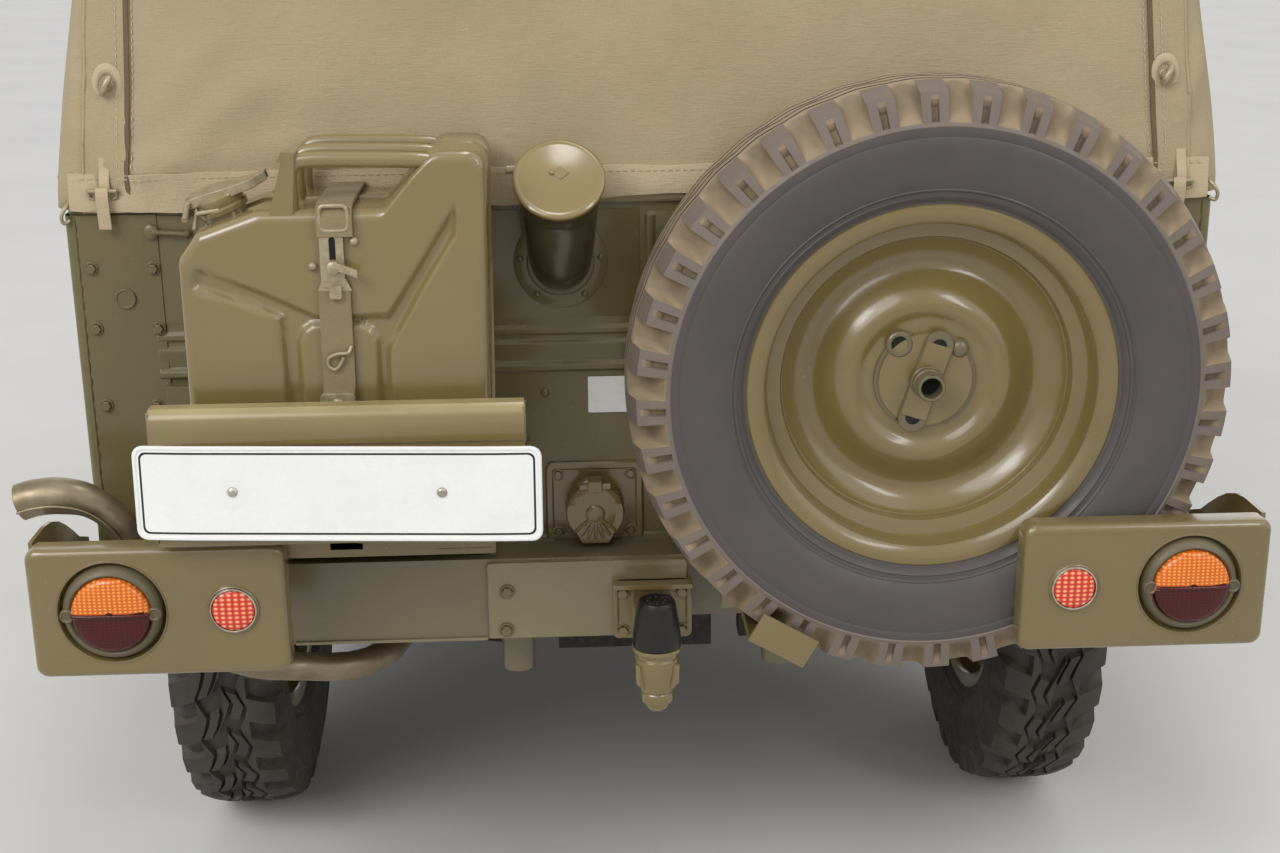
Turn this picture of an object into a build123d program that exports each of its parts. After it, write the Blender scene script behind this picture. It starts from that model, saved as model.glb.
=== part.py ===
from build123d import *

import os
from math import cos, radians, sin, sqrt

# Light army 4x4 car with a canvas top. Millimetres: X to the vehicle's right, Y forward, Z up.
# Places are given from the rear axle: y ahead of it, and heights from the wheel centres.
# from_rear() turns y into part coordinates, and write() stands the car on its tyres, with the ground at Z 0.

# Running gear
WHEELBASE = 2000.0
TRACK = 1205.0
REAR_OVERHANG = 808.0
FRONT_OVERHANG = 693.0
TYRE_R = 365.0
TYRE_WIDTH = 165.0
LUG_COUNT = 36
LUG_DEPTH = 12.0
LUG_HALF = 70.0
LUG_TOP_SHARE = 0.56
LUG_ROOT_SHARE = 0.72
SHOULDER_R = 322.0
SHOULDER_HALF = 76.5
BULGE_R = 290.0
FLANGE_R = 221.0
BEAD_R = 203.0
WELL_R = 180.0
RIM_WIDTH = 124.0
RIM_T = 5.0
DISC_T = 7.0
STUD_CIRCLE_R = 70.0
STUD_COUNT = 5
PIN_X = 505.0
PIN_R = 11.0
PIN_CLEAR = 0.3
EYE_R = 22.0
EYE_H = 22.0
ARM_Z = -97.0
ARM_PLATE_T = 20.0
KNUCKLE_R = 28.0
DRUM_R = 120.0
SHIELD_R = 130.0
SHAFT_R = 20.0
RUN_GAP = 5.0
FIT = 0.3
BEAD_HALF = RIM_WIDTH / 2 - 7
FLANGE_HALF = RIM_WIDTH / 2 - 5

# Chassis frame
RAIL_X = 180.0
RAIL_W = 60.0
RAIL_Z0 = 30.0
RAIL_H = 100.0
RAIL_REAR = -548.0
BEAM_HALF = 454.0
BUFFER_X = 172.0
BUFFER_R = 22.0
BEAM_Z0 = 139.0
BEAM_H = 108.0
BEAM_FACE = -607.0
BEAM_DEPTH = 58.0
SHEET = 6.0
OUTRIGGERS_Y = (700.0, 1180.0)

# Body
BODY_HALF = 700.0
WALL = 18.0
BELT_Z = 695.0
SILL_Z = 65.0
FLOOR_Z = 135.0
REAR_FLOOR_Z = 235.0
FLOOR_T = 12.0
BODY_REAR = -540.0
RISER = 400.0
COWL = 1330.0
COWL_LEDGE = 90.0
ARCH_HALF = 430.0
ARCH_TOP = 415.0
ARCH_KNEE = (400.0, 195.0)
ARCH_TOP_HALF = 290.0
WHEELHOUSE_X = 500.0
WHEELHOUSE_TOP = 425.0
REAR_DOOR = (60.0, 610.0, 495.0)
FRONT_DOOR = (650.0, 1280.0, 275.0)
CORNER_R = 22.0
OUTRIGGER_X = BODY_HALF - 35.0

# Front
NOSE = 560.0
WING_COWL_Z = 675.0
WING_NOSE_Z = 560.0
WING_INNER_X = 330.0
APRON_Z = 195.0
INNER_LOW_Z = 175.0
SKIN = 12.0
WING_EDGE_R = 24.0
HOOD_HALF = 395.0
HOOD_RISE = 62.0
HOOD_GAP = 6.0
HOOD_EDGE = 14.0
HOOD_SHOULDER = 70.0
HOOD_NOSE = 130.0
HOOD_NOSE_RISE = 22.0
GRILLE_SLOTS = 9
GRILLE_PITCH = 50.0
GRILLE_SLOT_W = 27.0
GRILLE_Z = (245.0, 495.0)
LAMP_X = 520.0
LAMP_Z = 415.0
LAMP_R = 92.0
BUMPER_HALF = BODY_HALF - 10.0
BUMPER_Z0 = 65.0
BUMPER_H = 120.0
BUMPER_DEPTH = 53.0
BUMPER_HOLE_R = 6.5
BUMPER_HOLES_X = 160.0
BUMPER_HOLES_Z = 60.0

# Windscreen and top
SCREEN_HALF_LOW = BODY_HALF - 50.0
SCREEN_HALF_HIGH = BODY_HALF - 130.0
SCREEN_CORNER_R = 36.0
SCREEN_LOW = (1312.0, 697.0)
SCREEN_HIGH = (1217.0, 1335.0)
SCREEN_BAR = 38.0
SCREEN_T = 26.0
GLASS_T = 5.0
HEM_Z = 684.0
HEM_TOP_Z = 704.0
ROOF_Z = 1370.0
ROOF_HALF = BODY_HALF - 110.0
ROOF_EDGE_R = 60.0
CANVAS = 6.0
HEM_HALF = BODY_HALF + CANVAS + FIT
HEM_REAR = BODY_REAR - CANVAS - FIT
CURTAIN_TOP = (-468.0, 1245.0)
WINDOW_HALF = 330.0
WINDOW_Z = (975.0, 1175.0)
DOOR_TOP_Z = 1235.0
DOOR_BAR = 42.0
DOOR_SILL_BAR = 60.0
DOOR_GAP = 5.0
DOOR_T = 16.0
DOOR_HINGE_OUT = 8.0
HINGE_R = 8.5
HINGE_PIN_R = 4.0
HINGE_CLEAR = 0.2
HINGE_H = 36.0
FRONT_HINGES_Z = (355.0, 615.0)
REAR_HINGES_Z = (540.0, 635.0)
HOOD_HINGE_X = 300.0
PANE_T = 3.0
BOW_R = 11.0
BOW_GAP = 4.0

# Rear fittings
SPARE_X = TYRE_R - 36.0
SPARE_Z = 480.0
SPARE_PLANE = -632.5
REST_W = 78.0
REST_ANGLE = 30.0
CAN_X = -365.0
CAN_Z = 306.0
CAN_SIZE = (345.0, 160.0, 402.0)
CAN_Y = -633.5
CAN_SHOULDER_H = 476.0
CAN_CORNER_R = 12.0
CAN_GROOVE = (20.0, 6.0)
HANDLE_H = 458.0
HANDLE_R = 9.0
HANDLE_PITCH = 66.0
HANDLE_X = -41.0
SPOUT_R = 27.0
STRAP_T = 2.5
STRAP_HALF = 20.0
LAMP_BOX_X = (BODY_HALF - 266.0, BODY_HALF + 32.0)
LAMP_BOX_Z = (166.0, 327.0)
LAMP_BOX_FACE = -749.0
LAMP_BOX_DEPTH = 32.0
LENS_X = BODY_HALF - 64.0
LENS_Z = 248.5
LENS_R = 46.0
RECESS_R = 64.5
REFLECTOR_X = BODY_HALF - 204.0
REFLECTOR_R = 25.5
PLATE_SIZE = (460.0, 110.0, 2.0)
PLATE_CENTRE = (-362.0, -790.0, 403.0)
PLATE_BOX_X = (-571.0, -151.0)
PLATE_BOX_Z = (451.0, 497.0)
PLATE_BOX_FACE = -770.0
PLATE_YAW = -4.3
PLATE_STUDS = 150.0
PLATE_TILT = -3.2
FILLER_X = -106.0
FILLER_Z = 610.0
FILLER_R = 57.0
NECK_R = (35.0, 38.0, 45.0)
LID_R = 54.0
LID_T = 18.0
LID_CENTRE = (-622.0, 727.0)
LID_TILT = 42.0
SOCKET_X = -69.0
SOCKET_Z = 293.0
HITCH_Y = -715.0
BALL_Z = 210.0
HUB_COVER_R = 57.0
HUB_BAR = (32.0, 6.0, 94.0)
HUB_BAR_TURN = 18.0
PIPE_R = 19.0
SILENCER_R = 58.0

# Steering and seats
DRIVER_X = -330.0
WHEEL_CENTRE = (1035.0, 650.0)
COLUMN_TILT = 37.0
STEER_WHEEL_R = 205.0
SEAT_HALF = 235.0
BENCH_HALF = 480.0
SEAT_BASE_Z = 290.0
BENCH_BASE_Z = 335.0
GEARBOX_LOW = -103.0
ENGINE_TOP = 485.0
MIRROR_Z = 815.0
MIRROR_R = 60.0

REAR_AXLE = (REAR_OVERHANG - WHEELBASE - FRONT_OVERHANG) / 2
FRONT_AXLE = REAR_AXLE + WHEELBASE
WHEEL_X = TRACK / 2
BEAM_RIGHT = SPARE_X - sqrt(TYRE_R ** 2 - (SPARE_Z - BEAM_Z0 - BEAM_H) ** 2) - 2
SIDES = (("left", -1), ("right", 1))
AXLES = (("front", FRONT_AXLE), ("rear", REAR_AXLE))


def from_rear(y):
    return REAR_AXLE + y


def block(x0, x1, y0, y1, z0, z1):
    """Box between two corners, y from the rear axle."""
    centre = Pos((x0 + x1) / 2, from_rear((y0 + y1) / 2), (z0 + z1) / 2)
    return centre * Box(abs(x1 - x0), y1 - y0, z1 - z0)


def along_x(points, x0, x1):
    """Outline of (y from the rear axle, z) points, from x0 to x1."""
    outline = Polygon(*[(from_rear(y), z) for y, z in points], align=None)
    return extrude(Plane.YZ.offset(x0) * outline, x1 - x0, dir=(1, 0, 0))


def along_y(points, y0, y1):
    """Outline of (x, z) points, from y0 to y1."""
    plane = Plane(origin=(0, from_rear(y0), 0), x_dir=(1, 0, 0), z_dir=(0, -1, 0))
    return extrude(plane * Polygon(*points, align=None), y1 - y0, dir=(0, 1, 0))


def along_z(points, z0, z1):
    """Outline of (x, y from the rear axle) points, from z0 to z1."""
    outline = Polygon(*[(x, from_rear(y)) for x, y in points], align=None)
    return extrude(Plane.XY.offset(z0) * outline, z1 - z0, dir=(0, 0, 1))


def rod(start, end, radius):
    """Round bar between two points (x, y from the rear axle, z)."""
    a = Vector(start[0], from_rear(start[1]), start[2])
    b = Vector(end[0], from_rear(end[1]), end[2])
    return extrude(Plane(origin=a, z_dir=b - a) * Circle(radius), (b - a).length)


def pipe(points, radius, bend):
    """Round bar along straight runs joined by arcs."""
    places = [(x, from_rear(y), z) for x, y, z in points]
    path = FilletPolyline(*places, radius=bend)
    start = Plane(origin=places[0], z_dir=path % 0)
    return sweep(start * Circle(radius), path=path)


def both(piece):
    """A piece and its mirror image across the car."""
    return [piece, mirror(piece, Plane.YZ)]


def fused(*pieces):
    total = pieces[0]
    for piece in pieces[1:]:
        total = total + piece
    return total


def turned(outline, x, y, z, side=1):
    """Outline of (outward offset, radius) turned about the wheel's axis."""
    solid = revolve(Plane.XZ * outline, Axis.X, 360)
    if side < 0:
        solid = mirror(solid, Plane.YZ)
    return Pos(x, y, z) * solid


# Wheels

def rim_solid(x, y, z, side, drum):
    """Well-base rim with its dished disc, the hub and drum for a road wheel."""
    half = RIM_WIDTH / 2
    # columns: outward offset, outer radius
    barrel = [(-half, FLANGE_R), (-FLANGE_HALF, FLANGE_R), (-BEAD_HALF, BEAD_R), (-26, BEAD_R - 2),
              (-20, WELL_R), (20, WELL_R), (26, BEAD_R - 2), (BEAD_HALF, BEAD_R), (FLANGE_HALF, FLANGE_R),
              (half, FLANGE_R)]
    inner = [(s, r - RIM_T) for s, r in barrel[1:-1]]
    inner = [(-half, inner[0][1])] + inner[1:-1] + [(half, inner[-1][1])]
    rim = turned(Polygon(*barrel, *reversed(inner), align=None), x, y, z, side)
    bore = SHAFT_R + PIN_CLEAR if drum else 24.0
    # columns: outward offset of the disc's outer face, radius
    face = [(18, WELL_R - RIM_T + 1), (18, 165), (32, 128), (30, 112), (8, 88), (8, bore)]
    back = [(s - DISC_T, r) for s, r in face]
    disc = turned(Polygon(*face, *reversed(back), align=None), x, y, z, side)
    rim = rim + disc
    for i in range(STUD_COUNT):
        angle = radians(360 / STUD_COUNT * i + 90)
        place = Pos(x + side * 10, y + STUD_CIRCLE_R * cos(angle), z + STUD_CIRCLE_R * sin(angle))
        if drum:
            rim = rim + place * Rot(0, 90, 0) * Cylinder(9, 18)
        else:
            rim = rim - place * Rot(0, 90, 0) * Cylinder(8, 40)
    if drum:
        hub = [(-58, bore), (-58, DRUM_R), (-15, DRUM_R), (-15, 60), (1, 60), (1, bore)]
        cap = [(1, bore), (1, 34), (34, 34), (38, 30), (38, 0), (30, 0), (30, bore)]
        rim = rim + turned(Polygon(*hub, align=None), x, y, z, side)
        rim = rim + turned(Polygon(*cap, align=None), x, y, z, side)
    return rim


def facets(offset, radius, flat):
    """Polygon about the wheel's axis with a side for each lug, its radius to the sides if flat."""
    plane = Plane(origin=(offset, 0, 0), x_dir=(0, 1, 0), z_dir=(1, 0, 0))
    return plane * RegularPolygon(radius, LUG_COUNT, major_radius=not flat)


def lugs():
    """Toothed band of the tread, with a flat tooth centred at the bottom."""
    tip = TYRE_R / cos(radians(180 * LUG_TOP_SHARE / LUG_COUNT))
    root = TYRE_R - LUG_DEPTH
    points = []
    for i in range(LUG_COUNT):
        # columns: share of the pitch from the lug's middle, radius
        for share, radius in ((-LUG_TOP_SHARE / 2, tip), (LUG_TOP_SHARE / 2, tip),
                              (LUG_ROOT_SHARE / 2, root), (1 - LUG_ROOT_SHARE / 2, root)):
            angle = radians(360 / LUG_COUNT * (i + share) - 90)
            points.append((radius * cos(angle), radius * sin(angle)))
    plane = Plane(origin=(-LUG_HALF, 0, 0), x_dir=(0, 1, 0), z_dir=(1, 0, 0))
    return extrude(plane * Polygon(*points, align=None), 2 * LUG_HALF, dir=(1, 0, 0))


def tyre_solid(x, y, z):
    """Tyre with its lugs, seated on the rim."""
    wide = TYRE_WIDTH / 2
    # columns: offset along the axle, radius
    outside = [(wide, BULGE_R), (SHOULDER_HALF, SHOULDER_R)]
    slope = (BULGE_R - FLANGE_R) / (wide - FLANGE_HALF)
    inside = [(wide + 1, BULGE_R + slope + FIT), (FLANGE_HALF - FIT, FLANGE_R + FIT),
              (BEAD_HALF - FIT, BEAD_R + FIT)]

    def body(outline, flat):
        sections = [facets(-s, r, flat) for s, r in outline]
        sections += [facets(s, r, flat) for s, r in reversed(outline)]
        return loft(sections, ruled=True)

    tyre = body(outside, False) + lugs() - body(inside, True)
    return Pos(x, y, z) * tyre


# Axles

def lower_arm(side, y):
    """Wishbone with its inner bracket under the rail."""
    inner = RAIL_X + 25
    z = ARM_Z + 2
    plate = [(side * inner, y - 100), (side * inner, y + 100), (side * (PIN_X - 18), y + 20),
             (side * (PIN_X - 18), y - 20)]
    hole = [(side * (inner + 40), y - 55), (side * (inner + 40), y + 55), (side * (PIN_X - 80), y + 14),
            (side * (PIN_X - 80), y - 14)]
    arm = along_z(plate, z, z + ARM_PLATE_T) - along_z(hole, z - 1, z + ARM_PLATE_T + 1)
    for offset in (-80, 80):
        bracket = block(side * (RAIL_X - 15), side * (RAIL_X + 27), y + offset - 20, y + offset + 20, z,
                        RAIL_Z0)
        arm = arm + bracket
    return arm


def eye(side, y, z, bore):
    ring = rod((side * PIN_X, y, z), (side * PIN_X, y, z + EYE_H), EYE_R)
    if bore:
        ring = ring - rod((side * PIN_X, y, z - 1), (side * PIN_X, y, z + EYE_H + 1), PIN_R + PIN_CLEAR)
    return ring


def axle_solids(y, steered):
    """Leaf spring, arms and half shafts on both sides, one solid with the spring and two shafts apart."""
    spring_z = RAIL_Z0 + RAIL_H
    spring = block(-PIN_X + 18, PIN_X - 18, y - 30, y + 30, spring_z, spring_z + 26)
    spring = spring + block(-150, 150, y - 42, y + 42, spring_z + 26, spring_z + 34)
    pieces = [spring]
    solids = []
    for _, side in SIDES:
        pieces[0] = pieces[0] + eye(side, y, spring_z, steered)
        arm = lower_arm(side, y) + eye(side, y, ARM_Z, steered)
        if steered:
            solids.append(arm)
            shaft_end = PIN_X - KNUCKLE_R - RUN_GAP
        else:
            carrier = rod((side * PIN_X, y, ARM_Z + EYE_H), (side * PIN_X, y, spring_z), EYE_R - 2)
            carrier = carrier + stub(side, y)
            pieces[0] = pieces[0] + arm + carrier
            shaft_end = PIN_X - 10
        shaft = rod((side * 120, y, 0), (side * shaft_end, y, 0), SHAFT_R)
        boot = rod((side * 124, y, 0), (side * 180, y, 0), SHAFT_R + 8)
        shaft = shaft + boot
        if steered:
            solids.append(shaft)
        else:
            pieces[0] = pieces[0] + shaft
    return pieces + solids


def stub(side, y):
    """Swivel bearing, shield and stub shaft, from the pin out to the hub."""
    body = rod((side * PIN_X, y, -55), (side * PIN_X, y, 55), KNUCKLE_R)
    body = body + rod((side * PIN_X, y, 0), (side * (PIN_X + 30), y, 0), 50)
    shield = rod((side * (PIN_X + 28), y, 0), (side * (PIN_X + 34), y, 0), SHIELD_R)
    shaft = rod((side * PIN_X, y, 0), (side * (WHEEL_X + 24), y, 0), SHAFT_R)
    return body + shield + shaft


def knuckle_solid(side, y):
    """Steering knuckle with its kingpin and steering arm."""
    spring_z = RAIL_Z0 + RAIL_H
    pin = rod((side * PIN_X, y, ARM_Z - 6), (side * PIN_X, y, spring_z + EYE_H + 10), PIN_R)
    post = rod((side * PIN_X, y, ARM_Z + EYE_H + 3), (side * PIN_X, y, spring_z - 3), KNUCKLE_R - 8)
    arm = [(side * PIN_X, y - 20), (side * (PIN_X - 50), y - 128), (side * (PIN_X - 20), y - 132),
           (side * (PIN_X + 24), y - 10)]
    return pin + post + stub(side, y) + along_z(arm, 40, 52)


# Chassis

def chassis_frame():
    """Two box rails that rise over the rear axle, their cross members and the tow beam, welded as one."""
    front = WHEELBASE + FRONT_OVERHANG - BUMPER_DEPTH
    top = RAIL_Z0 + RAIL_H
    rail = [(front, RAIL_Z0), (front, top), (-120, top), (-330, REAR_FLOOR_Z), (RAIL_REAR, REAR_FLOOR_Z),
            (RAIL_REAR, BEAM_Z0), (-380, BEAM_Z0), (-200, RAIL_Z0)]
    pieces = []
    for _, side in SIDES:
        pieces.append(along_x(rail, side * (RAIL_X - RAIL_W / 2), side * (RAIL_X + RAIL_W / 2)))
        buffer = (side * BUFFER_X, RAIL_REAR + BUFFER_R + 4)
        pieces.append(rod((*buffer, BEAM_Z0 - 76), (*buffer, BEAM_Z0 + 1), BUFFER_R))
    # columns: y of the cross member, its height
    for y, height in ((-60, 50), (OUTRIGGERS_Y[0], 60), (OUTRIGGERS_Y[1], 60), (WHEELBASE + NOSE, 60)):
        pieces.append(block(-RAIL_X, RAIL_X, y - 30, y + 30, top - height, top))
    for y in OUTRIGGERS_Y:
        pieces.append(block(-OUTRIGGER_X, OUTRIGGER_X, y - 25, y + 25, top - 40, FLOOR_Z))
    pieces.append(block(-BEAM_HALF, BEAM_HALF, RAIL_REAR, RAIL_REAR + 40, BEAM_Z0, REAR_FLOOR_Z))
    back = BEAM_FACE + BEAM_DEPTH
    beam = block(-BEAM_HALF, BEAM_RIGHT, BEAM_FACE, back, BEAM_Z0, BEAM_Z0 + BEAM_H)
    beam = beam - block(-BEAM_HALF - 1, BEAM_RIGHT + 1, BEAM_FACE + SHEET, back + 1, BEAM_Z0 + SHEET,
                        BEAM_Z0 + BEAM_H - SHEET)
    stay = block(-RAIL_X - RAIL_W / 2, 0, BEAM_FACE + SHEET, RAIL_REAR + 1, BEAM_Z0 + 20, REAR_FLOOR_Z - 20)
    return fused(*pieces) + beam + stay


def front_bumper():
    """Channel with two flanges, its face at the front of the car, with a pattern of bolt holes."""
    face = WHEELBASE + FRONT_OVERHANG
    back = face - BUMPER_DEPTH
    bar = block(-BUMPER_HALF, BUMPER_HALF, back, face, BUMPER_Z0, BUMPER_Z0 + BUMPER_H)
    bar = bar - block(-BUMPER_HALF - 1, BUMPER_HALF + 1, back - 1, face - SHEET, BUMPER_Z0 + SHEET,
                      BUMPER_Z0 + BUMPER_H - SHEET)
    for _, side in SIDES:
        bar = bar + block(side * (RAIL_X - 25), side * (RAIL_X + 25), back, face - SHEET, BUMPER_Z0 + SHEET,
                          BUMPER_Z0 + BUMPER_H - SHEET)
    middle = BUMPER_Z0 + BUMPER_H / 2
    for dx in (-BUMPER_HOLES_X / 2, BUMPER_HOLES_X / 2):
        for dz in (-BUMPER_HOLES_Z / 2, BUMPER_HOLES_Z / 2):
            bar = bar - rod((dx, face - SHEET - 1, middle + dz), (dx, face + 1, middle + dz), BUMPER_HOLE_R)
    return bar


# Body

def arch(centre, base):
    """Outline of a wheel arch about a wheel, from its base height up."""
    slant, knee = ARCH_KNEE
    return [(centre - ARCH_HALF, base), (centre - slant, knee), (centre - ARCH_TOP_HALF, ARCH_TOP),
            (centre + ARCH_TOP_HALF, ARCH_TOP), (centre + slant, knee), (centre + ARCH_HALF, base)]


def body_tub():
    """Open body of welded sheet with its floor, wheelhouses, door openings and cowl ledge."""
    step = RISER - 10
    outline = [(BODY_REAR, REAR_FLOOR_Z), (BODY_REAR, BELT_Z), (COWL, BELT_Z), (COWL, SILL_Z), (step, SILL_Z),
               (step, REAR_FLOOR_Z)]
    inside = BODY_HALF - WALL
    tub = along_x(outline, -BODY_HALF, BODY_HALF)
    tub = fillet(tub.edges().filter_by(Axis.Z).group_by(Axis.Y)[0], CORNER_R)
    hollow = [(BODY_REAR + WALL, REAR_FLOOR_Z + FLOOR_T), (BODY_REAR + WALL, BELT_Z + 1),
              (COWL - COWL_LEDGE, BELT_Z + 1), (COWL - COWL_LEDGE, BELT_Z - 20),
              (COWL - FLOOR_T, BELT_Z - 20), (COWL - FLOOR_T, FLOOR_Z + FLOOR_T),
              (RISER + FLOOR_T, FLOOR_Z + FLOOR_T),
              (RISER + FLOOR_T, REAR_FLOOR_Z + FLOOR_T)]
    tub = tub - along_x(hollow, -inside, inside)
    under = [(RISER, SILL_Z - 1), (COWL + 1, SILL_Z - 1), (COWL + 1, FLOOR_Z), (RISER, FLOOR_Z),
             (RISER, REAR_FLOOR_Z), (RISER - 20, REAR_FLOOR_Z), (RISER - 20, SILL_Z - 1)]
    tub = tub - along_x(under, -inside, inside)
    for _, side in SIDES:
        inner = side * WHEELHOUSE_X
        outer = side * (BODY_HALF + 1)
        house = block(inner, side * inside, -ARCH_HALF - FLOOR_T, ARCH_HALF - 10, REAR_FLOOR_Z,
                      WHEELHOUSE_TOP + FLOOR_T)
        tub = tub + house
        tub = tub - block(side * (WHEELHOUSE_X + FLOOR_T), side * inside, -ARCH_HALF,
                          ARCH_HALF - 10 - FLOOR_T, REAR_FLOOR_Z - 1, WHEELHOUSE_TOP)
        tub = tub - along_x(arch(0, SILL_Z - 1), side * (inside - 1), outer)
        for (rear, front, sill), heights in ((REAR_DOOR, REAR_HINGES_Z), (FRONT_DOOR, FRONT_HINGES_Z)):
            tub = tub - block(side * (inside - 1), outer, rear, front, sill, BELT_Z + 1)
            for z in heights:
                tub = tub + upright_hinge(side, front - DOOR_GAP, z)[0]
        tub = tub + hood_hinge(side)[0]
    return tub


def wing_top(y):
    """Height of the wings' top at a place along the car."""
    share = (y - COWL) / (WHEELBASE + NOSE - COWL)
    return WING_COWL_Z + (WING_NOSE_Z - WING_COWL_Z) * share


def front_wings():
    """Both wings with their inner panels and the grille panel between them, their outer edges rounded."""
    nose = WHEELBASE + NOSE
    side_outline = [(COWL, SILL_Z), (COWL, wing_top(COWL)), (nose, wing_top(nose)), (nose, APRON_Z)]
    inner_outline = [(COWL, INNER_LOW_Z), (COWL, wing_top(COWL) - 1), (nose, wing_top(nose) - 1),
                     (nose, INNER_LOW_Z)]
    hollow_outline = [(COWL - 1, SILL_Z - 1), (COWL - 1, wing_top(COWL - 1) - SKIN),
                      (nose - SKIN, wing_top(nose - SKIN) - SKIN), (nose - SKIN, SILL_Z - 1)]
    wings = along_x(side_outline, -BODY_HALF, BODY_HALF)
    rounded = wings.edges().filter_by(Axis.X).sort_by(Axis.Z)[-2:].sort_by(Axis.Y)[-1:]
    for edge in wings.edges():
        middle = edge @ 0.5
        along_wing = middle.Z > wing_top(nose) and COWL + 1 < middle.Y - from_rear(0) < nose - 1
        down_nose = APRON_Z + 1 < middle.Z < wing_top(nose) - 1 and middle.Y > from_rear(nose) - 1
        if abs(middle.X) > BODY_HALF - 1 and (along_wing or down_nose):
            rounded.append(edge)
    wings = fillet(rounded, WING_EDGE_R)
    wings = wings - along_x(hollow_outline, SKIN - BODY_HALF, BODY_HALF - SKIN)
    wings = wings - block(-WING_INNER_X, WING_INNER_X, COWL - 1, nose - SKIN, INNER_LOW_Z, BELT_Z + HOOD_RISE)
    for _, side in SIDES:
        wings = wings - along_x(arch(WHEELBASE, SILL_Z - 1), side * (BODY_HALF - SKIN - 1),
                                side * (BODY_HALF + 1))
        wings = wings + along_x(inner_outline, side * WING_INNER_X, side * (WING_INNER_X + SHEET))
        wings = wings + block(side * WING_INNER_X, side * (BODY_HALF - SKIN), COWL, COWL + SHEET, APRON_Z,
                              wing_top(COWL) - SKIN / 2)
        lamp = (side * LAMP_X, nose - SKIN - 1, LAMP_Z)
        wings = wings - rod(lamp, (side * LAMP_X, nose + 1, LAMP_Z), LAMP_R + 1)
    first = -(GRILLE_SLOTS - 1) / 2 * GRILLE_PITCH - GRILLE_SLOT_W / 2
    for i in range(GRILLE_SLOTS):
        x = first + i * GRILLE_PITCH
        wings = wings - block(x, x + GRILLE_SLOT_W, nose - SKIN - 1, nose + 1, *GRILLE_Z)
    return wings


def hood_axis():
    """Place of the hood's hinge axis: y from the rear axle, z."""
    y = COWL + 2 * HOOD_GAP
    return y, wing_top(y) + HOOD_GAP + HOOD_RISE


def hood():
    """Raised cover between the wings, its front end sloped down to the nose."""
    rear = hood_axis()[0]
    front = WHEELBASE + NOSE - 2
    drop = wing_top(rear) - wing_top(front)
    base = wing_top(rear) + HOOD_GAP

    def section(y, inset, rise):
        """Arched outline: flat top, sloped shoulders."""
        z = base - (y - rear) / (front - rear) * drop
        low = z if inset == 0 else z - 1
        half = HOOD_HALF - inset
        edge = z + min(HOOD_EDGE, rise / 2) - inset * 0.3
        top = z + rise - inset
        shoulder = half - HOOD_SHOULDER
        points = [(-half, low), (-half, edge), (-shoulder, top), (shoulder, top), (half, edge), (half, low)]
        plane = Plane(origin=(0, from_rear(y), 0), x_dir=(1, 0, 0), z_dir=(0, -1, 0))
        return plane * Polygon(*points, align=None)

    outer = loft([section(rear, 0, HOOD_RISE), section(front - HOOD_NOSE, 0, HOOD_RISE),
                  section(front, 0, HOOD_NOSE_RISE)], ruled=True)
    inner = loft([section(rear + SKIN, SKIN, HOOD_RISE), section(front - HOOD_NOSE, SKIN, HOOD_RISE),
                  section(front - SKIN, SKIN, HOOD_NOSE_RISE + SKIN)], ruled=True)
    cover = outer - inner
    for _, side in SIDES:
        _, barrel, space = hood_hinge(side)
        cover = cover + barrel - space
    return cover


def headlamps():
    """Round lamps in the front panel, bowl behind and rim before it."""
    nose = WHEELBASE + NOSE
    bowl = rod((LAMP_X, nose - 95, LAMP_Z), (LAMP_X, nose, LAMP_Z), LAMP_R - 8)
    rim = rod((LAMP_X, nose, LAMP_Z), (LAMP_X, nose + 24, LAMP_Z), LAMP_R + 6)
    glass = rod((LAMP_X, nose + 24, LAMP_Z), (LAMP_X, nose + 32, LAMP_Z), LAMP_R - 10)
    return Compound(both(bowl + rim + glass))


# Windscreen and canvas

def screen_plane():
    along = Vector(0, SCREEN_HIGH[0] - SCREEN_LOW[0], SCREEN_HIGH[1] - SCREEN_LOW[1])
    normal = Vector(1, 0, 0).cross(along)
    origin = (0, from_rear(SCREEN_LOW[0]), SCREEN_LOW[1])
    return Plane(origin=origin, x_dir=(1, 0, 0), z_dir=normal), along.length


def screen_windows(height, inset):
    """Outlines of the two panes in the windscreen's own plane."""
    outlines = []
    for _, side in SIDES:
        slope = (SCREEN_HALF_LOW - SCREEN_HALF_HIGH) / height
        low = SCREEN_BAR - inset
        high = height - SCREEN_BAR + inset
        mid = SCREEN_BAR / 2 - inset
        outer_low = SCREEN_HALF_LOW - SCREEN_BAR + inset - slope * low
        outer_high = SCREEN_HALF_LOW - SCREEN_BAR + inset - slope * high
        points = [(side * mid, low), (side * outer_low, low), (side * outer_high, high), (side * mid, high)]
        outlines.append(Polygon(*points, align=None))
    return outlines


def windscreen():
    """Frame with a centre post, and the two panes in its grooves."""
    plane, height = screen_plane()
    outline = [(-SCREEN_HALF_LOW, 0), (SCREEN_HALF_LOW, 0), (SCREEN_HALF_HIGH, height),
               (-SCREEN_HALF_HIGH, height)]
    lower = plane.offset(-SCREEN_T / 2)
    sheet = Polygon(*outline, align=None)
    sheet = fillet(sheet.vertices().group_by(Axis.Y)[-1], SCREEN_CORNER_R)
    frame = extrude(lower * sheet, SCREEN_T, dir=plane.z_dir)
    panes = []
    for window in screen_windows(height, 0):
        frame = frame - extrude(lower * window, SCREEN_T, dir=plane.z_dir)
    for window in screen_windows(height, 6):
        pane = extrude(plane.offset(-GLASS_T / 2) * window, GLASS_T, dir=plane.z_dir)
        frame = frame - pane
        panes.append(pane)
    return frame, Compound(panes)


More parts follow.
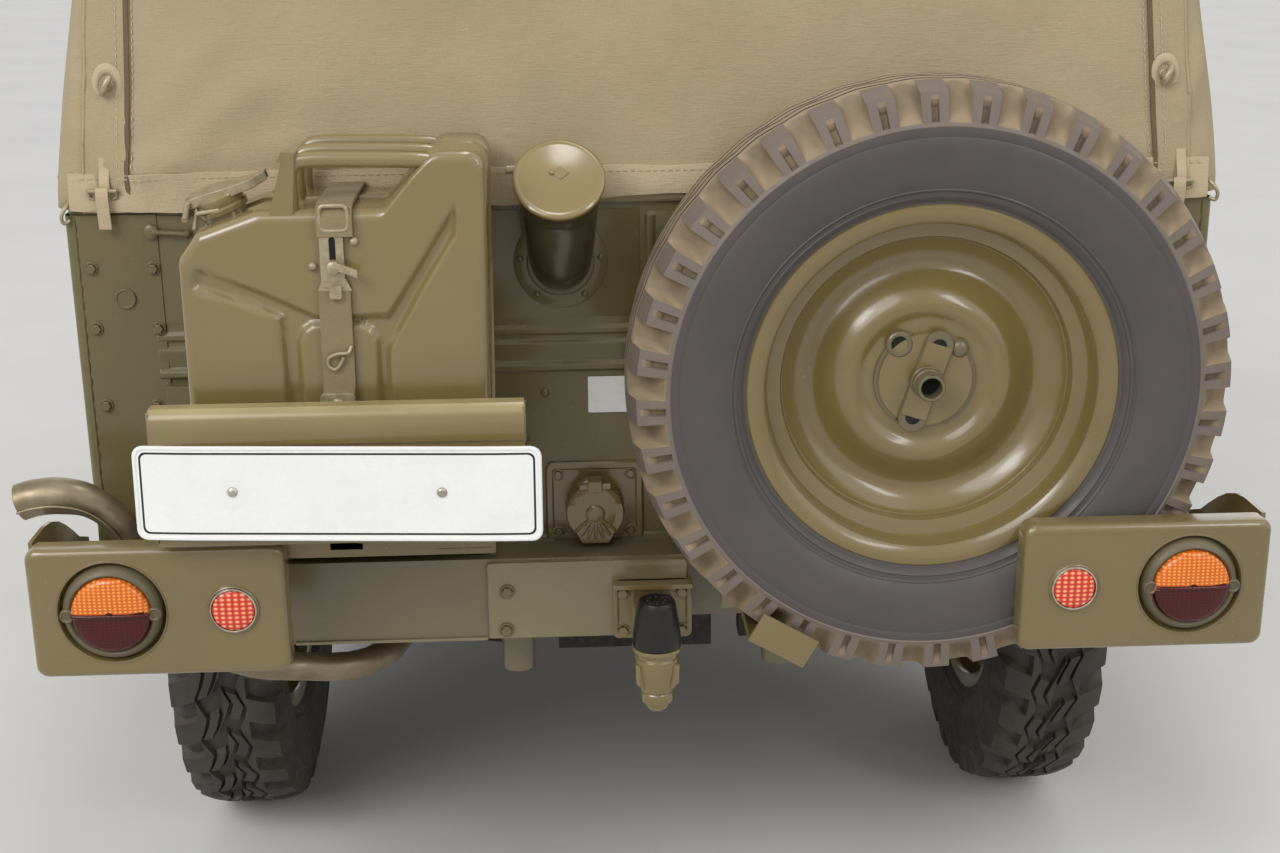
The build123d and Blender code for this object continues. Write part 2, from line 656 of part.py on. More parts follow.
def top_outline(inset, y_front):
    """Side view of the top: rear curtain, corner, roof down to the windscreen."""
    low = HEM_Z if inset == 0 else HEM_Z - 60
    rear, corner = CURTAIN_TOP
    top = ROOF_Z - inset
    return [(HEM_REAR + inset, low), (HEM_REAR + inset, HEM_TOP_Z), (rear + inset, corner),
            (rear + 28 + inset * 0.7, corner + 62 - inset * 0.7), (rear + 83, top - 23), (350, top),
            (1000, top - 7), (y_front, top - 23), (y_front, low)]


def top_section(inset):
    """Rear view of the top: sides lean in to rounded roof edges."""
    low = HEM_Z if inset == 0 else HEM_Z - 60
    half = HEM_HALF - inset
    roof = ROOF_HALF - inset
    top = ROOF_Z - inset
    return [(-half, low), (-half, HEM_TOP_Z), (-roof, top), (roof, top), (half, HEM_TOP_Z), (half, low)]


def top_solid(inset, y_front):
    body = along_x(top_outline(inset, y_front), -HEM_HALF - 10, HEM_HALF + 10)
    section = along_y(top_section(inset), HEM_REAR - 10, y_front + 10)
    edges = section.edges().filter_by(Axis.Y).group_by(Axis.Z)[-1]
    return body & fillet(edges, ROOF_EDGE_R - inset)


def canvas_top():
    """Canvas top over the bows, open at the doors, with its rear window cut."""
    front = SCREEN_HIGH[0] + 30
    shell = top_solid(0, front) - top_solid(CANVAS, front + 20)
    for _, side in SIDES:
        for rear, ahead, _ in (REAR_DOOR, FRONT_DOOR):
            stop = front + 40 if ahead == FRONT_DOOR[1] else ahead + 1
            shell = shell - block(side * (ROOF_HALF - 140), side * (HEM_HALF + 50), rear - 1, stop,
                                  HEM_Z - 70, DOOR_TOP_Z + DOOR_GAP + 1)
    return shell - block(-WINDOW_HALF, WINDOW_HALF, HEM_REAR - 30, HEM_REAR + 130, *WINDOW_Z)


def rear_pane():
    """Clear rear window in the curtain's cut."""
    lean = (CURTAIN_TOP[0] - HEM_REAR) / (CURTAIN_TOP[1] - HEM_TOP_Z)
    offset = HEM_REAR + (CANVAS - PANE_T) / 2
    points = []
    for z in WINDOW_Z:
        points.append((offset + lean * (z - HEM_TOP_Z), z))
    for z in reversed(WINDOW_Z):
        points.append((offset + PANE_T + lean * (z - HEM_TOP_Z), z))
    return along_x(points, -WINDOW_HALF, WINDOW_HALF)


def half_at(z):
    """Half width of the canvas at a height."""
    return HEM_HALF - (HEM_HALF - ROOF_HALF) * (z - HEM_TOP_Z) / (ROOF_Z - HEM_TOP_Z)


def top_bows():
    """Hoops of bent tube from the belt up under the roof."""
    hoops = []
    # columns: y of the hoop, drop of the roof there
    for y, drop in ((-330, 35), (30, 25), (630, 23)):
        roof = ROOF_Z - drop - BOW_R - BOW_GAP
        low = BODY_HALF - WALL - BOW_R - FIT
        high = half_at(roof) - CANVAS - BOW_R - 24
        points = [(-low, y, BELT_Z - 20), (-high, y, roof), (high, y, roof), (low, y, BELT_Z - 20)]
        hoops.append(pipe(points, BOW_R, 90))
    return Compound(hoops)


# Hinges

def upright_hinge(side, y, z):
    """Vertical hinge at a door's front edge: the body's lug with its pin, and the door's barrel."""
    x = side * (BODY_HALF + DOOR_HINGE_OUT)
    half = HINGE_H / 2
    low = z - half - 7
    high = z - half - 0.5
    lug = block(side * (BODY_HALF - 1), side * (BODY_HALF + 15), y + DOOR_GAP + 1, y + DOOR_GAP + 12, low,
                high)
    lug = lug + block(side * (BODY_HALF + 0.5), side * (BODY_HALF + 15), y + 1, y + DOOR_GAP + 2, low, high)
    lug = lug + rod((x, y, low), (x, y, high), HINGE_R - 1) + rod((x, y, low), (x, y, z + half), HINGE_PIN_R)
    barrel = rod((x, y, z - half), (x, y, z + half), HINGE_R)
    return lug, barrel - rod((x, y, z - half - 1), (x, y, z + half + 1), HINGE_PIN_R + HINGE_CLEAR)


def hood_hinge(side):
    """Hinge along the hood's rear edge: the cowl's lug with its pin, and the hood's barrel."""
    y, z = hood_axis()
    x0 = HOOD_HINGE_X
    x1 = x0 + HINGE_H
    lug = block(side * (x0 - 9), side * (x0 - 0.5), COWL - 1, y - 2, BELT_Z - 15, z)
    lug = lug + rod((side * (x0 - 9), y, z), (side * (x0 - 0.5), y, z), HINGE_R - 1)
    lug = lug + rod((side * (x0 - 9), y, z), (side * x1, y, z), HINGE_PIN_R)
    barrel = rod((side * x0, y, z), (side * x1, y, z), HINGE_R)
    space = rod((side * (x0 - 12), y, z), (side * x0, y, z), HINGE_R + 1)
    bore = rod((side * (x0 - 1), y, z), (side * (x1 + 1), y, z), HINGE_PIN_R + HINGE_CLEAR)
    return lug, barrel, space + bore


# Doors

def door_solids(side, opening, heights, lean_front):
    """Framed canvas door for a body opening, its window cut, and its pane."""
    rear, front, sill = opening
    rear += DOOR_GAP
    front -= DOOR_GAP
    out = BODY_HALF
    high = half_at(DOOR_TOP_Z)
    section = [(side * (out - DOOR_T), sill + DOOR_GAP), (side * out, sill + DOOR_GAP),
               (side * out, BELT_Z), (side * high, DOOR_TOP_Z), (side * (high - DOOR_T), DOOR_TOP_Z),
               (side * (out - DOOR_T), BELT_Z)]
    low_x = min(side * 500, side * 800)
    view = [(rear, sill), (front, sill), (front, BELT_Z), (front - lean_front, DOOR_TOP_Z + 1),
            (rear, DOOR_TOP_Z + 1)]
    door = along_y(section, rear, front) & along_x(view, low_x, low_x + 300)
    low = BELT_Z + DOOR_SILL_BAR
    top = DOOR_TOP_Z - DOOR_BAR
    ahead = front - DOOR_BAR
    window = [(rear + DOOR_BAR, low), (ahead - lean_front * 0.15, low), (ahead - lean_front * 0.9, top),
              (rear + DOOR_BAR, top)]
    hole = along_x(window, low_x, low_x + 300)
    middle = (DOOR_T - PANE_T) / 2
    layer = [(side * (out - middle), BELT_Z), (side * (high - middle), DOOR_TOP_Z),
             (side * (high - middle - PANE_T), DOOR_TOP_Z), (side * (out - middle - PANE_T), BELT_Z)]
    pane = along_y(layer, rear, front) & hole
    door = door - hole
    for z in heights:
        door = door + upright_hinge(side, front, z)[1]
    return door, pane


# Inside

def dashboard():
    """Plain board under the cowl ledge, clear of the doors."""
    top = BELT_Z - 22
    face = COWL - COWL_LEDGE - 60
    back = COWL - FLOOR_T
    board = [(face, top), (back, top), (back, top - 28), (face + 20, top - 93), (face, top - 93)]
    half = BODY_HALF - WALL - DOOR_GAP
    return along_x(board, -half, half)


def steering():
    """Steering wheel on its shaft, and the column that holds it."""
    y, z = WHEEL_CENTRE
    ahead = Vector(0, cos(radians(COLUMN_TILT)), -sin(radians(COLUMN_TILT)))
    centre = Vector(DRIVER_X, from_rear(y), z)
    plane = Plane(origin=centre, x_dir=(1, 0, 0), z_dir=ahead)
    wheel = plane * Torus(STEER_WHEEL_R, 12)
    wheel = wheel + plane * Pos(0, 0, 35) * Cylinder(32, 50)
    for angle in (90, 210, 330):
        spoke = Rot(0, 0, angle) * Pos(STEER_WHEEL_R / 2, 0, 14) * Rot(0, 8, 0) * Box(STEER_WHEEL_R, 26, 8)
        wheel = wheel + plane * spoke
    shaft = extrude(plane.offset(50) * Circle(12), 90)
    length = (COWL - FLOOR_T - y) / cos(radians(COLUMN_TILT)) - 66
    tube = extrude(plane.offset(66) * Circle(21), length) - extrude(plane.offset(65) * Circle(12.3), 90)
    tube = tube & block(DRIVER_X - 60, DRIVER_X + 60, y, COWL - FLOOR_T, FLOOR_Z, z + 85)
    return wheel + shaft, tube


def seats():
    """Front seats, rear bench, and the frames under them."""
    low = SEAT_BASE_Z
    cushion = [(1085, low), (1085, low + 90), (740, low + 80), (665, low + 515), (600, low + 505),
               (655, low + 65), (655, low)]
    places = (DRIVER_X, -DRIVER_X)
    front = Compound([along_x(cushion, x - SEAT_HALF, x + SEAT_HALF) for x in places])
    low = BENCH_BASE_Z
    bench_cushion = [(360, low), (360, low + 90), (10, low + 75), (-60, low + 490), (-125, low + 480),
                     (-80, low + 60), (-80, low)]
    bench = along_x(bench_cushion, -BENCH_HALF, BENCH_HALF)
    frames = []
    # columns: centre, half width, rear edge, front edge, floor, top
    rows = [(x, SEAT_HALF - 20, 680, 1060, FLOOR_Z + FLOOR_T, SEAT_BASE_Z) for x in places]
    rows.append((0, BENCH_HALF - 20, -70, 340, REAR_FLOOR_Z + FLOOR_T, BENCH_BASE_Z))
    for x, half, rear, ahead, floor, top in rows:
        base = block(x - half, x + half, rear, ahead, floor, top)
        frames.append(base - block(x - half + 20, x + half - 20, rear + 20, ahead + 1, floor - 1, top - 20))
    return front, bench, Compound(frames)


def engine_block():
    """Engine ahead of the front axle with its gearbox behind, as one plain block."""
    y = WHEELBASE
    engine = block(-135, 135, y + 60, y + 470, RAIL_Z0 + 5, ENGINE_TOP)
    gearbox = block(-120, 120, y - 480, y + 100, GEARBOX_LOW, RAIL_Z0 + 85)
    reach = RAIL_X - RAIL_W / 2
    for place in (y - 420, y + 240):
        gearbox = gearbox + block(-reach, reach, place, place + 60, RAIL_Z0 + 15, RAIL_Z0 + 65)
    return engine + gearbox


# Rear fittings

def rear_axle_housing():
    return block(-120, 120, -110, 110, GEARBOX_LOW, RAIL_Z0 + RAIL_H - 50)


def spare_carrier():
    """Stem and plate through the spare wheel's hub, and the rest that cradles its tread."""
    hub = SPARE_PLANE - 8
    stem = rod((SPARE_X, BODY_REAR, SPARE_Z), (SPARE_X, hub - 18, SPARE_Z), 16.5)
    stem = stem + rod((SPARE_X, BODY_REAR - 8, SPARE_Z), (SPARE_X, BODY_REAR, SPARE_Z), 110)
    stem = stem + rod((SPARE_X, hub - 8, SPARE_Z), (SPARE_X, hub, SPARE_Z), HUB_COVER_R)
    bar = Pos(SPARE_X, from_rear(hub - 8 - HUB_BAR[1] / 2), SPARE_Z) * Rot(0, HUB_BAR_TURN, 0) * Box(*HUB_BAR)
    stem = stem + bar
    face = SPARE_PLANE - TYRE_WIDTH / 2 - 2
    depth = RAIL_REAR - face
    base = Pos(0, depth / 2, -TYRE_R - 3) * Box(REST_W, depth, 5)
    lip = Pos(0, -2, -TYRE_R + 14) * Box(REST_W, 4, 39)
    rest = Pos(SPARE_X, from_rear(face), SPARE_Z) * Rot(0, REST_ANGLE, 0) * (base + lip)
    return Compound([stem, rest])


def can_carrier():
    """Tray under the can, its bracket, and the strap over it."""
    wide, deep, high = CAN_SIZE
    half = wide / 2
    front = CAN_Y - deep / 2 - FIT
    back = CAN_Y + deep / 2 + FIT
    top = CAN_Z + HANDLE_H + HANDLE_R + FIT + STRAP_T
    hook = CAN_Z + high - 80
    tray = block(CAN_X - half, CAN_X + half, front - STRAP_T, BODY_REAR, CAN_Z - 8, CAN_Z - FIT)
    lip = block(CAN_X - half, CAN_X + half, front - STRAP_T, front, CAN_Z - 1, CAN_Z + 30)
    strap = block(CAN_X - STRAP_HALF, CAN_X + STRAP_HALF, front - STRAP_T, front, CAN_Z - 1, top)
    over = block(CAN_X - STRAP_HALF, CAN_X + STRAP_HALF, front - STRAP_T, back + STRAP_T, top - STRAP_T, top)
    down = block(CAN_X - STRAP_HALF, CAN_X + STRAP_HALF, back, back + STRAP_T, hook, top)
    bracket = block(CAN_X - 60, CAN_X + 60, back, BODY_REAR, hook, hook + 25)
    return tray + lip + strap + over + down + bracket


def groove(x0, z0, x1, z1):
    """Pressed channel in the can's rear face, from its middle and base."""
    width, depth = CAN_GROOVE
    length = sqrt((x1 - x0) ** 2 + (z1 - z0) ** 2)
    nx = (z1 - z0) / length * width / 2
    nz = (x0 - x1) / length * width / 2
    points = [(CAN_X + x0 + nx, CAN_Z + z0 + nz), (CAN_X + x1 + nx, CAN_Z + z1 + nz),
              (CAN_X + x1 - nx, CAN_Z + z1 - nz), (CAN_X + x0 - nx, CAN_Z + z0 - nz)]
    face = CAN_Y - CAN_SIZE[1] / 2
    return along_y(points, face - 1, face + depth)


def jerrycan():
    """Pressed steel can with a raised shoulder, its crossed grooves, three handles and a spout."""
    wide, deep, high = CAN_SIZE
    half = wide / 2
    # columns: x from the can's middle, height above its base
    outline = [(-half, 0), (half, 0), (half, CAN_SHOULDER_H), (half - 40, CAN_SHOULDER_H),
               (half - 62, high + 39), (half - 100, high), (94 - half, high), (26 - half, high - 23),
               (-half, high - 53)]
    can = along_y([(CAN_X + x, CAN_Z + z) for x, z in outline], CAN_Y - deep / 2, CAN_Y + deep / 2)
    can = fillet(can.edges().filter_by(Axis.Y), CAN_CORNER_R)
    # columns: x and height of both ends
    for line in ((-131, 337, -59, 289), (-59, 289, -53, 171), (-53, 171, -135, 74), (139, 375, 63, 277),
                 (63, 277, 56, 171), (56, 171, 133, 74), (19, 277, 63, 277)):
        can = can - groove(*line)
    top = CAN_Z + HANDLE_H
    for y in (CAN_Y - HANDLE_PITCH, CAN_Y, CAN_Y + HANDLE_PITCH):
        start = CAN_X + HANDLE_X
        route = [(start, y, CAN_Z + high - 2), (start, y, top), (CAN_X + half - 40, y, top)]
        can = can + pipe(route, HANDLE_R, 2 * HANDLE_R)
    spout = (CAN_X + 51 - half, CAN_Y - 16, CAN_Z + high - 32)
    return can + rod(spout, (spout[0] - 15, spout[1] - 4, CAN_Z + high + 28), SPOUT_R)


def plate_light_box():
    """Housing above the number plate, its back plate, side arms and the plate's two studs."""
    x0, x1 = PLATE_BOX_X
    low, high = PLATE_BOX_Z
    face = PLATE_BOX_FACE
    box = block(x0, x1, face, face + 32, low, high)
    box = box - block(x0 + 4, x1 - 4, face + 4, face + 28, low - 1, high - 4)
    box = box + block(x0, x1, face + 2, face + 6, low - 116, low + 1)
    for x in (x0, x1 - 5):
        box = box + block(x, x + 5, face + 2, BODY_REAR, low - 111, low - 71)
    for offset in (-PLATE_STUDS, PLATE_STUDS):
        start = face + 3
        end = PLATE_CENTRE[1] + offset * sin(radians(PLATE_YAW)) + 1.9
        x = PLATE_CENTRE[0] + offset
        box = box + rod((x, start, PLATE_CENTRE[2]), (x, end, PLATE_CENTRE[2]), 5)
    return box


def number_plate():
    wide, high, thick = PLATE_SIZE
    place = Pos(PLATE_CENTRE[0], from_rear(PLATE_CENTRE[1]), PLATE_CENTRE[2])
    return place * Rot(PLATE_TILT, 0, PLATE_YAW) * Box(wide, thick, high)


def lamp_boxes():
    """Two open-backed boxes with recessed lamps, each on a side bracket from the body."""
    x0, x1 = LAMP_BOX_X
    z0, z1 = LAMP_BOX_Z
    back = LAMP_BOX_FACE + LAMP_BOX_DEPTH
    box = block(x0, x1, LAMP_BOX_FACE, back, z0, z1)
    box = fillet(box.edges().filter_by(Axis.Y), 14)
    box = box - block(x0 + 4, x1 - 4, LAMP_BOX_FACE + 14, back + 1, z0 + 4, z1 - 4)
    side_wall = [(LAMP_BOX_FACE + 12, z0 + 14), (LAMP_BOX_FACE + 12, z1 - 10), (BODY_REAR + 60, z1 - 10),
                 (BODY_REAR + 60, z1 - 60), (back + 20, z0 + 14)]
    box = box + along_x(side_wall, x1 - 4, x1)
    box = box + block(BODY_HALF, x1 - 1, BODY_REAR + 30, BODY_REAR + 60, z1 - 60, z1 - 10)
    box = box - rod((LENS_X, LAMP_BOX_FACE - 1, LENS_Z), (LENS_X, LAMP_BOX_FACE + 10, LENS_Z), RECESS_R)
    box = box - rod((REFLECTOR_X, LAMP_BOX_FACE - 1, LENS_Z), (REFLECTOR_X, LAMP_BOX_FACE + 5, LENS_Z),
                    REFLECTOR_R + 4)
    return Compound(both(box))


def lamp_lenses():
    lens = rod((LENS_X, LAMP_BOX_FACE - 12, LENS_Z), (LENS_X, LAMP_BOX_FACE + 10, LENS_Z), LENS_R)
    return Compound(both(lens))


def reflectors():
    face = LAMP_BOX_FACE
    disc = rod((REFLECTOR_X, face - 5, LENS_Z), (REFLECTOR_X, face + 5, LENS_Z), REFLECTOR_R)
    return Compound(both(disc))


def lid_plane():
    y, z = LID_CENTRE
    normal = (0, -cos(radians(LID_TILT)), sin(radians(LID_TILT)))
    return Plane(origin=(FILLER_X, from_rear(y), z), x_dir=(1, 0, 0), z_dir=normal)


def filler():
    """Bent neck from the rear panel up to its lid."""
    plane = lid_plane().offset(-LID_T - 1)
    base = Plane(origin=(FILLER_X, from_rear(BODY_REAR), FILLER_Z), x_dir=(1, 0, 0), z_dir=(0, -1, 0))
    middle = Plane(origin=(FILLER_X, from_rear(-585), FILLER_Z + 25), x_dir=(1, 0, 0),
                   z_dir=(0, -cos(radians(30)), sin(radians(30))))
    neck = loft([base.offset(8) * Circle(NECK_R[0]), middle * Circle(NECK_R[1]), plane * Circle(NECK_R[2])])
    ring = extrude(base * Circle(FILLER_R), 8.5)
    return neck + ring


def filler_lid():
    """Lid with its hinge lug at the upper edge."""
    plane = lid_plane().offset(-LID_T)
    lid = extrude(plane * Circle(LID_R), LID_T)
    return fillet(lid.edges(), 3)


def trailer_socket():
    """Round socket under its sprung lid, on a bolted plate."""
    plate = block(SOCKET_X - 60, SOCKET_X + 60, BODY_REAR - 4, BODY_REAR, SOCKET_Z - 49, SOCKET_Z + 58)
    body = rod((SOCKET_X, BODY_REAR - 50, SOCKET_Z), (SOCKET_X, BODY_REAR - 4, SOCKET_Z), 35)
    cap = rod((SOCKET_X, BODY_REAR - 60, SOCKET_Z), (SOCKET_X, BODY_REAR - 50, SOCKET_Z), 38)
    return plate + body + cap


def tow_hitch():
    """Ball coupling under a rubber cap, on its bolted plate."""
    plate = block(-50, 50, BEAM_FACE - 10, BEAM_FACE, BEAM_Z0, BEAM_Z0 + 78)
    arm = block(-20, 20, HITCH_Y, BEAM_FACE - 10, BALL_Z - 83, BALL_Z - 47)
    # columns: radius, height from the ball
    outline = [(0, -124), (11, -124), (11, -110), (20, -106), (26, -84), (28, -62), (22, -56), (22, -47),
               (32, -43), (32, -35), (27, -34), (26, -12), (20, 24), (17, 29), (0, 29)]
    stem = revolve(Plane.XZ * Polygon(*outline, align=None), Axis.Z, 360)
    return plate + arm + Pos(0, from_rear(HITCH_Y), BALL_Z) * stem


def exhaust():
    """Pipe from the gearbox's side, silencer under the floor, and tail pipe round the left rear corner."""
    engine = WHEELBASE - 220
    side = -BODY_HALF
    # columns: x, y from the rear axle, height from the wheel centres
    route = [(-120, engine, 5), (-300, engine, 5), (-300, 470, 15), (-330, 330, 75), (-330, -440, 77),
             (side + 220, -570, 87), (side + 100, -625, 195), (side + 50, -640, 323), (side - 58, -640, 347)]
    return pipe(route, PIPE_R, 36) + rod((-300, 1100, 11), (-300, 620, 13), SILENCER_R)


def mirrors():
    """Round mirrors on stems from the wings."""
    y = COWL + 66
    outer = BODY_HALF + 5
    inner = BODY_HALF - 40
    disc = rod((outer, y - 6, MIRROR_Z), (outer, y + 6, MIRROR_Z), MIRROR_R)
    stem = rod((inner, y, wing_top(y) + 0.8), (inner, y, MIRROR_Z - 80), 7)
    stem = stem + rod((inner, y, MIRROR_Z - 86), (outer - 15, y, MIRROR_Z - 40), 7)
    return Compound(both(disc + stem))


def write(name, shape):
    export_step(Pos(0, 0, TYRE_R) * shape, f"parts/{name}.step")


def main():
    os.makedirs("parts", exist_ok=True)
    parts = {"chassis_frame": chassis_frame(), "front_bumper": front_bumper(), "body_tub": body_tub(),
             "front_wings": front_wings(), "hood": hood(), "headlamps": headlamps()}
    parts["windscreen_frame"], parts["windscreen_glass"] = windscreen()
    parts["canvas_top"] = canvas_top()
    parts["rear_window"] = rear_pane()
    parts["top_bows"] = top_bows()
    for name, side in SIDES:
        for place, opening, heights, lean in (("front", FRONT_DOOR, FRONT_HINGES_Z, 70),
                                              ("rear", REAR_DOOR, REAR_HINGES_Z, 0)):
            door, pane = door_solids(side, opening, heights, lean)
            parts[f"door_{place}_{name}"] = door
            parts[f"door_pane_{place}_{name}"] = pane
    parts["dashboard"] = dashboard()
    parts["steering_wheel"], parts["steering_column"] = steering()
    parts["front_seats"], parts["rear_bench"], parts["seat_frames"] = seats()
    parts["engine_block"] = engine_block()
    parts["front_axle"] = Compound(axle_solids(WHEELBASE, True))
    parts["rear_axle"] = Compound([axle_solids(0, False)[0] + rear_axle_housing()])
    for name, side in SIDES:
        parts[f"knuckle_{name}"] = knuckle_solid(side, WHEELBASE)
        for place, y in AXLES:
            parts[f"rim_{place}_{name}"] = rim_solid(side * WHEEL_X, y, 0, side, True)
            parts[f"tyre_{place}_{name}"] = tyre_solid(side * WHEEL_X, y, 0)
    turn = Pos(SPARE_X, from_rear(SPARE_PLANE), SPARE_Z) * Rot(0, 0, -90)
    parts["spare_rim"] = turn * rim_solid(0, 0, 0, 1, False)
    parts["spare_tyre"] = turn * tyre_solid(0, 0, 0)
    parts["spare_carrier"] = spare_carrier()
    parts["can_carrier"] = can_carrier()
    parts["jerrycan"] = jerrycan()
    parts["plate_light_box"] = plate_light_box()
    parts["number_plate"] = number_plate()
    parts["lamp_boxes"] = lamp_boxes()
    parts["lamp_lenses"] = lamp_lenses()
    parts["reflectors"] = reflectors()
    parts["filler_neck"] = filler()
    parts["filler_lid"] = filler_lid()
    parts["trailer_socket"] = trailer_socket()
    parts["tow_hitch"] = tow_hitch()
    parts["exhaust"] = exhaust()
    parts["mirrors"] = mirrors()
    for name, shape in parts.items():
        write(name, shape)


main()
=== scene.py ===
import bpy
import bmesh
from math import cos, exp, hypot, pi, radians, sin, sqrt
from mathutils import Euler, Matrix, Vector, noise


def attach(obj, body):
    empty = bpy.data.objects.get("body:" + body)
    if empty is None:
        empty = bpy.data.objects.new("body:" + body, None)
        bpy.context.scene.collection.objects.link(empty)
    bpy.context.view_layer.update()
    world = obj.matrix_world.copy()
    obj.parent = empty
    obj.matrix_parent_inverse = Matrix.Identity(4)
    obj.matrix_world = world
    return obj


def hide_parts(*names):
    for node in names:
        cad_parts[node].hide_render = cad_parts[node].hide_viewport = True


# Shapes are written in millimetres: x to the car's right, y ahead of the rear axle, z above the ground.
# Form.piece() turns them into the frame's metres.
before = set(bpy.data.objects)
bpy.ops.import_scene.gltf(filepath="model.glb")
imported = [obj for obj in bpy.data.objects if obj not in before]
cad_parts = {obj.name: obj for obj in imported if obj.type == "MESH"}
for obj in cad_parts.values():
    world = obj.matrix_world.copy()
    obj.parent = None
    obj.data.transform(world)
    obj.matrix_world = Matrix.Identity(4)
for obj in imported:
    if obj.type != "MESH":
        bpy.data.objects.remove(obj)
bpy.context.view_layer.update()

MM = 0.001
REAR_AXLE = -942.5
WHEELBASE = 2000.0
AXLES = (("front", WHEELBASE), ("rear", 0.0))
TYRE_R = 365.0
WHEEL_X = 602.5
BODY_HALF = 700.0
PANEL_Y = -540.0
NOSE_Y = WHEELBASE + 560.0
BEAM_FACE = -607.0
LAMP_FACE = -749.0
BELT = 1060.0
SPARE = (329.0, -632.5, 845.0)
CAN = (-365.0, -633.5, 671.0)
CAN_SIZE = (345.0, 160.0, 430.0)
FILLER = (-106.0, -540.0, 975.0)
SIDES = (("left", -1), ("right", 1))
# Directions
REAR = (0, -1, 0)
AHEAD = (0, 1, 0)
UP = (0, 0, 1)


# Mesh helpers

def car(x, y, z):
    """A place in the frame, in metres, from car coordinates in millimetres."""
    return Vector((x * MM, (y + REAR_AXLE) * MM, z * MM))


def aim(origin, axis, across=(1, 0, 0)):
    """Matrix whose Z is the axis and whose X is nearest to across."""
    z = Vector(axis).normalized()
    x = Vector(across) - z * z.dot(Vector(across))
    if x.length < 1e-6:
        x = z.orthogonal()
    x.normalize()
    matrix = Matrix((x, z.cross(x), z)).transposed().to_4x4()
    matrix.translation = Vector(origin)
    return matrix


def arc(cx, cy, r, start, stop, steps):
    """Points of an arc, angles in degrees."""
    points = []
    for i in range(steps + 1):
        angle = radians(start + (stop - start) * i / steps)
        points.append((cx + r * cos(angle), cy + r * sin(angle)))
    return points


def rounded(x0, x1, z0, z1, r, steps=5):
    """Outline of a rectangle with round corners."""
    return (arc(x1 - r, z1 - r, r, 0, 90, steps) + arc(x0 + r, z1 - r, r, 90, 180, steps)
            + arc(x0 + r, z0 + r, r, 180, 270, steps) + arc(x1 - r, z0 + r, r, 270, 360, steps))


def lerp(a, b, t):
    """Value between two for a share of the way."""
    return a + (b - a) * t


def polar(r, angle, h=0.0):
    """Point at a height along Z and a radius from it, its angle in radians."""
    return Vector((r * cos(angle), r * sin(angle), h))


def dense(outline, pitch, least=1):
    """Points of a closed outline, at most about a pitch apart."""
    out = []
    for i, p in enumerate(outline):
        q = Vector(outline[(i + 1) % len(outline)])
        count = max(least, int((q - Vector(p)).length / pitch))
        out.extend([Vector(p).lerp(q, k / count) for k in range(count)])
    return out


def smooth(a, b, x):
    """0 to 1 with soft ends while x goes from a to b."""
    t = min(max((x - a) / (b - a), 0), 1)
    return t * t * (3 - 2 * t)


def fade(start, stop, run, at):
    """1 along a bead, easing to 0 over a run at both ends."""
    return min(smooth(start, start + run, at), smooth(stop, stop - run, at))


def smooth_path(points, count=8):
    """Catmull-Rom points along a path."""
    pts = [Vector(p) for p in points]
    pts = [pts[0] * 2 - pts[1]] + pts + [pts[-1] * 2 - pts[-2]]
    out = []
    for i in range(1, len(pts) - 2):
        p0, p1, p2, p3 = pts[i - 1:i + 3]
        for k in range(count):
            t = k / count
            out.append(0.5 * (2 * p1 + (p2 - p0) * t + (2 * p0 - 5 * p1 + 4 * p2 - p3) * t * t
                              + (3 * p1 - 3 * p2 + p3 - p0) * t * t * t))
    out.append(pts[-2])
    return out


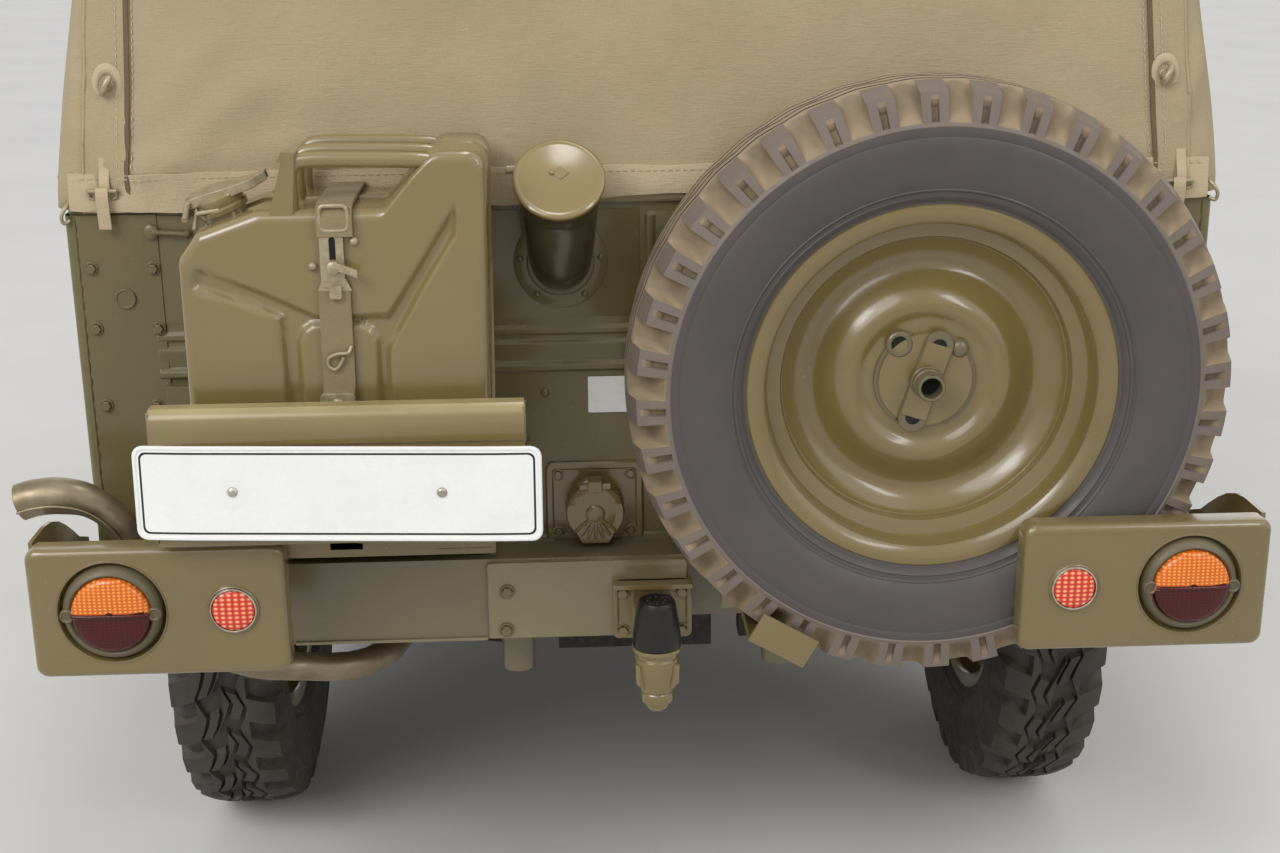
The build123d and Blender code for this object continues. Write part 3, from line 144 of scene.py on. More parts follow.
class Form:
    """Faces gathered into one mesh, in car millimetres."""

    def __init__(self):
        self.bm = bmesh.new()

    def grid(self, rows, around=False, loop=False, mat=0, caps=False):
        """Quads over rows of points. mat is a number or a function of (row, column)."""
        made = []
        for row in rows:
            made.append([self.bm.verts.new(p) for p in row])
        wide = len(rows[0])
        last = len(rows) if loop else len(rows) - 1
        for i in range(last):
            a = made[i]
            b = made[(i + 1) % len(rows)]
            for j in range(wide if around else wide - 1):
                k = (j + 1) % wide
                face = self.bm.faces.new((a[j], a[k], b[k], b[j]))
                face.material_index = mat(i, j) if callable(mat) else mat
        if caps:
            for row in (made[0], made[-1]):
                face = self.bm.faces.new(row)
                face.material_index = 0 if callable(mat) else mat
        return made

    def cup(self, rows, mat=0):
        """Skin over closed rows, with a face on the last."""
        made = self.grid(rows, around=True, mat=mat)
        return self.bm.faces.new(made[-1])

    def lathe(self, outline, place, steps=48, mat=0, closed=False):
        """Outline of (height along the axis, radius) turned about a matrix's Z."""
        rows = []
        for h, r in outline:
            rows.append([place @ polar(r, radians(360.0 * i / steps), h) for i in range(steps)])
        self.grid(rows, around=True, loop=closed, mat=mat)

    def tube(self, points, radius, steps=12, mat=0, caps=True, flat=1.0):
        """Tube along points. radius may be a function of the share along it."""
        pts = [Vector(p) for p in points]
        side = (pts[1] - pts[0]).orthogonal().normalized()
        rows = []
        for i, p in enumerate(pts):
            ahead = pts[min(i + 1, len(pts) - 1)] - pts[max(i - 1, 0)]
            ahead.normalize()
            side = (side - ahead * ahead.dot(side)).normalized()
            up = ahead.cross(side)
            r = radius(i / (len(pts) - 1)) if callable(radius) else radius
            row = []
            for k in range(steps):
                angle = 2 * pi * k / steps
                row.append(p + side * (r * cos(angle)) + up * (r * flat * sin(angle)))
            rows.append(row)
        self.grid(rows, around=True, mat=mat, caps=caps)

    def hose(self, points, count, radius, steps, mat=0):
        """Tube along a smooth path through a few points."""
        self.tube(smooth_path(points, count), radius, steps, mat)

    def ring(self, points, radius, steps):
        """Tube round a closed path."""
        self.tube(points + points[:2], radius, steps, caps=False)

    def strip(self, points, across, width, thick, mat=0):
        """Flat band along points, with its width along across."""
        pts = [Vector(p) for p in points]
        wide = Vector(across).normalized() * (width / 2)
        rows = []
        for i, p in enumerate(pts):
            ahead = pts[min(i + 1, len(pts) - 1)] - pts[max(i - 1, 0)]
            out = ahead.cross(wide).normalized() * (thick / 2)
            rows.append([p - wide - out, p + wide - out, p + wide + out, p - wide + out])
        self.grid(rows, around=True, mat=mat, caps=True)

    def prism(self, outline, place, height):
        """Outline of (x, y) in a matrix's plane, raised along its Z."""
        rows = []
        for h in (0, height):
            rows.append([place @ Vector((x, y, h)) for x, y in outline])
        self.grid(rows, around=True, caps=True)

    def box(self, x0, x1, y0, y1, z0, z1, mat=0, turn=None):
        """Box between two corners, or about a matrix's origin."""
        place = turn if turn is not None else Matrix()
        rows = []
        for z in (z0, z1):
            rows.append([place @ Vector(p) for p in ((x0, y0, z), (x1, y0, z), (x1, y1, z), (x0, y1, z))])
        self.grid(rows, around=True, mat=mat, caps=True)

    def bolt(self, origin, axis=REAR, r=7.0, h=5.0):
        """Hexagon head with a chamfer, on its washer."""
        place = aim(origin, axis)
        washer = r * 1.35
        self.lathe([(0, 0.01), (0, washer), (1.4, washer), (1.6, washer - 0.5), (1.6, r)], place, 20)
        self.lathe([(1.5, r), (h, r), (h + 0.8, r * 0.86), (h + 0.8, 0.01)], place, 6)

    def dome(self, origin, axis=REAR, r=5.0, h=3.0, steps=16):
        """Round head, such as a rivet or screw."""
        outline = [(0, r)]
        for i in range(1, 5):
            angle = radians(90 * i / 5)
            outline.append((h * sin(angle), r * cos(angle)))
        self.lathe(outline + [(h, 0.01)], aim(origin, axis), steps)

    def piece(self, name, mats, slot, replaces=None, body="root", bevel=0.0, angle=35, thick=0.0, weld=True):
        """Finish the mesh as an object that rides on a body, in place of a CAD node if one is named."""
        if weld:
            bmesh.ops.remove_doubles(self.bm, verts=self.bm.verts, dist=0.02)
            bmesh.ops.dissolve_degenerate(self.bm, edges=self.bm.edges, dist=0.001)
            bmesh.ops.recalc_face_normals(self.bm, faces=self.bm.faces)
        for vert in self.bm.verts:
            vert.co = car(*vert.co)
        for face in self.bm.faces:
            face.smooth = True
        mesh = bpy.data.meshes.new(name)
        self.bm.to_mesh(mesh)
        self.bm.free()
        obj = bpy.data.objects.new(name, mesh)
        bpy.context.scene.collection.objects.link(obj)
        for mat in mats if isinstance(mats, (list, tuple)) else [mats]:
            mesh.materials.append(mat)
        mesh.set_sharp_from_angle(angle=radians(angle))
        if thick:
            mod = obj.modifiers.new("thick", "SOLIDIFY")
            mod.thickness = thick * MM
            mod.offset = 0
        if bevel:
            mod = obj.modifiers.new("edges", "BEVEL")
            mod.width = bevel * MM
            mod.segments = 2
            mod.limit_method = "ANGLE"
            mod.angle_limit = radians(40)
            mod.harden_normals = True
        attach(obj, body)
        if replaces:
            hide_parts(replaces)
        return obj


# Materials

class Finish:
    """A node material, built up from its shader."""

    def __init__(self, name, rough=0.5, metal=0.0, **settings):
        self.mat = bpy.data.materials.new(name)
        self.mat.use_nodes = True
        self.tree = self.mat.node_tree
        self.shader = self.tree.nodes["Principled BSDF"]
        self.shader.inputs["Roughness"].default_value = rough
        self.shader.inputs["Metallic"].default_value = metal
        for key, value in settings.items():
            self.shader.inputs[key.replace("_", " ")].default_value = value
        self.place = self.tree.nodes.new("ShaderNodeTexCoord").outputs["Object"]

    def feed(self, inlet, value):
        """Link an inlet to a socket, or give it a plain value."""
        if isinstance(value, bpy.types.NodeSocket):
            self.tree.links.new(value, inlet)
        else:
            inlet.default_value = value

    def node(self, kind, inputs=None, **settings):
        """New node with its settings, its inlets fed by name."""
        made = self.tree.nodes.new("ShaderNode" + kind)
        for key, value in settings.items():
            setattr(made, key, value)
        for key, value in (inputs or {}).items():
            self.feed(made.inputs[key], value)
        return made

    def noise(self, scale, detail=3.0, rough=0.55, stretch=None):
        """Noise about 0 to 1, in metres of the object, stretched along an axis if asked."""
        place = self.place
        if stretch:
            place = self.node("Mapping", {"Vector": place, "Scale": stretch}).outputs["Vector"]
        return self.node("TexNoise", {"Vector": place, "Scale": scale, "Detail": detail,
                                      "Roughness": rough}).outputs["Fac"]

    def ramp(self, fac, low, high, a=0.0, b=1.0):
        """Value from a to b while the factor goes from low to high."""
        made = self.node("MapRange", {"Value": fac, "From Min": low, "From Max": high,
                                      "To Min": a, "To Max": b})
        return made.outputs["Result"]

    def math(self, operation, a, b=0.0):
        return self.node("Math", {0: a, 1: b}, operation=operation).outputs[0]

    def mix(self, fac, a, b):
        """Colour between two, each of them plain or a socket."""
        made = self.node("Mix", data_type="RGBA")
        self.feed(made.inputs[0], fac)
        for key, value in ((6, a), (7, b)):
            self.feed(made.inputs[key], (*value, 1.0) if isinstance(value, tuple) else value)
        return made.outputs[2]

    def up(self):
        """How far the surface faces up, 0 to 1."""
        normal = self.node("NewGeometry").outputs["Normal"]
        z = self.node("SeparateXYZ", {"Vector": normal}).outputs["Z"]
        return self.ramp(z, 0.15, 0.95)

    def colour(self, socket):
        self.feed(self.shader.inputs["Base Color"], socket)

    def roughness(self, socket):
        self.feed(self.shader.inputs["Roughness"], socket)

    def bump(self, height, strength, distance, edges=0.0):
        """Relief from a height, with edges rounded by a radius."""
        inputs = {"Height": height, "Strength": strength, "Distance": distance}
        if edges:
            inputs["Normal"] = self.node("Bevel", {"Radius": edges}, samples=4).outputs["Normal"]
        made = self.node("Bump", inputs)
        self.feed(self.shader.inputs["Normal"], made.outputs["Normal"])


def rgb(r, g, b):
    """Linear colour from the sRGB one that it looks like, 0 to 255."""
    return tuple(((v / 255 + 0.055) / 1.055) ** 2.4 if v > 10 else v / 255 / 12.92 for v in (r, g, b))


def paint(name, base, dust, rough=(0.16, 0.3), dusty=0.16, coat=0.6, edges=0.0015, shine=0.5):
    """Enamel with faint mottling, a little dust on what faces up (on the light box also a painted highlight
    on its top), dull rubbed spots and orange peel.
    """
    f = Finish(name, Coat_Weight=coat, Coat_Roughness=0.13, Specular_IOR_Level=shine)
    dark = tuple(v * 0.84 for v in base)
    mottled = f.mix(f.ramp(f.noise(2.4, 4), 0.35, 0.7), base, dark)
    speck = f.ramp(f.noise(190, 2), 0.64, 0.74, 0, 0.18)
    settled_dust_and_highlight = f.math("MULTIPLY", f.up(), f.ramp(f.noise(7, 2), 0.3, 0.7, 0.3 * dusty, dusty))
    cover = f.math("MAXIMUM", settled_dust_and_highlight, f.math("MULTIPLY", speck, f.ramp(f.noise(6, 4), 0.45, 0.7)))
    f.colour(f.mix(cover, mottled, dust))
    rubbed = f.ramp(f.noise(11, 2), 0.25, 0.75, rough[0], rough[1])
    f.roughness(f.math("ADD", rubbed, f.math("MULTIPLY", cover, 0.35)))
    f.bump(f.noise(70, 1), 0.03, 0.0015, edges)
    return f.mat


def cloth(name, base, worn, thread=520.0):
    """Woven cotton duck: crossing threads, weathered patches and soft creases."""
    f = Finish(name, rough=0.85, Sheen_Weight=0.1, Specular_IOR_Level=0.2)
    patch = f.ramp(f.noise(3.2, 6, 0.6), 0.3, 0.7)
    grain = f.ramp(f.noise(thread, 2, 0.7), 0.3, 0.7)
    colour = f.mix(patch, base, worn)
    dark = f.mix(0.5, base, tuple(v * 0.55 for v in base))
    f.colour(f.mix(f.ramp(grain, 0, 1, 0.22, 0.0), colour, dark))
    warp = f.noise(thread, 1, 0.5, (1, 1, 0.12))
    weft = f.noise(thread, 1, 0.5, (0.12, 0.12, 1))
    creases = f.math("MULTIPLY", f.noise(11, 3, 0.5), 7.0)
    f.bump(f.math("ADD", f.math("ADD", warp, weft), creases), 0.5, 0.0012)
    return f.mat


def rubber(name, base, dust, dusty=0.3, rough=0.62, grain=700.0):
    """Rubber with dust caught in patches and on what faces up."""
    f = Finish(name, rough=rough, Specular_IOR_Level=0.4)
    cover = f.ramp(f.noise(11, 6, 0.6), 0.35, 0.8, 0, dusty)
    top = f.math("MULTIPLY", f.up(), dusty)
    f.colour(f.mix(f.math("MAXIMUM", cover, top), base, dust))
    f.roughness(f.ramp(f.noise(60, 3), 0.3, 0.7, rough - 0.08, rough + 0.12))
    f.bump(f.noise(grain, 3, 0.6), 0.2, 0.0005)
    return f.mat


def metal(name, base, rough=(0.25, 0.45), stain=None, metallic=1.0, grain=90.0):
    """Bare or thinly coated metal with stains."""
    f = Finish(name, metal=metallic)
    stained = stain or tuple(v * 0.5 for v in base)
    f.colour(f.mix(f.ramp(f.noise(grain, 5, 0.6), 0.4, 0.7, 0, 0.6), base, stained))
    f.roughness(f.ramp(f.noise(grain * 1.7, 4), 0.3, 0.7, *rough))
    f.bump(f.noise(600, 2), 0.12, 0.0005, 0.001)
    return f.mat


def plastic(name, base, rough=0.4, grain=500.0, strength=0.15, shade=0.8, **settings):
    """Plain moulded or enamelled surface with a fine grain."""
    f = Finish(name, rough=rough, **settings)
    f.colour(f.mix(f.ramp(f.noise(22, 4), 0.3, 0.7), base, tuple(v * shade for v in base)))
    f.roughness(f.ramp(f.noise(40, 3), 0.3, 0.7, rough - 0.08, rough + 0.12))
    f.bump(f.noise(grain, 2), strength, 0.0005)
    return f.mat


def lens(name, base, pitch=480.0, cell_highlight=None, **settings):
    """Moulded lens: a field of small cells under a glossy skin, with a painted highlight in their middles
    when a highlight colour is given, else painted shade at their edges.
    """
    f = Finish(name, rough=0.2, Coat_Weight=0.3, Coat_Roughness=0.05, **settings)
    parts = f.node("SeparateXYZ", {"Vector": f.place}).outputs
    across = f.math("MULTIPLY", parts["X"], 0.7)
    face = f.node("CombineXYZ", {"X": across, "Y": parts["Z"]}).outputs["Vector"]
    cells = f.node("TexVoronoi", {"Vector": face, "Scale": pitch, "Randomness": 0.0},
                   voronoi_dimensions="2D").outputs["Distance"]
    # Painted light: from each cell's middle to its edge the colour goes from the highlight colour to the
    # base, or from the base to a painted shade of it
    middle = f.ramp(cells, 0.1, 0.42)
    f.colour(f.mix(middle, cell_highlight or base, base if cell_highlight else tuple(v * 0.55 for v in base)))
    f.bump(cells, 0.5, 0.001)
    return f.mat


def clear(name, tint, rough, dirt):
    """Thin clear sheet or glass, with haze and dust."""
    f = Finish(name, rough=rough, Transmission_Weight=1.0, IOR=1.1)
    haze = f.ramp(f.noise(7, 5), 0.4, 0.75, 0, dirt)
    f.colour(f.mix(haze, tint, rgb(190, 182, 160)))
    f.roughness(f.ramp(f.noise(24, 4), 0.3, 0.7, rough, rough + 0.14))
    f.bump(f.noise(5, 2), 0.15, 0.004)
    return f.mat


OLIVE = rgb(121, 104, 60)
DUST = rgb(185, 166, 127)
olive = paint("olive_enamel", OLIVE, DUST)
frame_paint = paint("frame_enamel", rgb(114, 104, 76), DUST, (0.26, 0.4), 0.25, 0.3, 0.0)
olive_dull = paint("olive_chassis", rgb(90, 82, 58), DUST, (0.36, 0.56), 0.3, 0.1, 0.0)
panel = paint("panel_enamel", rgb(113, 103, 68), rgb(156, 144, 116), (0.2, 0.32), 0.12, 0.3, 0.0015, 0.3)
beam_paint = paint("beam_enamel", rgb(130, 118, 84), rgb(172, 158, 126), (0.2, 0.34), 0.2, 0.5)
can_paint = paint("can_enamel", rgb(130, 113, 70), DUST, (0.15, 0.26), 0.16, 0.65)
# The light box's pale dust, laid heavily on what faces up, is partly dust and partly a painted highlight on
# its top
box_paint = paint("light_box_enamel", rgb(132, 115, 71), rgb(214, 196, 142), (0.14, 0.24), 0.55, 0.7)
clamp_paint = paint("clamp_enamel", rgb(104, 94, 66), DUST, (0.26, 0.4), 0.1, 0.35)
neck_paint = paint("neck_enamel", rgb(66, 58, 42), rgb(110, 99, 76), (0.2, 0.32), 0.1, 0.5, 0.0)
lid_paint = paint("lid_enamel", rgb(138, 118, 67), DUST, (0.14, 0.24), 0.1, 0.8)
canvas = cloth("canvas_duck", rgb(163, 146, 115), rgb(178, 161, 130))
# Lighter copy of the canvas for the hem, bands, straps, eyelets and front roll: its extra lightness is a
# painted highlight
canvas_band_painted_light = cloth("canvas_hem", rgb(184, 166, 134), rgb(196, 178, 146))
canvas_dark = cloth("canvas_edge", rgb(95, 80, 58), rgb(120, 103, 77))
stitch = cloth("stitching", rgb(188, 172, 138), rgb(202, 186, 152), 900)
seat_cloth = cloth("seat_duck", rgb(99, 95, 67), rgb(120, 114, 84), 420)
webbing = cloth("webbing", rgb(125, 112, 82), rgb(150, 135, 101), 800)
tyre = rubber("tyre_rubber_road", rgb(52, 48, 45), rgb(112, 101, 84), 0.3)
spare_side = rubber("tyre_rubber_spare", rgb(77, 72, 70), rgb(120, 111, 101), 0.12, 0.4, 300)
spare_lug = rubber("tyre_lug_spare", rgb(110, 100, 92), rgb(142, 129, 114), 0.35, 0.5)
spare_dust = rubber("tyre_dust_spare", rgb(118, 104, 84), rgb(172, 152, 122), 0.75, 0.8)
black = rubber("black_rubber_moulded", rgb(28, 27, 26), rgb(103, 95, 82), 0.18, 0.5)
cap_black = rubber("ball_cap_rubber", rgb(24, 19, 18), rgb(64, 56, 49), 0.04, 0.3)
black_steel = metal("black_steel", rgb(41, 40, 38), (0.4, 0.6), rgb(75, 64, 52), 0.6)
iron = metal("cast_iron", rgb(99, 88, 75), (0.5, 0.7), rgb(129, 86, 56), 0.7)
steel = metal("bare_steel", rgb(189, 183, 172), (0.25, 0.45), rgb(129, 112, 90))
pipe_steel = metal("exhaust_pipe", rgb(142, 130, 105), (0.3, 0.5), rgb(103, 84, 62), 0.6, 30)
worn_steel = metal("painted_steel_worn", rgb(170, 157, 127), (0.3, 0.5), rgb(120, 105, 75), 0.35)
chrome = metal("lamp_chrome_ring", rgb(230, 228, 221), (0.08, 0.2), rgb(183, 181, 172))
mirror_glass = metal("mirror_silver", rgb(226, 228, 230), (0.02, 0.06), rgb(206, 208, 210), 1.0, 12)
# The fourth colours are painted highlights in the cells' middles; the red lens, given none, gets painted
# shade at its cell edges
amber = lens("lens_amber", rgb(216, 96, 18), 250, rgb(250, 176, 72), Specular_IOR_Level=0.4)
red = lens("lens_red", rgb(84, 8, 5), 260, Specular_IOR_Level=0.25)
red_cells = lens("reflector_cells", rgb(206, 34, 18), 180, rgb(255, 190, 130))
glass = clear("window_glass", rgb(244, 248, 246), 0.02, 0.04)
lamp_glass = clear("lamp_glass", rgb(246, 248, 250), 0.03, 0.05)
radiator = metal("radiator_core", rgb(52, 50, 46), (0.45, 0.65), rgb(24, 23, 22), 0.7, 420)
clear_film = clear("window_film", rgb(226, 222, 200), 0.12, 0.25)
white = plastic("plate_enamel", rgb(238, 238, 234), 0.25, 300, 0.03, 0.95)
ink = plastic("plate_border", rgb(24, 24, 24), 0.4)
bakelite = plastic("wheel_bakelite", rgb(22, 21, 20), 0.22, 200, 0.04)
dial = plastic("dial_face", rgb(18, 18, 18), 0.35)
hole_dark = rubber("shadowed_inside", rgb(14, 13, 12), rgb(30, 27, 24), 0.1, 0.8)


# Canvas

HEM = 1049.0
EAVE = 1712.0
RIDGE = 1735.0
HEM_HALF = 706.0
ROOF_HALF = 590.0
CURTAIN_REAR = -545.0
# Height from which the curtain leans forward
CURTAIN_FOOT = 1069.0
CURTAIN_LEAN = 78.0 / 541.0
# Height from which the canvas rounds into the roof, and how far the sides and the rear come in there
SHOULDER = 1650.0
SIDE_IN = 62.0
REAR_IN = 95.0
# How far the roof drops at this distance from its middle
CROWN = 7.0
CROWN_HALF = 530.0
TOP_FRONT = 1247.0
DOOR_HEAD = 1606.0
DOORS_Y = ((60.0, 610.0), (650.0, 1280.0))
WINDOW = (-330.0, 330.0, 1340.0, 1540.0)
BOWS_Y = (-330.0, 30.0, 630.0)


def roof_height(y):
    """Height of the roof's middle: it drops to the windscreen and to the rear edge, and sags between bows."""
    z = RIDGE - 23 * smooth(1000, TOP_FRONT + 60, y) - 23 * smooth(350, -430, y)
    stops = (-440.0,) + BOWS_Y + (1217.0,)
    for a, b in zip(stops, stops[1:]):
        if a < y < b:
            z -= 9 * sin(pi * (y - a) / (b - a)) ** 0.8
    return z


def crown(x):
    """How far the roof lies below its middle."""
    return CROWN * (x / CROWN_HALF) ** 2


# Creases of the curtain: x and z of both ends, half width, height
FOLDS = ((-606, 1098, -470, 1190, 24, 13), (-600, 1150, -500, 1240, 20, 9), (-600, 1092, -400, 1120, 20, 9),
         (-690, 1230, -640, 1130, 12, 7), (-660, 1120, -690, 1180, 12, 7), (-650, 1240, -672, 1330, 12, 6),
         (-688, 1150, -664, 1098, 9, 6), (-676, 1300, -690, 1210, 9, 5), (-560, 1096, -520, 1135, 12, 6),
         (690, 1230, 640, 1120, 13, 7), (600, 1100, 470, 1170, 24, 9), (655, 1150, 690, 1240, 12, 6),
         (-420, 1090, -300, 1130, 30, 3), (-60, 1085, 60, 1110, 32, 3), (250, 1085, 420, 1124, 30, 3),
         (-560, 1590, -380, 1480, 34, 4), (560, 1590, 400, 1470, 34, 4), (-320, 1320, -40, 1300, 34, 3),
         (40, 1302, 330, 1322, 34, 3))


def crease(x, z):
    """Outward push of the curtain at a place."""
    push = -5.0 * (1 - smooth(0, 0.95, abs(x) / 640)) * sin(pi * min(max((z - HEM) / 560, 0), 1))
    for x0, z0, x1, z1, wide, high in FOLDS:
        along = Vector((x1 - x0, z1 - z0))
        t = min(max(Vector((x - x0, z - z0)).dot(along) / along.length_squared, 0), 1)
        gap = hypot(x - x0 - along.x * t, z - z0 - along.y * t)
        push += high * exp(-(gap / wide) ** 2) * (1 - 0.6 * t)
    push += (3.0 * noise.noise(Vector((x / 130, z / 190, 3.0)))
             + 1.2 * noise.noise(Vector((x / 45, z / 70, 7.0))))
    return push


def spread(*stops, pitch=16.0):
    """Evenly spread values that include every stop."""
    out = [stops[0]]
    for a, b in zip(stops, stops[1:]):
        count = max(1, round(abs(b - a) / pitch))
        for i in range(1, count + 1):
            out.append(lerp(a, b, i / count))
    return out


def wall_at(q):
    """Side half width, rear y and bulge of the loose rear corner for a share up the wall."""
    z = HEM + q * (EAVE - HEM)
    bulge = (HEM_HALF - ROOF_HALF) * (q - q ** 1.5) + 5 * (1 - q) ** 6
    lean = CURTAIN_LEAN * max(z - CURTAIN_FOOT, 0)
    return HEM_HALF - (HEM_HALF - ROOF_HALF) * q, CURTAIN_REAR + lean, bulge


def canvas_shell():
    """One sheet round the sides and rear and over the roof, cut at the doors and the rear window."""
    form = Form()
    corner = 34.0
    levels = [(z - HEM) / (EAVE - HEM) for z in spread(HEM, 1069, WINDOW[2], WINDOW[3], DOOR_HEAD, SHOULDER)]
    rows = [(*wall_at(q)[:2], HEM + q * (EAVE - HEM), 0.0, wall_at(q)[2]) for q in levels]
    x_edge, y_edge = rows[-1][0], rows[-1][1]
    for angle in (18, 36, 54, 72, 90):
        a = radians(angle)
        rows.append((x_edge - SIDE_IN * (1 - cos(a)) - 4, y_edge + REAR_IN * (1 - cos(a)) + 6,
                     SHOULDER + (EAVE - SHOULDER) * sin(a), sin(a) ** 2, rows[len(levels) - 1][4] * cos(a)))
    x_in, y_in = rows[-1][0], rows[-1][1]
    inner = int(x_in / 18)
    for k in range(1, inner + 1):
        t = k / inner
        rows.append((x_in * (1 - t), y_in + x_in * t, EAVE, 1.0, 0.0))
    side_y = spread(TOP_FRONT, 650, 610, 60, CURTAIN_REAR + 120, pitch=17.0)
    rear_x = spread(-1.0, WINDOW[0] / 640, WINDOW[1] / 640, 1.0, pitch=16.0 / 640)
    grid = []
    for half, rear, z, roof, bulge in rows:
        line = []
        r = min(corner, half * 0.5)
        side = []
        for y in side_y:
            side.append((half + bulge * smooth(60, -260, y), y if y > CURTAIN_REAR + 121 else rear + r + 75))
        half += bulge
        for x, y in side:
            line.append((-x, y, -1))
        for i in range(1, 8):
            a = radians(90 * i / 8)
            line.append((-half + r * (1 - cos(a)), rear + r * (1 - sin(a)), -1 if i < 4 else 0))
        for x in rear_x:
            line.append((x * (half - r), rear, 0))
        for i in range(7, 0, -1):
            a = radians(90 * i / 8)
            line.append((half - r * (1 - cos(a)), rear + r * (1 - sin(a)), 1 if i < 4 else 0))
        for x, y in reversed(side):
            line.append((x, y, 1))
        points = []
        for x, y, where in line:
            y = max(y, rear)
            top = lerp(z, z + roof_height(y) - EAVE, max(roof, smooth(DOOR_HEAD, 1690, z)))
            push = crease(x, z) * (1 - smooth(1600, 1700, z)) if where == 0 else 0.0
            wave = 0.0
            if where and y < 60:
                wave = 3.0 * noise.noise(Vector((y / 90, z / 130, 11.0 * where)))
            points.append(Vector((x + where * wave, y - push, top - crown(x) * roof)))
        grid.append(points)
    form.grid(grid)
    cut = []
    for face in form.bm.faces:
        c = face.calc_center_median()
        at_side = abs(c.x) > 560 and c.z < DOOR_HEAD - 2
        if at_side and any(a - 1 < c.y < b + 1 + (60 if b > 1200 else 0) for a, b in DOORS_Y):
            cut.append(face)
        elif c.y < -380 and WINDOW[0] + 3 < c.x < WINDOW[1] - 3 and WINDOW[2] + 1 < c.z < WINDOW[3] - 1:
            cut.append(face)
    bmesh.ops.delete(form.bm, geom=cut, context="FACES")
    obj = form.piece("canvas_top_sheet", canvas, "canvas", "canvas_top", thick=2.0, angle=60)


def curtain_y(x, z, out=0.0):
    """Outer face of the rear curtain at a place."""
    return CURTAIN_REAR + CURTAIN_LEAN * max(z - CURTAIN_FOOT, 0) - crease(x, z) - 1.0 - out


canvas_shell()


# Rear curtain trim

# Width and thickness of a stitch
STITCH = (1.1, 0.9)
# Inner edges and outer seams of the corner flaps: x at the hem and at the top
FLAPS = (((-620, -597), (-675, -636)), ((625, 592), (668, 640)))
# Lower and upper end of the flaps
FLAP_Z = (1046, 1600)


def curtain_trim():
    """Corner flaps with their dark edges, the hem, its stitches and the welt of the rear window."""
    flaps = Form()
    dark = Form()
    for edge, seam in FLAPS:
        side = 1 if edge[0] > 0 else -1
        rows = []
        dark_edge = []
        welt = []
        for k in range(28):
            z = lerp(*FLAP_Z, k / 27)
            near, far = lerp(*edge, k / 27), lerp(*seam, k / 27)
            rows.append([Vector((x, curtain_y(x, z, out), z)) for x, out in
                         ((near, -0.5), (near, 3.4), (lerp(near, far, 0.3), 4.4), (lerp(near, far, 0.7), 3.6),
                          (far, 1.4), (far, -0.5))])
            # A dark strip along the flap's inner edge
            dark_edge.append([Vector((near + dx, curtain_y(near + dx, z, out), z)) for dx, out in
                            ((-3, -0.5), (-3, 4.0), (2.5, 4.4), (2.5, -0.5))])
            welt.append((far - side, curtain_y(far, z, 1.0), z))
        flaps.grid(rows, around=True, caps=True)
        dark.grid(dark_edge, around=True, caps=True)
        for ends in zip(welt, welt[1:]):
            flaps.tube(ends, 2.2, 6)
    flaps.piece("canvas_corner_flaps", canvas, "canvas", angle=50)
    dark.piece("canvas_flap_dark_edges", canvas_dark, "canvas")

    hem = Form()
    rows = []
    for k in range(121):
        x = lerp(-690, 690, k / 120)
        low = 1054 - 7 * abs(x / 690) ** 3 + 5 * sin((x + 60) / 62) + 3 * noise.noise(Vector((x / 50, 2, 5)))
        high = 1093 + 1.5 * noise.noise(Vector((x / 60, 9, 1)))
        rows.append([Vector((x, curtain_y(x, z, out), z)) for z, out in
                     ((high, -0.5), (high - 0.5, 3.0), (low + 10, 5.4), (low, 4.8), (low - 1, 1.5),
                      (low + 2, -0.8), (1062, -1.2))])
    hem.grid(rows, around=True, caps=True)
    hem.piece("canvas_hem_band", canvas_band_painted_light, "canvas", angle=50)

    thread = Form()
    x = -676
    while x < 676:
        thread.strip([(u, curtain_y(u, 1087, 4.4), 1087) for u in (x, x + 5)], UP, *STITCH)
        x += 9
    for low, high in ((-614, -590), (617, 583), (-632, -609), (637, 605)):
        z = 1100
        while z < 1595:
            x = lerp(low, high, (z - 1048) / 552)
            edge = FLAPS[0 if x < 0 else 1][0]
            at_edge = lerp(*edge, (z - FLAP_Z[0]) / (FLAP_Z[1] - FLAP_Z[0]))
            out = 1.2 if abs(x) < abs(at_edge) else 4.8
            thread.strip([(x, curtain_y(x, v, out), v) for v in (z, z + 5)], (1, 0, 0), *STITCH)
            z += 9
    thread.piece("canvas_stitches", stitch, "canvas", weld=False)

    window_welt = Form()
    x0, x1, z0, z1 = WINDOW
    outline = rounded(x0 - 8, x1 + 8, z0 - 8, z1 + 8, 22)
    path = []
    for i, (x, z) in enumerate(outline):
        nx, nz = outline[(i + 1) % len(outline)]
        for k in range(6):
            path.append((lerp(x, nx, k / 6), lerp(z, nz, k / 6)))
    rows = []
    for x, z in path:
        centre_x = min(max(x, x0 + 20), x1 - 20)
        centre_z = min(max(z, z0 + 20), z1 - 20)
        inward = Vector((centre_x - x, 0, centre_z - z)).normalized()
        row = []
        for shift, out in ((-16, 0), (-14, 3), (12, 3), (14, 0)):
            p = Vector((x, 0, z)) + inward * shift
            row.append(Vector((p.x, curtain_y(p.x, p.z, out), p.z)))
        rows.append(row)
    window_welt.grid(rows, around=True, loop=True)
    window_welt.piece("rear_window_welt", canvas, "canvas", angle=50)


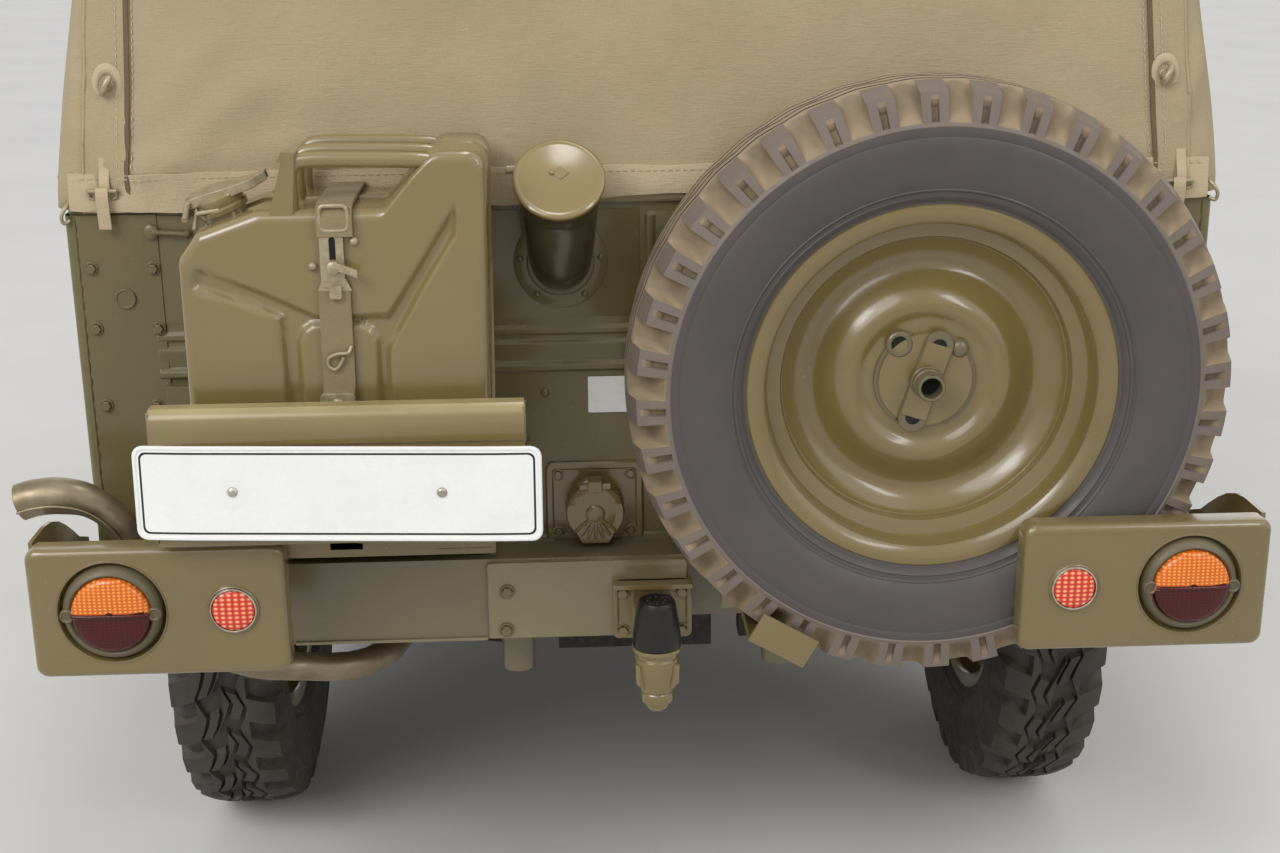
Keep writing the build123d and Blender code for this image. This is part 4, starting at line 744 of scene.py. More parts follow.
def fastener(form_cloth, form_metal, eyes, x, z_button, lean, z_loop, z_bar, z_tail):
    """Turn button in its eyelet, and the strap below it with its bar and tail."""
    y = curtain_y(x, z_button, 4.0)
    place = aim((x, y, z_button), REAR)
    rows = []
    for scale, h in ((1.25, -1.5), (1.1, 1.4), (0.92, 2.2), (0.78, 1.8), (0.66, 0.4), (0.6, -1.0)):
        rows.append([place @ Vector((15 * scale * cos(a), 21 * scale * sin(a), h))
                     for a in [2 * pi * i / 28 for i in range(28)]])
    eyes.grid(rows, around=True)
    form_metal.lathe([(-2, 8), (1.5, 8), (3, 6.5), (9, 5.5), (9, 0.01)], place, 16)
    turned = place @ Matrix.Rotation(radians(64), 4, "Z")
    form_metal.tube([turned @ Vector((u, 0, h))
                     for u, h in ((-12, 7.5), (-6, 10.5), (0, 11.5), (6, 10.5), (12, 7.5))],
                    lambda t: 3.2 + 1.6 * sin(pi * t), 12)
    loop = []
    for z, out in ((z_loop, 3.5), (z_loop - 14, 5), (z_bar + 10, 9), (z_bar, 8), (z_bar - 5, 4)):
        loop.append((lean + 3, curtain_y(lean, max(z, HEM), out), z))
    form_cloth.strip(smooth_path(loop, 4), (1, 0, 0), 12, 2.2)
    tail = []
    for z, out in ((z_bar + 4, 11), (z_bar - 6, 13.5), ((z_bar + z_tail) / 2, 12), (z_tail + 5, 9.5),
                   (z_tail, 9)):
        tail.append((lean, curtain_y(lean, max(z, HEM), out), z))
    form_cloth.strip(smooth_path(tail, 4), (1, 0, 0), 15, 2.6)
    bar_y = curtain_y(lean, max(z_bar, HEM), 10)
    form_metal.tube([(lean - 17, bar_y + 1, z_bar), (lean + 17, bar_y + 1, z_bar)], 2.6, 10)
    for dx in (-17, 17):
        form_metal.tube([(lean + dx, bar_y + 1, z_bar + 1), (lean + dx * 0.95, bar_y + 3, z_bar - 8),
                         (lean + dx * 0.6, bar_y + 4, z_bar - 10)], 2.0, 8)


def curtain_fasteners():
    """Both turn buttons with their straps, the hooks at the body's corners and a stud."""
    straps = Form()
    metalwork = Form()
    eyes = Form()
    fastener(straps, metalwork, eyes, -636.7, 1194.7, -649, 1112, 1073, 1027)
    fastener(straps, metalwork, eyes, 632, 1191, 651, 1103, 1066, 1021)
    for x, z, side in ((-697, 1046, -1), (699, 1052, 1)):
        route = [(x - side * 6, PANEL_Y - 3, z + 12), (x, PANEL_Y - 9, z + 5),
                 (x + side * 4, PANEL_Y - 11, z - 4), (x + side * 2, PANEL_Y - 9, z - 12),
                 (x - side * 5, PANEL_Y - 6, z - 9)]
        metalwork.hose(route, 4, 2.4, 8)
    metalwork.dome((655, PANEL_Y - 1, 1030), r=8, h=4)
    straps.piece("canvas_straps", canvas_band_painted_light, "canvas", bevel=0.6, angle=50)
    eyes.piece("canvas_eyelets", canvas_band_painted_light, "canvas", angle=50)
    metalwork.piece("canvas_fasteners", worn_steel, "black_metal")


curtain_trim()
curtain_fasteners()


# Wheels

def on_axis(x, y, z, side=1):
    """Matrix of a road wheel: Z outward along the axle."""
    return aim((x, y, z), (side, 0, 0), AHEAD)


# Radii between which the spare tyre's lugs have a slot
SLOT_LOW = 318.0
SLOT_HIGH = 344.0
SPARE_LUG_COUNT = 36
ROAD_LUG_COUNT = 30
# Half section of a tyre from the bead to the shoulder: offset from the middle plane, radius
TYRE_SIDE = ((34, 199), (52, 203), (57, 208), (59, 219), (61, 225), (64, 227), (67, 230.5), (68, 231.8),
             (66.8, 233.2), (67.6, 236.8), (70.2, 238.4), (71, 239.6), (70.4, 241), (73.4, 246.5),
             (76.6, 254), (79.4, 264), (81.3, 275), (82.2, 286), (82.2, 299), (81.2, 301.4), (82.0, 302.8),
             (82.0, 307), (81.3, 311.6), (82.4, 313), (81.8, 315), (80.8, 316.2))
# Lug and the scooped gap beside it, outward from the shoulder: lug offset and radius, gap offset and radius
SPARE_LUGS = ((80.5, 317, 80.5, 317), (80.1, 319.2, 78.5, 318.6), (79.4, 323, 73.5, 321.5),
              (78.4, 328, 67, 325.5), (77.3, 333, 60.5, 329.5), (76.1, 338, 54.5, 334),
              (74.9, 343, 49.5, 338.5), (73.7, 347.5, 45.5, 343), (72.8, 351, 42.6, 348),
              (66, 352.6, 40.6, 352), (58, 355, 39.2, 355.5), (50, 357.2, 38.2, 357.8),
              (42, 359.2, 37.6, 359.2))
ROAD_LUGS = ((80.5, 317, 80.5, 317), (80.1, 319.2, 79.5, 319.2), (79.4, 323, 77, 322.4),
             (78.4, 328, 74.5, 326.5), (77.3, 333, 71.5, 330.6), (76.1, 338, 68, 335),
             (74.9, 344, 64.5, 339.5), (73.7, 350, 61, 343.5), (72.8, 355, 57, 346.5),
             (66, 357.6, 53, 349.4), (58, 360.4, 48, 351.2), (50, 362.4, 43, 352.4), (42, 363.8, 39, 352.8))
TREAD = ((36, 364.2), (29.5, 364.5), (28.3, 355.6), (25, 355.6), (23.8, 364.8), (10.6, 365), (9.4, 355.6),
         (6, 355.6), (4.8, 365))
# Share of the pitch and how far it lies in the gap
SPARE_STEPS = ((0.0, 0), (0.18, 0), (0.195, 0), (0.325, 0), (0.34, 0), (0.52, 0), (0.528, 0.35), (0.55, 0.62),
               (0.6, 0.86), (0.67, 0.97), (0.76, 1), (0.85, 0.97), (0.92, 0.86), (0.97, 0.62), (0.992, 0.35))
ROAD_STEPS = ((0.0, 0), (0.03, 0), (0.28, 0), (0.54, 0), (0.565, 0.75), (0.6, 1), (0.78, 1), (0.94, 1),
              (0.975, 0.75))


def tyre_form(place, lugs, chunky):
    """Tyre: moulded side rings, slotted shoulder lugs with scooped gaps, and zigzag grooves."""
    table, steps = (ROAD_LUGS, ROAD_STEPS) if chunky else (SPARE_LUGS, SPARE_STEPS)
    half = [(s, r, s, r, 0) for s, r in TYRE_SIDE] + [(*row, 1) for row in table]
    half += [(s, r, s, r, 2) for s, r in TREAD]
    spec = half + [(-s, r, -t, q, kind) for s, r, t, q, kind in reversed(half)]
    form = Form()
    rows = []
    for s, r, t, q, kind in spec:
        near = s > 0
        out = 1 if near else -1
        row = []
        for c in range(lugs * len(steps)):
            lug, p = divmod(c, len(steps))
            phase, gap = steps[p]
            offset, radius = lerp(s, t, gap), lerp(r, q, gap)
            if not chunky and p in (2, 3) and kind == 1 and SLOT_LOW < r < SLOT_HIGH:
                offset -= out * 8.0 * (1 - smooth(332, 342, r))
            if kind == 2 and not chunky:
                radius -= 4.0
            turn = (phase * 2 + (0 if near else 0.5)) % 2
            zigzag = (abs(turn - 1) * 2 - 1) * (8.0 if chunky else 5.0)
            if kind == 2:
                offset += zigzag * smooth(37, 28, abs(s))
                if chunky and gap > 0.9 and abs(s) < 24:
                    radius = min(radius, 356.0)
            shear = (0.45 if chunky else 0.0) * (1 - min(abs(s), 80) / 80)
            angle = 2 * pi * (lug + phase + shear + (0.0 if near else 0.5)) / lugs
            row.append(place @ polar(radius, angle, offset))
        rows.append(row)

    def pick(i, j):
        _, r, _, _, kind = spec[i]
        p = j % len(steps)
        if kind == 1:
            return 2 if p >= 5 or p == 2 and SLOT_LOW < r < SLOT_HIGH else 1
        if kind == 2:
            return 0 if r < 360 else 2
        return 1 if r > 311 else 0

    form.grid(rows, around=True, mat=pick)
    form.grid([rows[-1], rows[0]], around=True, mat=0)
    return form


def wheel_tyres():
    """Tyre of the spare wheel and of the four road wheels."""
    form = tyre_form(aim(SPARE, REAR), SPARE_LUG_COUNT, False)
    form.piece("spare_tyre_moulded", [spare_side, spare_lug, spare_dust], "spare_rubber", "spare_tyre",
               angle=32)
    for name, side in SIDES:
        for end, y in AXLES:
            place = on_axis(side * WHEEL_X, y, TYRE_R, side)
            form = tyre_form(place, ROAD_LUG_COUNT, True)
            form.piece(f"road_tyre_{end}_{name}", [tyre, tyre, tyre], "tyre_rubber", f"tyre_{end}_{name}",
                       f"wheel_{end}_{name}", angle=32)


def rim_form(place):
    """Pressed rim: rolled flanges, well, and dished disc with a soft crest."""
    form = Form()
    outer = ([(62, 217)] + [(58.5 + 3.5 * cos(a), 218.5 + 3.5 * sin(a)) for a in (0.4, 1.2, 2.0, 2.8)]
             + [(55, 214), (54, 207), (50, 203.5), (30, 201), (26, 199), (21, 184), (17, 180)])
    barrel = outer + [(-s, r) for s, r in reversed(outer)]
    inner = [(-s, r) for s, r in [(62, 214), (58, 202), (54, 198.5), (33, 196.5), (28, 193), (22, 177),
                                  (15, 174.5)]]
    inner = inner + [(-s, r) for s, r in reversed(inner)]
    form.lathe(barrel + inner, place, 120, closed=True)
    disc = [(10, 176), (10, 173), (7, 171.5), (4, 169), (-1, 164), (-6, 158.5), (-10, 152), (-12, 145),
            (-11.5, 138), (-8, 130.5), (-2, 123), (5, 115.5), (11, 108), (15, 101.5), (17, 95.5), (17, 90),
            (14.5, 84), (11.5, 79), (9.5, 75.5), (9, 71), (9, 26)]
    back = [(s - 6, r) for s, r in reversed(disc)]
    form.lathe(disc + back, place, 120, closed=True)
    return form


def wheel_rims():
    """Rim of the spare wheel, and of the road wheels with their hubs and nuts."""
    form = rim_form(aim(SPARE, REAR))
    form.piece("spare_rim_pressed", olive, "olive_paint", "spare_rim", angle=32)
    for name, side in SIDES:
        for end, y in AXLES:
            spot = on_axis(side * WHEEL_X, y, TYRE_R, side)
            body = f"wheel_{end}_{name}"
            form = rim_form(spot)
            form.lathe([(-58, 21), (-58, 116), (-54, 120), (-20, 120), (-15, 117), (-15, 60), (6, 60),
                        (6, 30)], spot, 72)
            cap = [(8, 40), (12, 38), (30, 34)]
            cap += [(30 + 8 * sin(a), 26 + 8 * cos(a)) for a in (0.4, 0.9, 1.4)]
            form.lathe(cap + [(38.5, 0.01)], spot, 48)
            form.piece(f"road_rim_{end}_{name}", olive, "olive_paint", f"rim_{end}_{name}", body, angle=32)
            nuts = Form()
            for i in range(5):
                centre = spot @ polar(70, radians(72 * i + 90), 9)
                nuts.lathe([(0, 12), (2, 12), (5, 10.5), (5, 10)], aim(centre, (side, 0, 0)), 24)
                nuts.lathe([(4, 10), (17, 10), (18.5, 8.6), (18.5, 5.5)], aim(centre, (side, 0, 0)), 6)
                nuts.lathe([(10, 5.5), (22, 5.5), (22.5, 4.8), (22.5, 0.01)], aim(centre, (side, 0, 0)), 14)
            nuts.piece(f"wheel_nuts_{end}_{name}", steel, "iron", body=body, angle=30)


def spare_clamp():
    """Cover segments, slanted flat bar, studs, tube and collar that hold the spare on its stem, with discs of
    painted shade in their holes.
    """
    x, y, z = SPARE
    face = y - 9
    form = Form()
    place = aim((x, face, z), REAR)
    for start, stop in ((108, 236), (-66, 66)):
        outline = arc(0, 0, 62, start, stop, 18) + arc(0, 0, 30, stop, start, 12)
        form.prism(outline, place, 4)
    form.lathe([(0, 0.01), (0, 33), (3, 33), (4.5, 31), (4.5, 0.01)], place, 40)
    tilt = radians(-108)
    bar_place = place @ Matrix.Rotation(tilt, 4, "Z")
    outline = arc(48, 0, 17.5, -90, 90, 12) + arc(-46, 0, 17.5, 90, 270, 12)
    form.prism(outline, bar_place @ Matrix.Translation((0, 0, 6)), 6)
    form.lathe([(12, 20), (17, 20), (18, 18.5), (26, 18.5), (27, 16.8), (43, 16.8), (44, 15.8), (44, 12.6),
                (20, 12.6)], place, 40)
    form.lathe([(4, 16), (7, 16), (8.5, 14), (8.5, 10.5), (6, 9.5)],
               place @ Matrix.Translation((-33, 45, 0)), 28)
    form.dome(place @ Vector((40, 38, 4)), REAR, 12, 8)
    form.piece("spare_clamp_plate", clamp_paint, "olive_paint", bevel=0.8, angle=30)
    # Dark discs of painted shade in the bar's two holes, the stud's hollow and the collar's bore
    dark = Form()
    for u, v in ((47, 0), (-45, 0)):
        dark.lathe([(12.2, 9.2), (12.4, 9), (12.4, 0.01)],
                   bar_place @ Matrix.Translation((u, v, 0)), 24)
    dark.lathe([(6.5, 9.6), (6.5, 0.01)], place @ Matrix.Translation((-33, 45, 0)), 24)
    dark.lathe([(24, 12.5), (24, 0.01)], place, 30)
    dark.piece("spare_clamp_hole_shade", hole_dark, "olive_paint")


wheel_tyres()
wheel_rims()
spare_clamp()


# Can and its strap

CAN_FRONT = CAN[1] - CAN_SIZE[1] / 2
CAN_BACK = CAN[1] + CAN_SIZE[1] / 2
# Outline of the can seen from behind: x, z, corner radius
CAN_OUTLINE = ((-537, 671, 34), (-193, 671, 34), (-187, 1090, 10), (-187, 1138, 40), (-244, 1139, 22),
               (-266, 1117, 16), (-302, 1075, 16), (-444, 1074, 16), (-512, 1050, 16), (-535, 1020, 20))
# Edge of the pressed channel that parts the raised panels of the can's face
CAN_CHANNEL = ((-514, 1008), (-445, 980), (-383, 950), (-301, 951), (-262, 1012), (-224, 1072), (-227, 1046),
               (-268, 980), (-306, 914), (-309, 800), (-232, 738), (-230, 730), (-310, 782), (-315, 790),
               (-315, 924), (-321, 938), (-334, 946), (-390, 946), (-401, 938), (-407, 924), (-407, 790),
               (-412, 782), (-500, 730), (-498, 738), (-419, 800), (-422, 956), (-466, 972), (-518, 990))


def round_corners(points, steps=6):
    """Outline with its corners replaced by arcs."""
    out = []
    count = len(points)
    for i in range(count):
        a = Vector(points[i - 1][:2])
        b = Vector(points[i][:2])
        c = Vector(points[(i + 1) % count][:2])
        r = points[i][2]
        back = (a - b).normalized()
        ahead = (c - b).normalized()
        half = back.angle(ahead) / 2
        reach = r / max(0.05, abs(sin(half) / cos(half)))
        reach = min(reach, (a - b).length * 0.45, (c - b).length * 0.45)
        p = b + back * reach
        q = b + ahead * reach
        for k in range(steps + 1):
            t = k / steps
            out.append((p * (1 - t) + b * t) * (1 - t) + (b * (1 - t) + q * t) * t)
    return out


def bent(points):
    """Open path of (a, b, radius) with its corners rounded."""
    steps = 5
    return round_corners(points, steps)[steps:-steps]


def channel_depth(x, z):
    """Depth of the pressing at a place on the can's face."""
    inside = False
    near = 99.0
    for i, (x0, z0) in enumerate(CAN_CHANNEL):
        x1, z1 = CAN_CHANNEL[i - 1]
        if (z0 > z) != (z1 > z) and x < (x1 - x0) * (z - z0) / (z1 - z0) + x0:
            inside = not inside
        along = Vector((x1 - x0, z1 - z0))
        t = min(max(Vector((x - x0, z - z0)).dot(along) / along.length_squared, 0), 1)
        near = min(near, hypot(x - x0 - along.x * t, z - z0 - along.y * t))
    return 9.0 * smooth(-6.5, 3.5, near if inside else -near)


def jerrycan_mesh():
    """Pressed halves with a channel pattern, the seam round them, handles and capped spout."""
    form = Form()
    outline = dense(round_corners(CAN_OUTLINE), 7)
    centre = Vector((-362, 870))
    rings = [k / 62 for k in range(1, 56)] + [0.91, 0.93, 0.945, 0.96, 0.972, 0.982, 0.99, 0.996, 1.0]
    corner = 13.0
    rows = []
    for t in rings:
        line = []
        for p in outline:
            q = centre.lerp(p, t)
            edge = min((p - q).length, corner)
            round_off = corner - sqrt(max(0, corner ** 2 - (corner - edge) ** 2))
            depth = channel_depth(q.x, q.y) * smooth(0, 30, (p - q).length) if t > 0.1 else 0
            line.append(Vector((q.x, CAN_FRONT + depth + round_off, q.y)))
        rows.append(line)
    for y, inset in ((CAN[1] - 5, 0), (CAN[1] - 3, -3), (CAN[1] + 3, -3), (CAN[1] + 5, 0), (CAN_BACK - 14, 0),
                     (CAN_BACK - 6, 2), (CAN_BACK, 12)):
        line = []
        for p in outline:
            q = p - (p - centre).normalized() * inset
            line.append(Vector((q.x, y, q.y)))
        rows.append(line)
    for t in (0.8, 0.5, 0.2):
        rows.append([Vector((centre.lerp(p, t).x, CAN_BACK, centre.lerp(p, t).y)) for p in outline])
    made = form.grid(rows, around=True)
    form.bm.faces.new(made[0])
    form.bm.faces.new(made[-1])
    form.piece("jerrycan_pressed", can_paint, "olive_paint", "jerrycan", angle=50)

    fittings = Form()
    for y in (-700, -634, -568):
        route = [(-406, y, 1070), (-406, y, 1108), (-402, y, 1122), (-388, y, 1129), (-330, y, 1129),
                 (-262, y, 1127), (-236, y, 1122)]
        fittings.hose(route, 6, 9, 16)
    for y in (-708, -695):
        fittings.prism([(-430, 1066), (-403, 1066), (-397, 1138), (-410, 1138)], aim((0, y, 0), REAR), 3)
    fittings.prism([(-418, 1128), (-396, 1128), (-396, 1139), (-412, 1139)], aim((0, -690, 0), REAR), 20)
    cap_place = aim((-486, -650, 1058), (-0.35, -0.1, 1))
    fittings.lathe([(-8, 25), (8, 25), (9, 29), (15, 30), (17, 27), (19, 28), (27, 28), (33, 22), (35, 0.01)],
                   cap_place, 40)
    fittings.piece("jerrycan_fittings", can_paint, "olive_paint", bevel=0.8, angle=35)
    lever = Form()
    rows = []
    for u, w, h in ((-42, 10, 27), (-34, 17, 36), (-8, 22, 37), (22, 20, 35), (44, 12, 34), (62, 7, 37)):
        rows.append([cap_place @ Vector((u, v, h + dh)) for v, dh in
                     ((-w, -11), (-w, 0), (w, 0), (w, -11), (w - 2.5, -11), (w - 2.5, -2.5), (2.5 - w, -2.5),
                      (2.5 - w, -11))])
    lever.grid(rows, around=True, caps=True)
    lever.tube([cap_place @ Vector((-40, -24, 18)), cap_place @ Vector((-40, 24, 18))], 4, 10)
    lever.tube([cap_place @ Vector((-40, -22, 18)), cap_place @ Vector((-30, -19, 34))], 3.5, 10)
    lever.tube([cap_place @ Vector((-40, 22, 18)), cap_place @ Vector((-30, 19, 34))], 3.5, 10)
    for w in (-26, 26):
        lever.tube([cap_place @ Vector((-34, w, 4)), cap_place @ Vector((-24, w, 20)),
                    cap_place @ Vector((2, w, 16))], 3, 10)
    lever.piece("jerrycan_cap_lever", worn_steel, "olive_paint", bevel=1.2, angle=35)


def can_strap():
    """Webbing round the handle, wire ring, slotted buckle, wing nut, lower strap, hook and foot."""
    y = CAN_FRONT - 4
    soft = Form()
    wrap = [(-357, CAN_BACK + 4, 1040), (-357, CAN_BACK + 4, 1066), (-357, CAN_BACK - 4, 1078),
            (-357, -640, 1080), (-357, CAN_FRONT + 8, 1079), (-357, y - 1, 1070), (-357, y - 2, 1052),
            (-357, y - 3, 1046)]
    soft.strip(smooth_path(wrap, 5), (1, 0, 0), 40, 5)
    lower = [(-361, y - 1, 984), (-361, y - 2, 930), (-361, y - 2, 880), (-363, y - 4, 858)]
    soft.strip(smooth_path(lower, 4), (1, 0, 0), 36, 3.5)
    soft.piece("can_strap_webbing", webbing, "olive_paint", bevel=0.8, angle=50)
    hard = Form()
    ring = []
    for x, z in rounded(-373, -342, 1053, 1081, 6, 4):
        ring.append(Vector((x, y - 3, z)))
    hard.ring(ring, 2.6, 8)
    place = aim((0, y, 0), REAR)
    hard.prism(rounded(-375, -348, 988, 1056, 5, 3), place, 3.2)
    hard.prism(rounded(-366, -352, 976, 992, 3, 2), place, 9)
    hard.lathe([(0, 9), (7, 8), (9, 5), (9, 0.01)], aim((-360, y - 3, 1012), REAR), 16)
    hard.strip([(-360, y - 9, 1014), (-348, y - 11, 1011), (-333, y - 12, 1005)], UP, 9, 3)
    hook = [(-345, y - 4, 921), (-349, y - 8, 914), (-360, y - 9, 913), (-371, y - 7, 908),
            (-372, y - 6, 899), (-365, y - 6, 894), (-358, y - 7, 901), (-354, y - 8, 909)]
    hard.hose(hook, 5, 2.3, 8)
    hard.prism(rounded(-384, -344, 842, 866, 7, 3), place, 8)
    hard.dome((-364, y - 8, 854), r=6, h=4)
    hard.prism([(-380, 984), (-341, 984), (-349, 1002), (-372, 1002)], place, 2.5)
    for x, z in ((-384, 1012), (-337, 1040)):
        hard.dome((x, y + 3, z), r=5.5, h=6)
    hard.piece("can_strap_buckle", worn_steel, "olive_paint", bevel=0.7, angle=35)
    tray = Form()
    left, right = CAN[0] - CAN_SIZE[0] / 2, CAN[0] + CAN_SIZE[0] / 2
    tray.box(left, right, CAN_FRONT - 3, PANEL_Y, CAN[2] - 8, CAN[2] - 0.5)
    tray.box(left, right, CAN_FRONT - 3, CAN_FRONT - 0.5, CAN[2] - 8, CAN[2] + 30)
    for x in (left - 2.5, right):
        tray.box(x, x + 2.5, CAN_FRONT - 3, PANEL_Y, CAN[2] - 8, CAN[2] + 24)
    tray.box(CAN[0] - 60, CAN[0] + 60, CAN_BACK + 1, PANEL_Y, 993, 1018)
    tray.box(CAN[0] - 20, CAN[0] + 20, CAN_BACK + 1, CAN_BACK + 5, 993, 1044)
    tray.box(CAN[0] - 20, CAN[0] + 20, CAN_FRONT - 3, CAN_FRONT - 0.5, CAN[2], 862)
    tray.piece("can_tray", olive, "olive_paint", "can_carrier", bevel=1.0)
    # A thin dark plate of painted shade marks the buckle's slot
    slot = Form()
    slot.prism(rounded(-364, -357, 1018, 1046, 3, 2), aim((0, y - 3.3, 0), REAR), 0.4)
    slot.piece("can_strap_slot_shade", hole_dark, "olive_paint")


jerrycan_mesh()
can_strap()


# Lamps, plate and its light box

def lamp_units():
    """Boxes with pressed lips, recessed round lamps in two colours, and round reflectors."""
    for name, side in SIDES:
        x0, x1 = sorted((side * (BODY_HALF - 266), side * (BODY_HALF + 32)))
        z0, z1 = 531.0, 692.0
        face = LAMP_FACE
        lens_x = side * (BODY_HALF - 64)
        reflector_x = side * (BODY_HALF - 204)
        lens_z = 613.5
        form = Form()
        outline = dense(rounded(x0, x1, z0, z1, 14, 5), 11)
        cx, cz = (x0 + x1) / 2, (z0 + z1) / 2
        rows = []
        for y, inset in ((face + 30, 0), (face + 20, 0), (face + 9, 0), (face + 5.6, 0.7), (face + 2.6, 2.6),
                         (face + 0.7, 5.6), (face, 9)):
            rows.append([Vector((x + (cx - x) * inset / 149, y, z + (cz - z) * inset / 80))
                         for x, z in outline])
        form.grid(rows, around=True)
        # The face is a plate with two round holes, filled from its three loops
        edge = []
        for loop in (rows[-1], ring_points(lens_x, face, lens_z, 64.5, 56),
                     ring_points(reflector_x, face, lens_z, 31, 40)):
            verts = [form.bm.verts.new(p) for p in loop]
            for i, v in enumerate(verts):
                edge.append(form.bm.edges.new((v, verts[(i + 1) % len(verts)])))
        bmesh.ops.triangle_fill(form.bm, use_beauty=True, edges=edge, normal=Vector(REAR))
        lamp = aim((lens_x, face, lens_z), REAR)
        form.lathe([(0, 64.5), (1.6, 63.8), (1.2, 62.4), (-2.5, 61.4), (-10, 60.5), (-12, 58), (-12, 46)],
                   lamp, 56)
        spot = aim((reflector_x, face, lens_z), REAR)
        form.lathe([(0, 31), (2.6, 30), (3.4, 28.8), (2.6, 27.6), (-1, 27), (-3, 26), (-3, 24)], spot, 40)
        form.box(x0 + 4, x1 - 4, face + 27, face + 29, z0 + 4, z1 - 4)
        outer = side * (BODY_HALF + 32)
        rows = []
        for y, top, bottom in ((28, z1, 552), (84, z1 - 0.5, 552), (112, 687, 553), (140, 677, 554),
                               (168, 662, 555), (196, 644, 556), (222, 626, 557), (263, 610, 558)):
            rows.append([Vector((x, face + y, z)) for x, z in
                         ((outer, bottom), (outer, top), (outer - side * 5, top),
                          (outer - side * 5, bottom))])
        form.grid(rows, around=True, caps=True)
        form.piece(f"lamp_box_pressed_{name}", olive, "olive_paint", "lamp_boxes", angle=30)

        housing = Form()
        housing.lathe([(-12, 60), (2, 56), (7, 52), (8, 49), (6, 46.5), (2, 46)], lamp, 56)
        for x in (lens_x - 50, lens_x + 50):
            housing.lathe([(4, 9), (9, 8.4), (10, 6.5), (8.6, 5), (8.6, 0.01)],
                          aim((x, face, lens_z), REAR), 20)
        housing.piece(f"lamp_housing_{name}", olive_dull, "olive_paint", angle=35)

        cover = Form()
        rows = []
        for h, r in ((2, 46), (7, 45.6), (11, 44), (13, 40), (14, 30), (14.5, 18), (14.6, 6)):
            rows.append([lamp @ polar(r, 2 * pi * (i + 0.5) / 64, h) for i in range(64)])

        def tint(i, j):
            return 0 if rows[min(i, len(rows) - 1)][j].z > lens_z + 2 else 1

        cover.cup(rows, tint).material_index = 1
        cover.tube([(lens_x + u, face - 14.9 + 3.6 * (abs(u) / 44) ** 5, lens_z + 1)
                    for u in range(-44, 45, 4)], 2.6, 8, mat=1)
        cover.piece(f"lamp_lens_{name}", [amber, red], "lamp_lens", "lamp_lenses", angle=50)

        mark = Form()
        mark.lathe([(-3, 25.5), (3, 25), (4.5, 23.5), (5.5, 12), (5.8, 0.01)], spot, 40)
        mark.piece(f"reflector_disc_{name}", red_cells, "reflector_red", "reflectors", angle=50)
        grey = Form()
        grey.lathe([(-3, 29), (3.5, 28), (5, 27), (5, 25.5), (2, 25)], spot, 40)
        grey.piece(f"reflector_ring_{name}", steel, "olive_paint")


def ring_points(x, y, z, r, count):
    """Points of an upright circle across the car."""
    return [Vector((x + r * cos(2 * pi * i / count), y, z + r * sin(2 * pi * i / count)))
            for i in range(count)]


# Middle of the plate, and its width and height
PLATE = (-362.0, -790.0, 768.0)
PLATE_SIZE = (460.0, 110.0)
LIGHT_BOX_X = (-571.0, -151.0)


def number_plate_mesh():
    """Blank plate with a raised lip and a thin dark border."""
    place = Matrix.Translation(PLATE) @ Euler((radians(-3.2), 0, radians(-4.3))).to_matrix().to_4x4()
    half_x, half_z = PLATE_SIZE[0] / 2, PLATE_SIZE[1] / 2

    def on_plate(x, z, out):
        kink = 2.5 * smooth(165, 230, abs(x))
        return place @ Vector((x, -1 - out + kink, z))

    form = Form()
    rows = []
    for inset, out in ((0, -1.5), (0, 1), (1.2, 2.2), (3.5, 2.2), (4.8, 0.8), (7, 0.8), (7.2, 1.0),
                       (9.6, 1.0), (9.8, 0.8)):
        outline = rounded(inset - half_x, half_x - inset, inset - half_z, half_z - inset, 12 - inset * 0.6, 4)
        row = []
        for i, (x, z) in enumerate(outline):
            nx, nz = outline[(i + 1) % len(outline)]
            count = 16 if abs(nx - x) > 300 else (4 if abs(nz - z) > 50 else 1)
            row.extend([on_plate(lerp(x, nx, k / count), lerp(z, nz, k / count), out) for k in range(count)])
        rows.append(row)
    made = form.grid(rows, around=True, mat=lambda i, j: 1 if i == 6 else 0)
    form.bm.faces.new(made[-1])
    form.bm.faces.new(made[0])
    bmesh.ops.triangulate(form.bm, faces=[f for f in form.bm.faces if len(f.verts) > 4])
    form.piece("number_plate_blank", [white, ink], "plate_white", "number_plate", angle=30)
    screws = Form()
    for x, z in ((-118, 2), (118, 2)):
        screws.dome(on_plate(x, z, 1), r=6, h=3)
    screws.piece("number_plate_screws", steel, "plate_white")


def light_box():
    """Long housing over the plate, its back plate and arms, and the dark box under it."""
    form = Form()
    x0, x1 = LIGHT_BOX_X
    front = [(-770, 820), (-770, 850), (-766, 858), (-760, 862), (-742, 862), (-740, 860), (-740, 816),
             (-744, 816), (-744, 856), (-762, 857), (-766, 850), (-766, 816)]
    rows = []
    for x in (x0, x0 + 3, x1 - 3, x1):
        rows.append([Vector((x, y, z)) for y, z in front])
    form.grid(rows, around=True, caps=True)
    for x in (x0, x1):
        form.box(x - 1.5, x + 1.5, -768, -742, 817, 859)
        form.box(x - 2.5, x + 2.5, -768, PANEL_Y, 705, 745)
        form.bolt((x, -548, 725), (1 if x > x0 else -1, 0, 0), 6, 4)
    form.box(x0, x1, -768, -764, 700, 818)
    form.box(x0 + 4, x1 - 4, -766, -738, 852, 855)
    for offset in (-150, 150):
        form.tube([(PLATE[0] + offset, y, PLATE[2]) for y in (-764, -786 - offset * 0.075)], 5, 12)
    form.piece("plate_light_housing", box_paint, "olive_paint", "plate_light_box", bevel=1.2, angle=30)
    dark = Form()
    dark.box(-462, -202, -600, -556, 616, 640)
    dark.box(-470, -196, -560, PANEL_Y - 2, 606, 648)
    dark.piece("wiring_box", black, "black_rubber", bevel=3)


lamp_units()
number_plate_mesh()
light_box()


# Filler, socket and hitch

